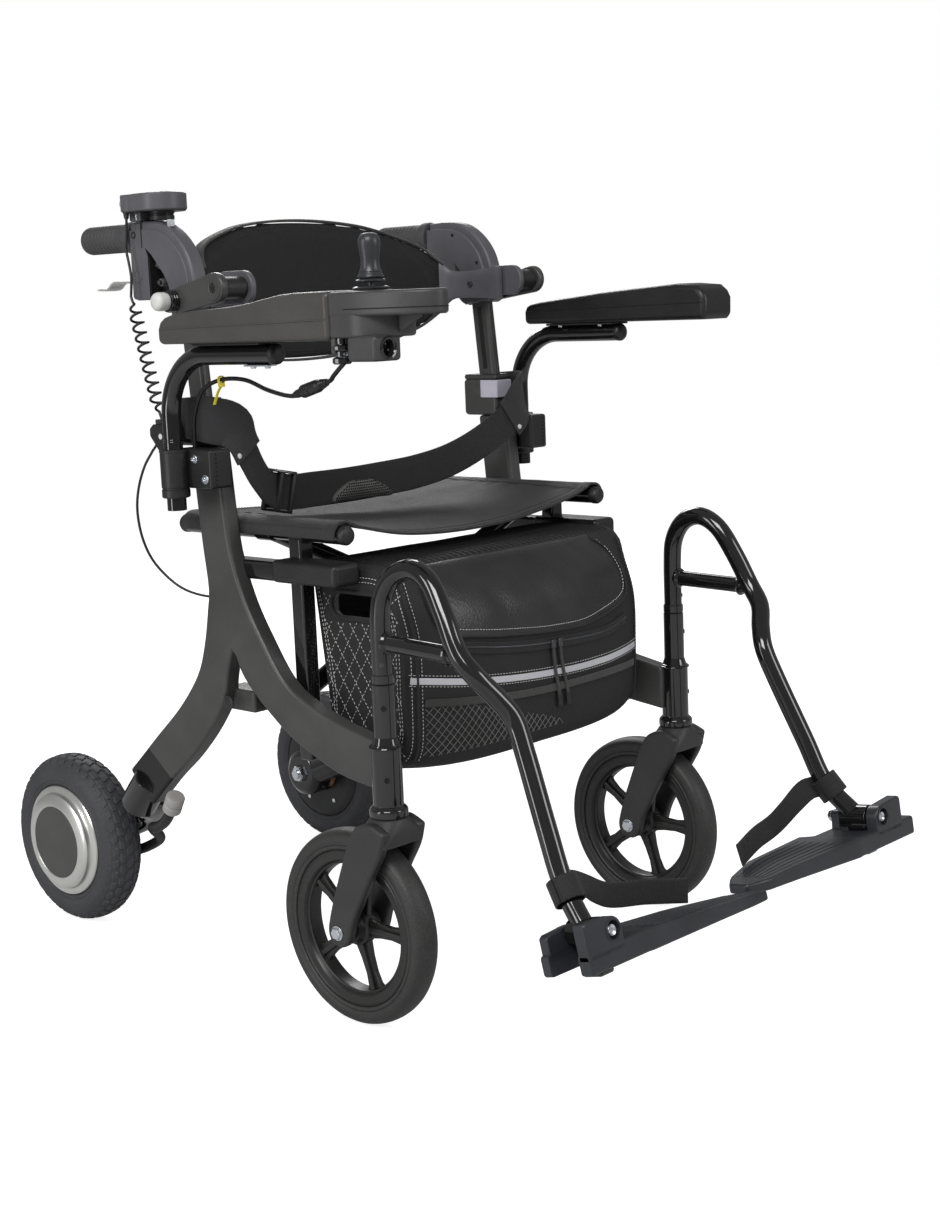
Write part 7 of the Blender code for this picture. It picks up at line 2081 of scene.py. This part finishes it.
def bag():
    """Sagging quilted bag: shell, windows, flap, zip, net pocket, piping, stripe, pulls and stitches."""
    rings = []
    stations = 56
    for i in range(stations + 1):
        t = -1 + 2 * i / stations
        edge = 1 - abs(t)
        shrink = -0.0015 - 0.0045 * max(0.0, 1 - edge / 0.035) ** 2
        ring = []
        for y, z in bag_ring(t, shrink):
            soft = noise.noise(Vector((t * 2.4, y * 16, z * 13))) * 0.0016
            fold = noise.noise(Vector((t * 7.0 + z * 16, y * 9, z * 30))) * 0.0009 * min(1.0, edge * 4)
            if z > 0.30 and z < 0.44:
                fold *= 1.6
            out = -1.0 if y < -0.225 else 1.0
            ring.append((BAG_X * t, y + out * min(0.0, soft + fold) * 1.0, z + min(0.0, soft) * 0.5))
        rings.append(ring)
    hollow = []
    for i in range(13):
        t = -1 + 2 * i / 12
        hollow.append([((BAG_X - 0.0045) * t, y, z) for y, z in bag_ring(t, -0.0075, 40)])
    window = block((-0.30, -0.2560, 0.4020), (0.30, -0.1860, 0.4260), "liner", 0.008, 4)
    shell = cut(loft(rings, "bag cloth", 50.0), loft(hollow, "liner", 50.0), window)
    skin = skin_of(shell)
    body = piece("bag_shell", [shell], "side_r", ["bag_body"], even=False)

    ahead, threads, trims = (0, 1, 0), [], []

    def on_front(points, lift=0.0010):
        return laid(skin, points, ahead, lift)

    flap_edge = [(-0.1500, 0.4520), (-0.1520, 0.4100), (-0.1400, 0.3860), (-0.1070, 0.3790),
                 (-0.0500, 0.3720),
                 (0.0080, 0.3670), (0.0600, 0.3660), (0.1000, 0.3720), (0.1360, 0.3800), (0.1500, 0.3900),
                 (0.1520, 0.4100), (0.1440, 0.4300), (0.1250, 0.4480)]
    edge_line = smooth_route([(x, -0.3, z) for x, z in flap_edge], 0.004)
    rows = []
    for k in range(15):
        share = k / 14
        row = []
        for i in range(61):
            spot = edge_line[int(i * (len(edge_line) - 1) / 60)]
            across = -0.1480 + 0.2740 * i / 60
            goal = Vector((spot.x + (across - spot.x) * share, -0.3, spot.z + (0.4500 - spot.z) * share))
            wave = 0.0006 * math.sin(goal.x * 90 + goal.z * 40) * (1 - share)
            hit = on_front([goal], 0.0022 + wave)
            row.append(hit[0] if hit else goal)
        rows.append(row)
    trims.append(shell_patch(rows, 0.0014, "leatherette"))
    trims.append(tube(on_front([(p.x, p.y, p.z) for p in edge_line], 0.0026), 0.0014, "webbing", 10))
    inner_line = [Vector((p.x * 0.955, p.y, p.z + 0.006)) for p in edge_line[4:-4]]
    threads.append(stitched(on_front(inner_line, 0.0036), "thread white", 0.0038, 0.0027, 0.0008))

    zip_line = smooth_route([(-0.1250, -0.3, 0.3700), (-0.0500, -0.3, 0.3590), (0.0300, -0.3, 0.3530),
                             (0.0990, -0.3, 0.3520), (0.1420, -0.3, 0.3600)], 0.004)
    tape = on_front(zip_line, 0.0012)
    trims.append(strap(tape, [(0, 0, 1)] * len(tape), 0.0120, 0.0012, "webbing"))
    threads.append(stitched(on_front([p + Vector((0, 0, 0.0008)) for p in zip_line], 0.0022), "steel dark",
                            0.0019,
                            0.0012, 0.0022))
    for rise in (-0.0050, 0.0050):
        threads.append(stitched(on_front([p + Vector((0, 0, rise)) for p in zip_line], 0.0021),
                                "thread black", 0.0036,
                                0.0027, 0.0008))
    for x, lean in ((0.0080, 0.0100), (0.0190, 0.0130)):
        cord_line = on_front(smooth_route([(x, -0.3, 0.3520), (x + lean * 0.3, -0.3, 0.3330),
                                           (x + lean, -0.3, 0.2960)],
                                          0.004), 0.0030)
        trims.append(strap(cord_line, [(1, 0, 0)] * len(cord_line), 0.0042, 0.0018, "binding"))
        end = cord_line[-1]
        trims.append(block(end + Vector((-0.0032, -0.0014, -0.0120)), end + Vector((0.0032, 0.0014, 0.0020)),
                           "black plastic", 0.0012))
        slider = cord_line[0]
        trims.append(block(slider + Vector((-0.0034, -0.0020, -0.0030)),
                           slider + Vector((0.0034, 0.0008, 0.0060)),
                           "steel dark", 0.0010))

    stripe = smooth_route([(-0.1800, -0.3, 0.3440), (-0.0900, -0.3, 0.3310), (0.0060, -0.3, 0.3225),
                           (0.0900, -0.3, 0.3210),
                           (0.1680, -0.3, 0.3255)], 0.004)
    lay = on_front(stripe, 0.0014)
    trims.append(strap(lay, [(0, 0, 1)] * len(lay), 0.0068, 0.0010, "reflective"))
    for rise in (0.0058, -0.0052):
        threads.append(stitched(on_front([p + Vector((0, 0, rise)) for p in stripe], 0.0012), "thread white",
                                0.0042,
                                0.0029, 0.0008))
    for x in (-0.1745, 0.1700):
        seam = on_front(between((x, -0.3, 0.2620), (x, -0.3, 0.4440)), 0.0010)
        trims.append(tube(seam, 0.0016, "webbing", 10))
        for dx in (-0.0045, 0.0045):
            run = on_front(between((x + dx, -0.3, 0.2620), (x + dx, -0.3, 0.4440)), 0.0010)
            threads.append(stitched(run, "thread white" if x < 0 else "thread black", 0.0038, 0.0027, 0.0008))

    net = []
    for i in range(-9, 26):
        for slope in (-1, 1):
            start = -0.170 + i * 0.0092
            line = []
            for k in range(24):
                z = 0.2640 + 0.0520 * k / 23
                x = start + slope * (z - 0.2640) * 0.95 + (0.0 if slope > 0 else 0.0500)
                limit = 0.3360 - 0.10 * (x + 0.17) / 0.34 - 0.008
                if -0.168 < x < 0.165 and z < limit:
                    line.append((x, -0.3, z))
            if len(line) > 3:
                run = on_front(line, 0.0009)
                if len(run) > 3:
                    net.append(sweep(run, circle(0.00042, 5), "net grey", sharp=80.0))
    hem = on_front(smooth_route([(-0.1680, -0.3, 0.3200), (-0.0900, -0.3, 0.3120), (0.0060, -0.3, 0.3060),
                                 (0.1640, -0.3, 0.3060)], 0.004), 0.0016)
    net.append(strap(hem, [(0, 0, 1)] * len(hem), 0.0080, 0.0012, "binding"))

    side_ways = []
    for side in (-1, 1):
        toward = (-side, 0, 0)
        outline = [Vector((side * 0.3, y, z)) for y, z in bag_ring(0.985, -0.0140, 90)]
        loop = laid(skin, [*outline, outline[0]], toward, 0.0007)
        threads.append(stitched(loop, "thread white", 0.0042, 0.0029, 0.0008))
        inner = [Vector((side * 0.3, y, z)) for y, z in bag_ring(0.985, -0.0185, 90)]
        threads.append(stitched(laid(skin, [*inner, inner[0]], toward, 0.0007), "thread white", 0.0042,
                                0.0029, 0.0008))
        bounds_y, bounds_z = (-0.2740, -0.1700), (0.2660, 0.4380)
        for slope in (-1, 1):
            for i in range(-9, 17):
                line = []
                for k in range(60):
                    y = bounds_y[0] + (bounds_y[1] - bounds_y[0]) * k / 59
                    z = 0.2400 + 0.0270 * i + slope * (y - bounds_y[0]) * 1.50
                    in_window = -0.2620 < y < -0.1800 and 0.3960 < z < 0.4320
                    if bounds_z[0] < z < bounds_z[1] and not in_window:
                        line.append((side * 0.3, y, z))
                if len(line) > 4:
                    breaks = [j for j in range(1, len(line)) if abs(line[j][1] - line[j - 1][1]) > 0.004]
                    for a, b in zip([0, *breaks], [*breaks, len(line)]):
                        run = laid(skin, line[a:b], toward, 0.0005)
                        if len(run) > 2 and path_length(run) > 0.008:
                            threads.append(stitched(run, "thread white", 0.0044, 0.0028, 0.0007))
        rim = stadium((-0.2480, 0.4140), (-0.1940, 0.4140), 0.0135, 14)
        frame_line = laid(skin, [(side * 0.3, y, z) for y, z in [*rim, rim[0]]], toward, 0.0006)
        side_ways.append(tube(frame_line, 0.0024, "webbing", 12))
    top_net = []
    for i in range(40):
        x = -0.170 + 0.340 * i / 39
        run = laid(skin, between((x, -0.2560, 0.6), (x, -0.1600, 0.6), 0.006), (0, 0, -1), 0.0008)
        if len(run) > 2:
            top_net.append(sweep(run, circle(0.0005, 5), "webbing", sharp=80.0))
    things = {"bag_trim": trims, "bag_stitches": threads, "bag_net": [*net, *top_net],
              "bag_window_piping": side_ways}
    soft = [body]
    for name, items in things.items():
        soft.append(piece(name, items, "side_r",
                          even=False))
    for item in soft:
        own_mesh(item)


def shell_patch(rows, thick, look):
    """A thin closed patch over a grid of points, its thickness toward +Y."""
    shape = bmesh.new()
    layers = [[[shape.verts.new(Vector(p) + Vector((0, deep, 0))) for p in row] for row in rows]
              for deep in (0.0, thick)]
    high, wide = len(rows), len(rows[0])
    for layer in layers:
        for i in range(high - 1):
            for j in range(wide - 1):
                shape.faces.new((layer[i][j], layer[i][j + 1], layer[i + 1][j + 1], layer[i + 1][j]))
    border = [(0, j) for j in range(wide)] + [(i, wide - 1) for i in range(1, high)]
    border += [(high - 1, j) for j in range(wide - 2, -1, -1)] + [(i, 0) for i in range(high - 2, 0, -1)]
    for (a, b), (c, d) in zip(border, [*border[1:], border[0]]):
        shape.faces.new((layers[0][a][b], layers[0][c][d], layers[1][c][d], layers[1][a][b]))
    bmesh.ops.recalc_face_normals(shape, faces=shape.faces)
    return to_object(shape, look, 60.0)


def duplicate(thing):
    made = bpy.data.objects.new("piece", thing.data.copy())
    bpy.context.scene.collection.objects.link(made)
    return made


# cords

GLAND_TOP = Vector((-0.2520, -0.0100, 0.6040))
CORD_TOP = Vector((-0.2440, 0.0370, 0.8105))


def cord_through_gland():
    return smooth_route([GLAND_TOP, (-0.2520, -0.0110, 0.5930), (-0.2520, -0.0070, 0.5830),
                         (-0.2525, 0.0010, 0.5760), (-0.2525, 0.0080, 0.5700)], 0.003)


def control_cord():
    """The curly cord from the pod, through the gland and round to its clip on the frame."""
    radius, coil, curls, per_curl = 0.0014, 0.0060, 11, 24
    drop = smooth_route([CORD_TOP, (-0.2440, 0.0390, 0.7930), (-0.2440, 0.0410, 0.7780),
                         (-0.2440, 0.0380, 0.7640),
                         (-0.2445, 0.0350, 0.7500), (-0.2455, 0.0350, 0.7380), (-0.2465, 0.0350, 0.7300)],
                         0.003)
    start, end = Vector((-0.2470, 0.0320, 0.7240)), Vector((-0.2530, -0.0085, 0.6100))
    along = (end - start).normalized()
    across = along.cross(Vector((0, 1, 0))).normalized()
    other = along.cross(across)
    curl = []
    for i in range(curls * per_curl + 1):
        t = i / (curls * per_curl)
        a = math.tau * i / per_curl
        swell = coil * min(1.0, 12 * t, 12 * (1 - t))
        curl.append(start.lerp(end, t) + (across * math.cos(a) + other * math.sin(a)) * swell)
    inside = cord_through_gland()
    loop = smooth_route([inside[-1], (-0.2515, 0.0250, 0.5530), (-0.2480, 0.0420, 0.5300),
                         (-0.2430, 0.0540, 0.5050),
                         (-0.2360, 0.0590, 0.4770), (-0.2280, 0.0560, 0.4520), (-0.2190, 0.0460, 0.4330),
                         (-0.2110, 0.0280, 0.4180), (-0.2070, 0.0000, 0.4115), LOOP_END], 0.005)
    route = [*drop, *curl, *inside, *loop[1:]]
    cord = piece("control_cord_coiled", [tube(route, radius, "cord sheath", 10)], None,
                 ["control_cord"],
                 even=False)
    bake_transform(cord)


def joystick_lead():
    """The joystick's lead with its two-part plug and yellow tie, down to the armrest bracket."""
    knots = [(-0.2810, -0.3446, 0.6680), (-0.2805, -0.3300, 0.6670), (-0.2720, -0.3080, 0.6580),
             (-0.2620, -0.2850, 0.6480), (-0.2560, -0.2720, 0.6425), (-0.2520, -0.2400, 0.6340),
             (-0.2480, -0.2100, 0.6280), (-0.2420, -0.1690, 0.6330), (-0.2400, -0.1320, 0.6430),
             (-0.2400, -0.0940, 0.6430), (-0.2430, -0.0680, 0.6320), (-0.2455, -0.0560, 0.6080),
             (-0.2460, -0.0540, 0.5900), (-0.2460, -0.0540, 0.5743)]
    route = smooth_route(knots, 0.004)
    lead = piece("joystick_lead_cable", [tube(route, 0.0022, "cord sheath", 16)], None,
                 ["joystick_lead"],
                 even=False)
    rear, front = Vector((-0.2485, -0.2140, 0.6289)), Vector((-0.2555, -0.2685, 0.6417))
    half = (front - rear).length / 2
    profile = [(0.0, half), (0.0026, half), (0.0036, half - 0.0008)]
    for i in range(4):
        h = half - 0.0022 - 0.0022 * i
        profile += [(0.0038 + 0.0004 * i, h), (0.0032 + 0.0004 * i, h - 0.0006),
                    (0.0032 + 0.0004 * i, h - 0.0013)]
    profile += [(0.0060, half * 0.52), (0.0064, half * 0.46), (0.0064, half * 0.10), (0.0056, half * 0.08),
                (0.0056, half * 0.04), (0.0065, half * 0.02), (0.0065, -half * 0.40), (0.0058, -half * 0.46),
                (0.0044, -half * 0.50), (0.0040, -half * 0.80), (0.0030, 0.0008 - half), (0.0, -half)]
    plug = piece("joystick_lead_plug", [turned(profile, (front + rear) / 2, front - rear, "black plastic",
                                               32)],
                 "armrest_r", even=False)
    head = Vector((-0.2400, -0.0955, 0.6432))
    band = [head + Vector((0.0036 * math.cos(a), 0.0,
                           0.0036 * math.sin(a))) for a in (math.tau * i / 24 for i in range(24))]
    parts = [sweep(band, flat_section(0.0040, 0.0010, 4), "tie yellow", ways=[(0, 1, 0)] * 24, loop=True,
                   sharp=60.0)]
    parts.append(block(head + Vector((-0.0028, -0.0026, -0.0072)), head + Vector((0.0028, 0.0026, -0.0030)),
                       "tie yellow", 0.0006))
    tail = smooth_route([head + Vector((0, 0.0, -0.0060)), head + Vector((0, 0.0060, -0.0120)),
                         head + Vector((0, 0.0130, -0.0250))], 0.003)
    parts.append(strap(tail, [(1, 0, 0)] * len(tail), 0.0036, 0.0010, "tie yellow"))
    tie = piece("joystick_lead_tie", parts, "armrest_r", even=False)
    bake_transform(lead)


def motor_lead():
    """Two-part plug under the right leg, and the ribbed sleeve to the motor's shaft."""
    top, low = Vector((-0.2330, 0.0330, 0.1900)), Vector((-0.2310, 0.0460, 0.1700))
    long = (low - top).length
    shape = [(0.0, 0.0), (0.0070, 0.0), (0.0095, 0.0008), (0.0105, 0.0026), (0.0105, long * 0.45),
             (0.0098, long * 0.49),
             (0.0098, long * 0.55), (0.0105, long * 0.59), (0.0105, long - 0.0024), (0.0092, long - 0.0006),
             (0.0, long)]
    plug = piece("motor_lead_plug", [turned(shape, top, low - top, "plug grey", 48)], "side_r",
                 even=False)
    knots = [(-0.2312, 0.0446, 0.1720), (-0.2290, 0.0600, 0.1560), (-0.2200, 0.0860, 0.1430),
             (-0.2040, 0.1180, 0.1320), (-0.1760, 0.1440, 0.1080), (-0.1690, 0.1980, 0.0840),
             (-0.1650, 0.2274, 0.0865)]
    route = smooth_route(knots, 0.0011)
    scales = [1.0 + 0.055 * math.cos(math.tau * i / 4) for i in range(len(route))]
    sleeve = piece("motor_lead_sleeve", [tube(route, 0.0058, "cord sheath", 20, scales)], "side_r",
                   ["motor_lead"], even=False)


def battery():
    """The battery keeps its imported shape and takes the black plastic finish."""
    for node in ("battery_pack", ):
        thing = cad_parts[node]
        for spot in thing.material_slots:
            spot.material = FINISH["black plastic"]


def build():
    place_camera()
    studio()
    control_cord()
    joystick_lead()
    motor_lead()
    for side in SIDES:
        side_frame(side)
        height_clamp(side)
        seat_rail(side)
        front_wheel(side)
        rear_wheel(side)
        axle_arm(side)
        hanger(side)
        footplate(side)
        heel_strap(side)
        handle(side)
        backrest_arm(side)
        armrest(side)
    brace("a", "r")
    brace("b", "l")
    seat_fabric()
    backrest_band()
    control_box()
    joystick()
    belt()
    bag()
    battery()


build()
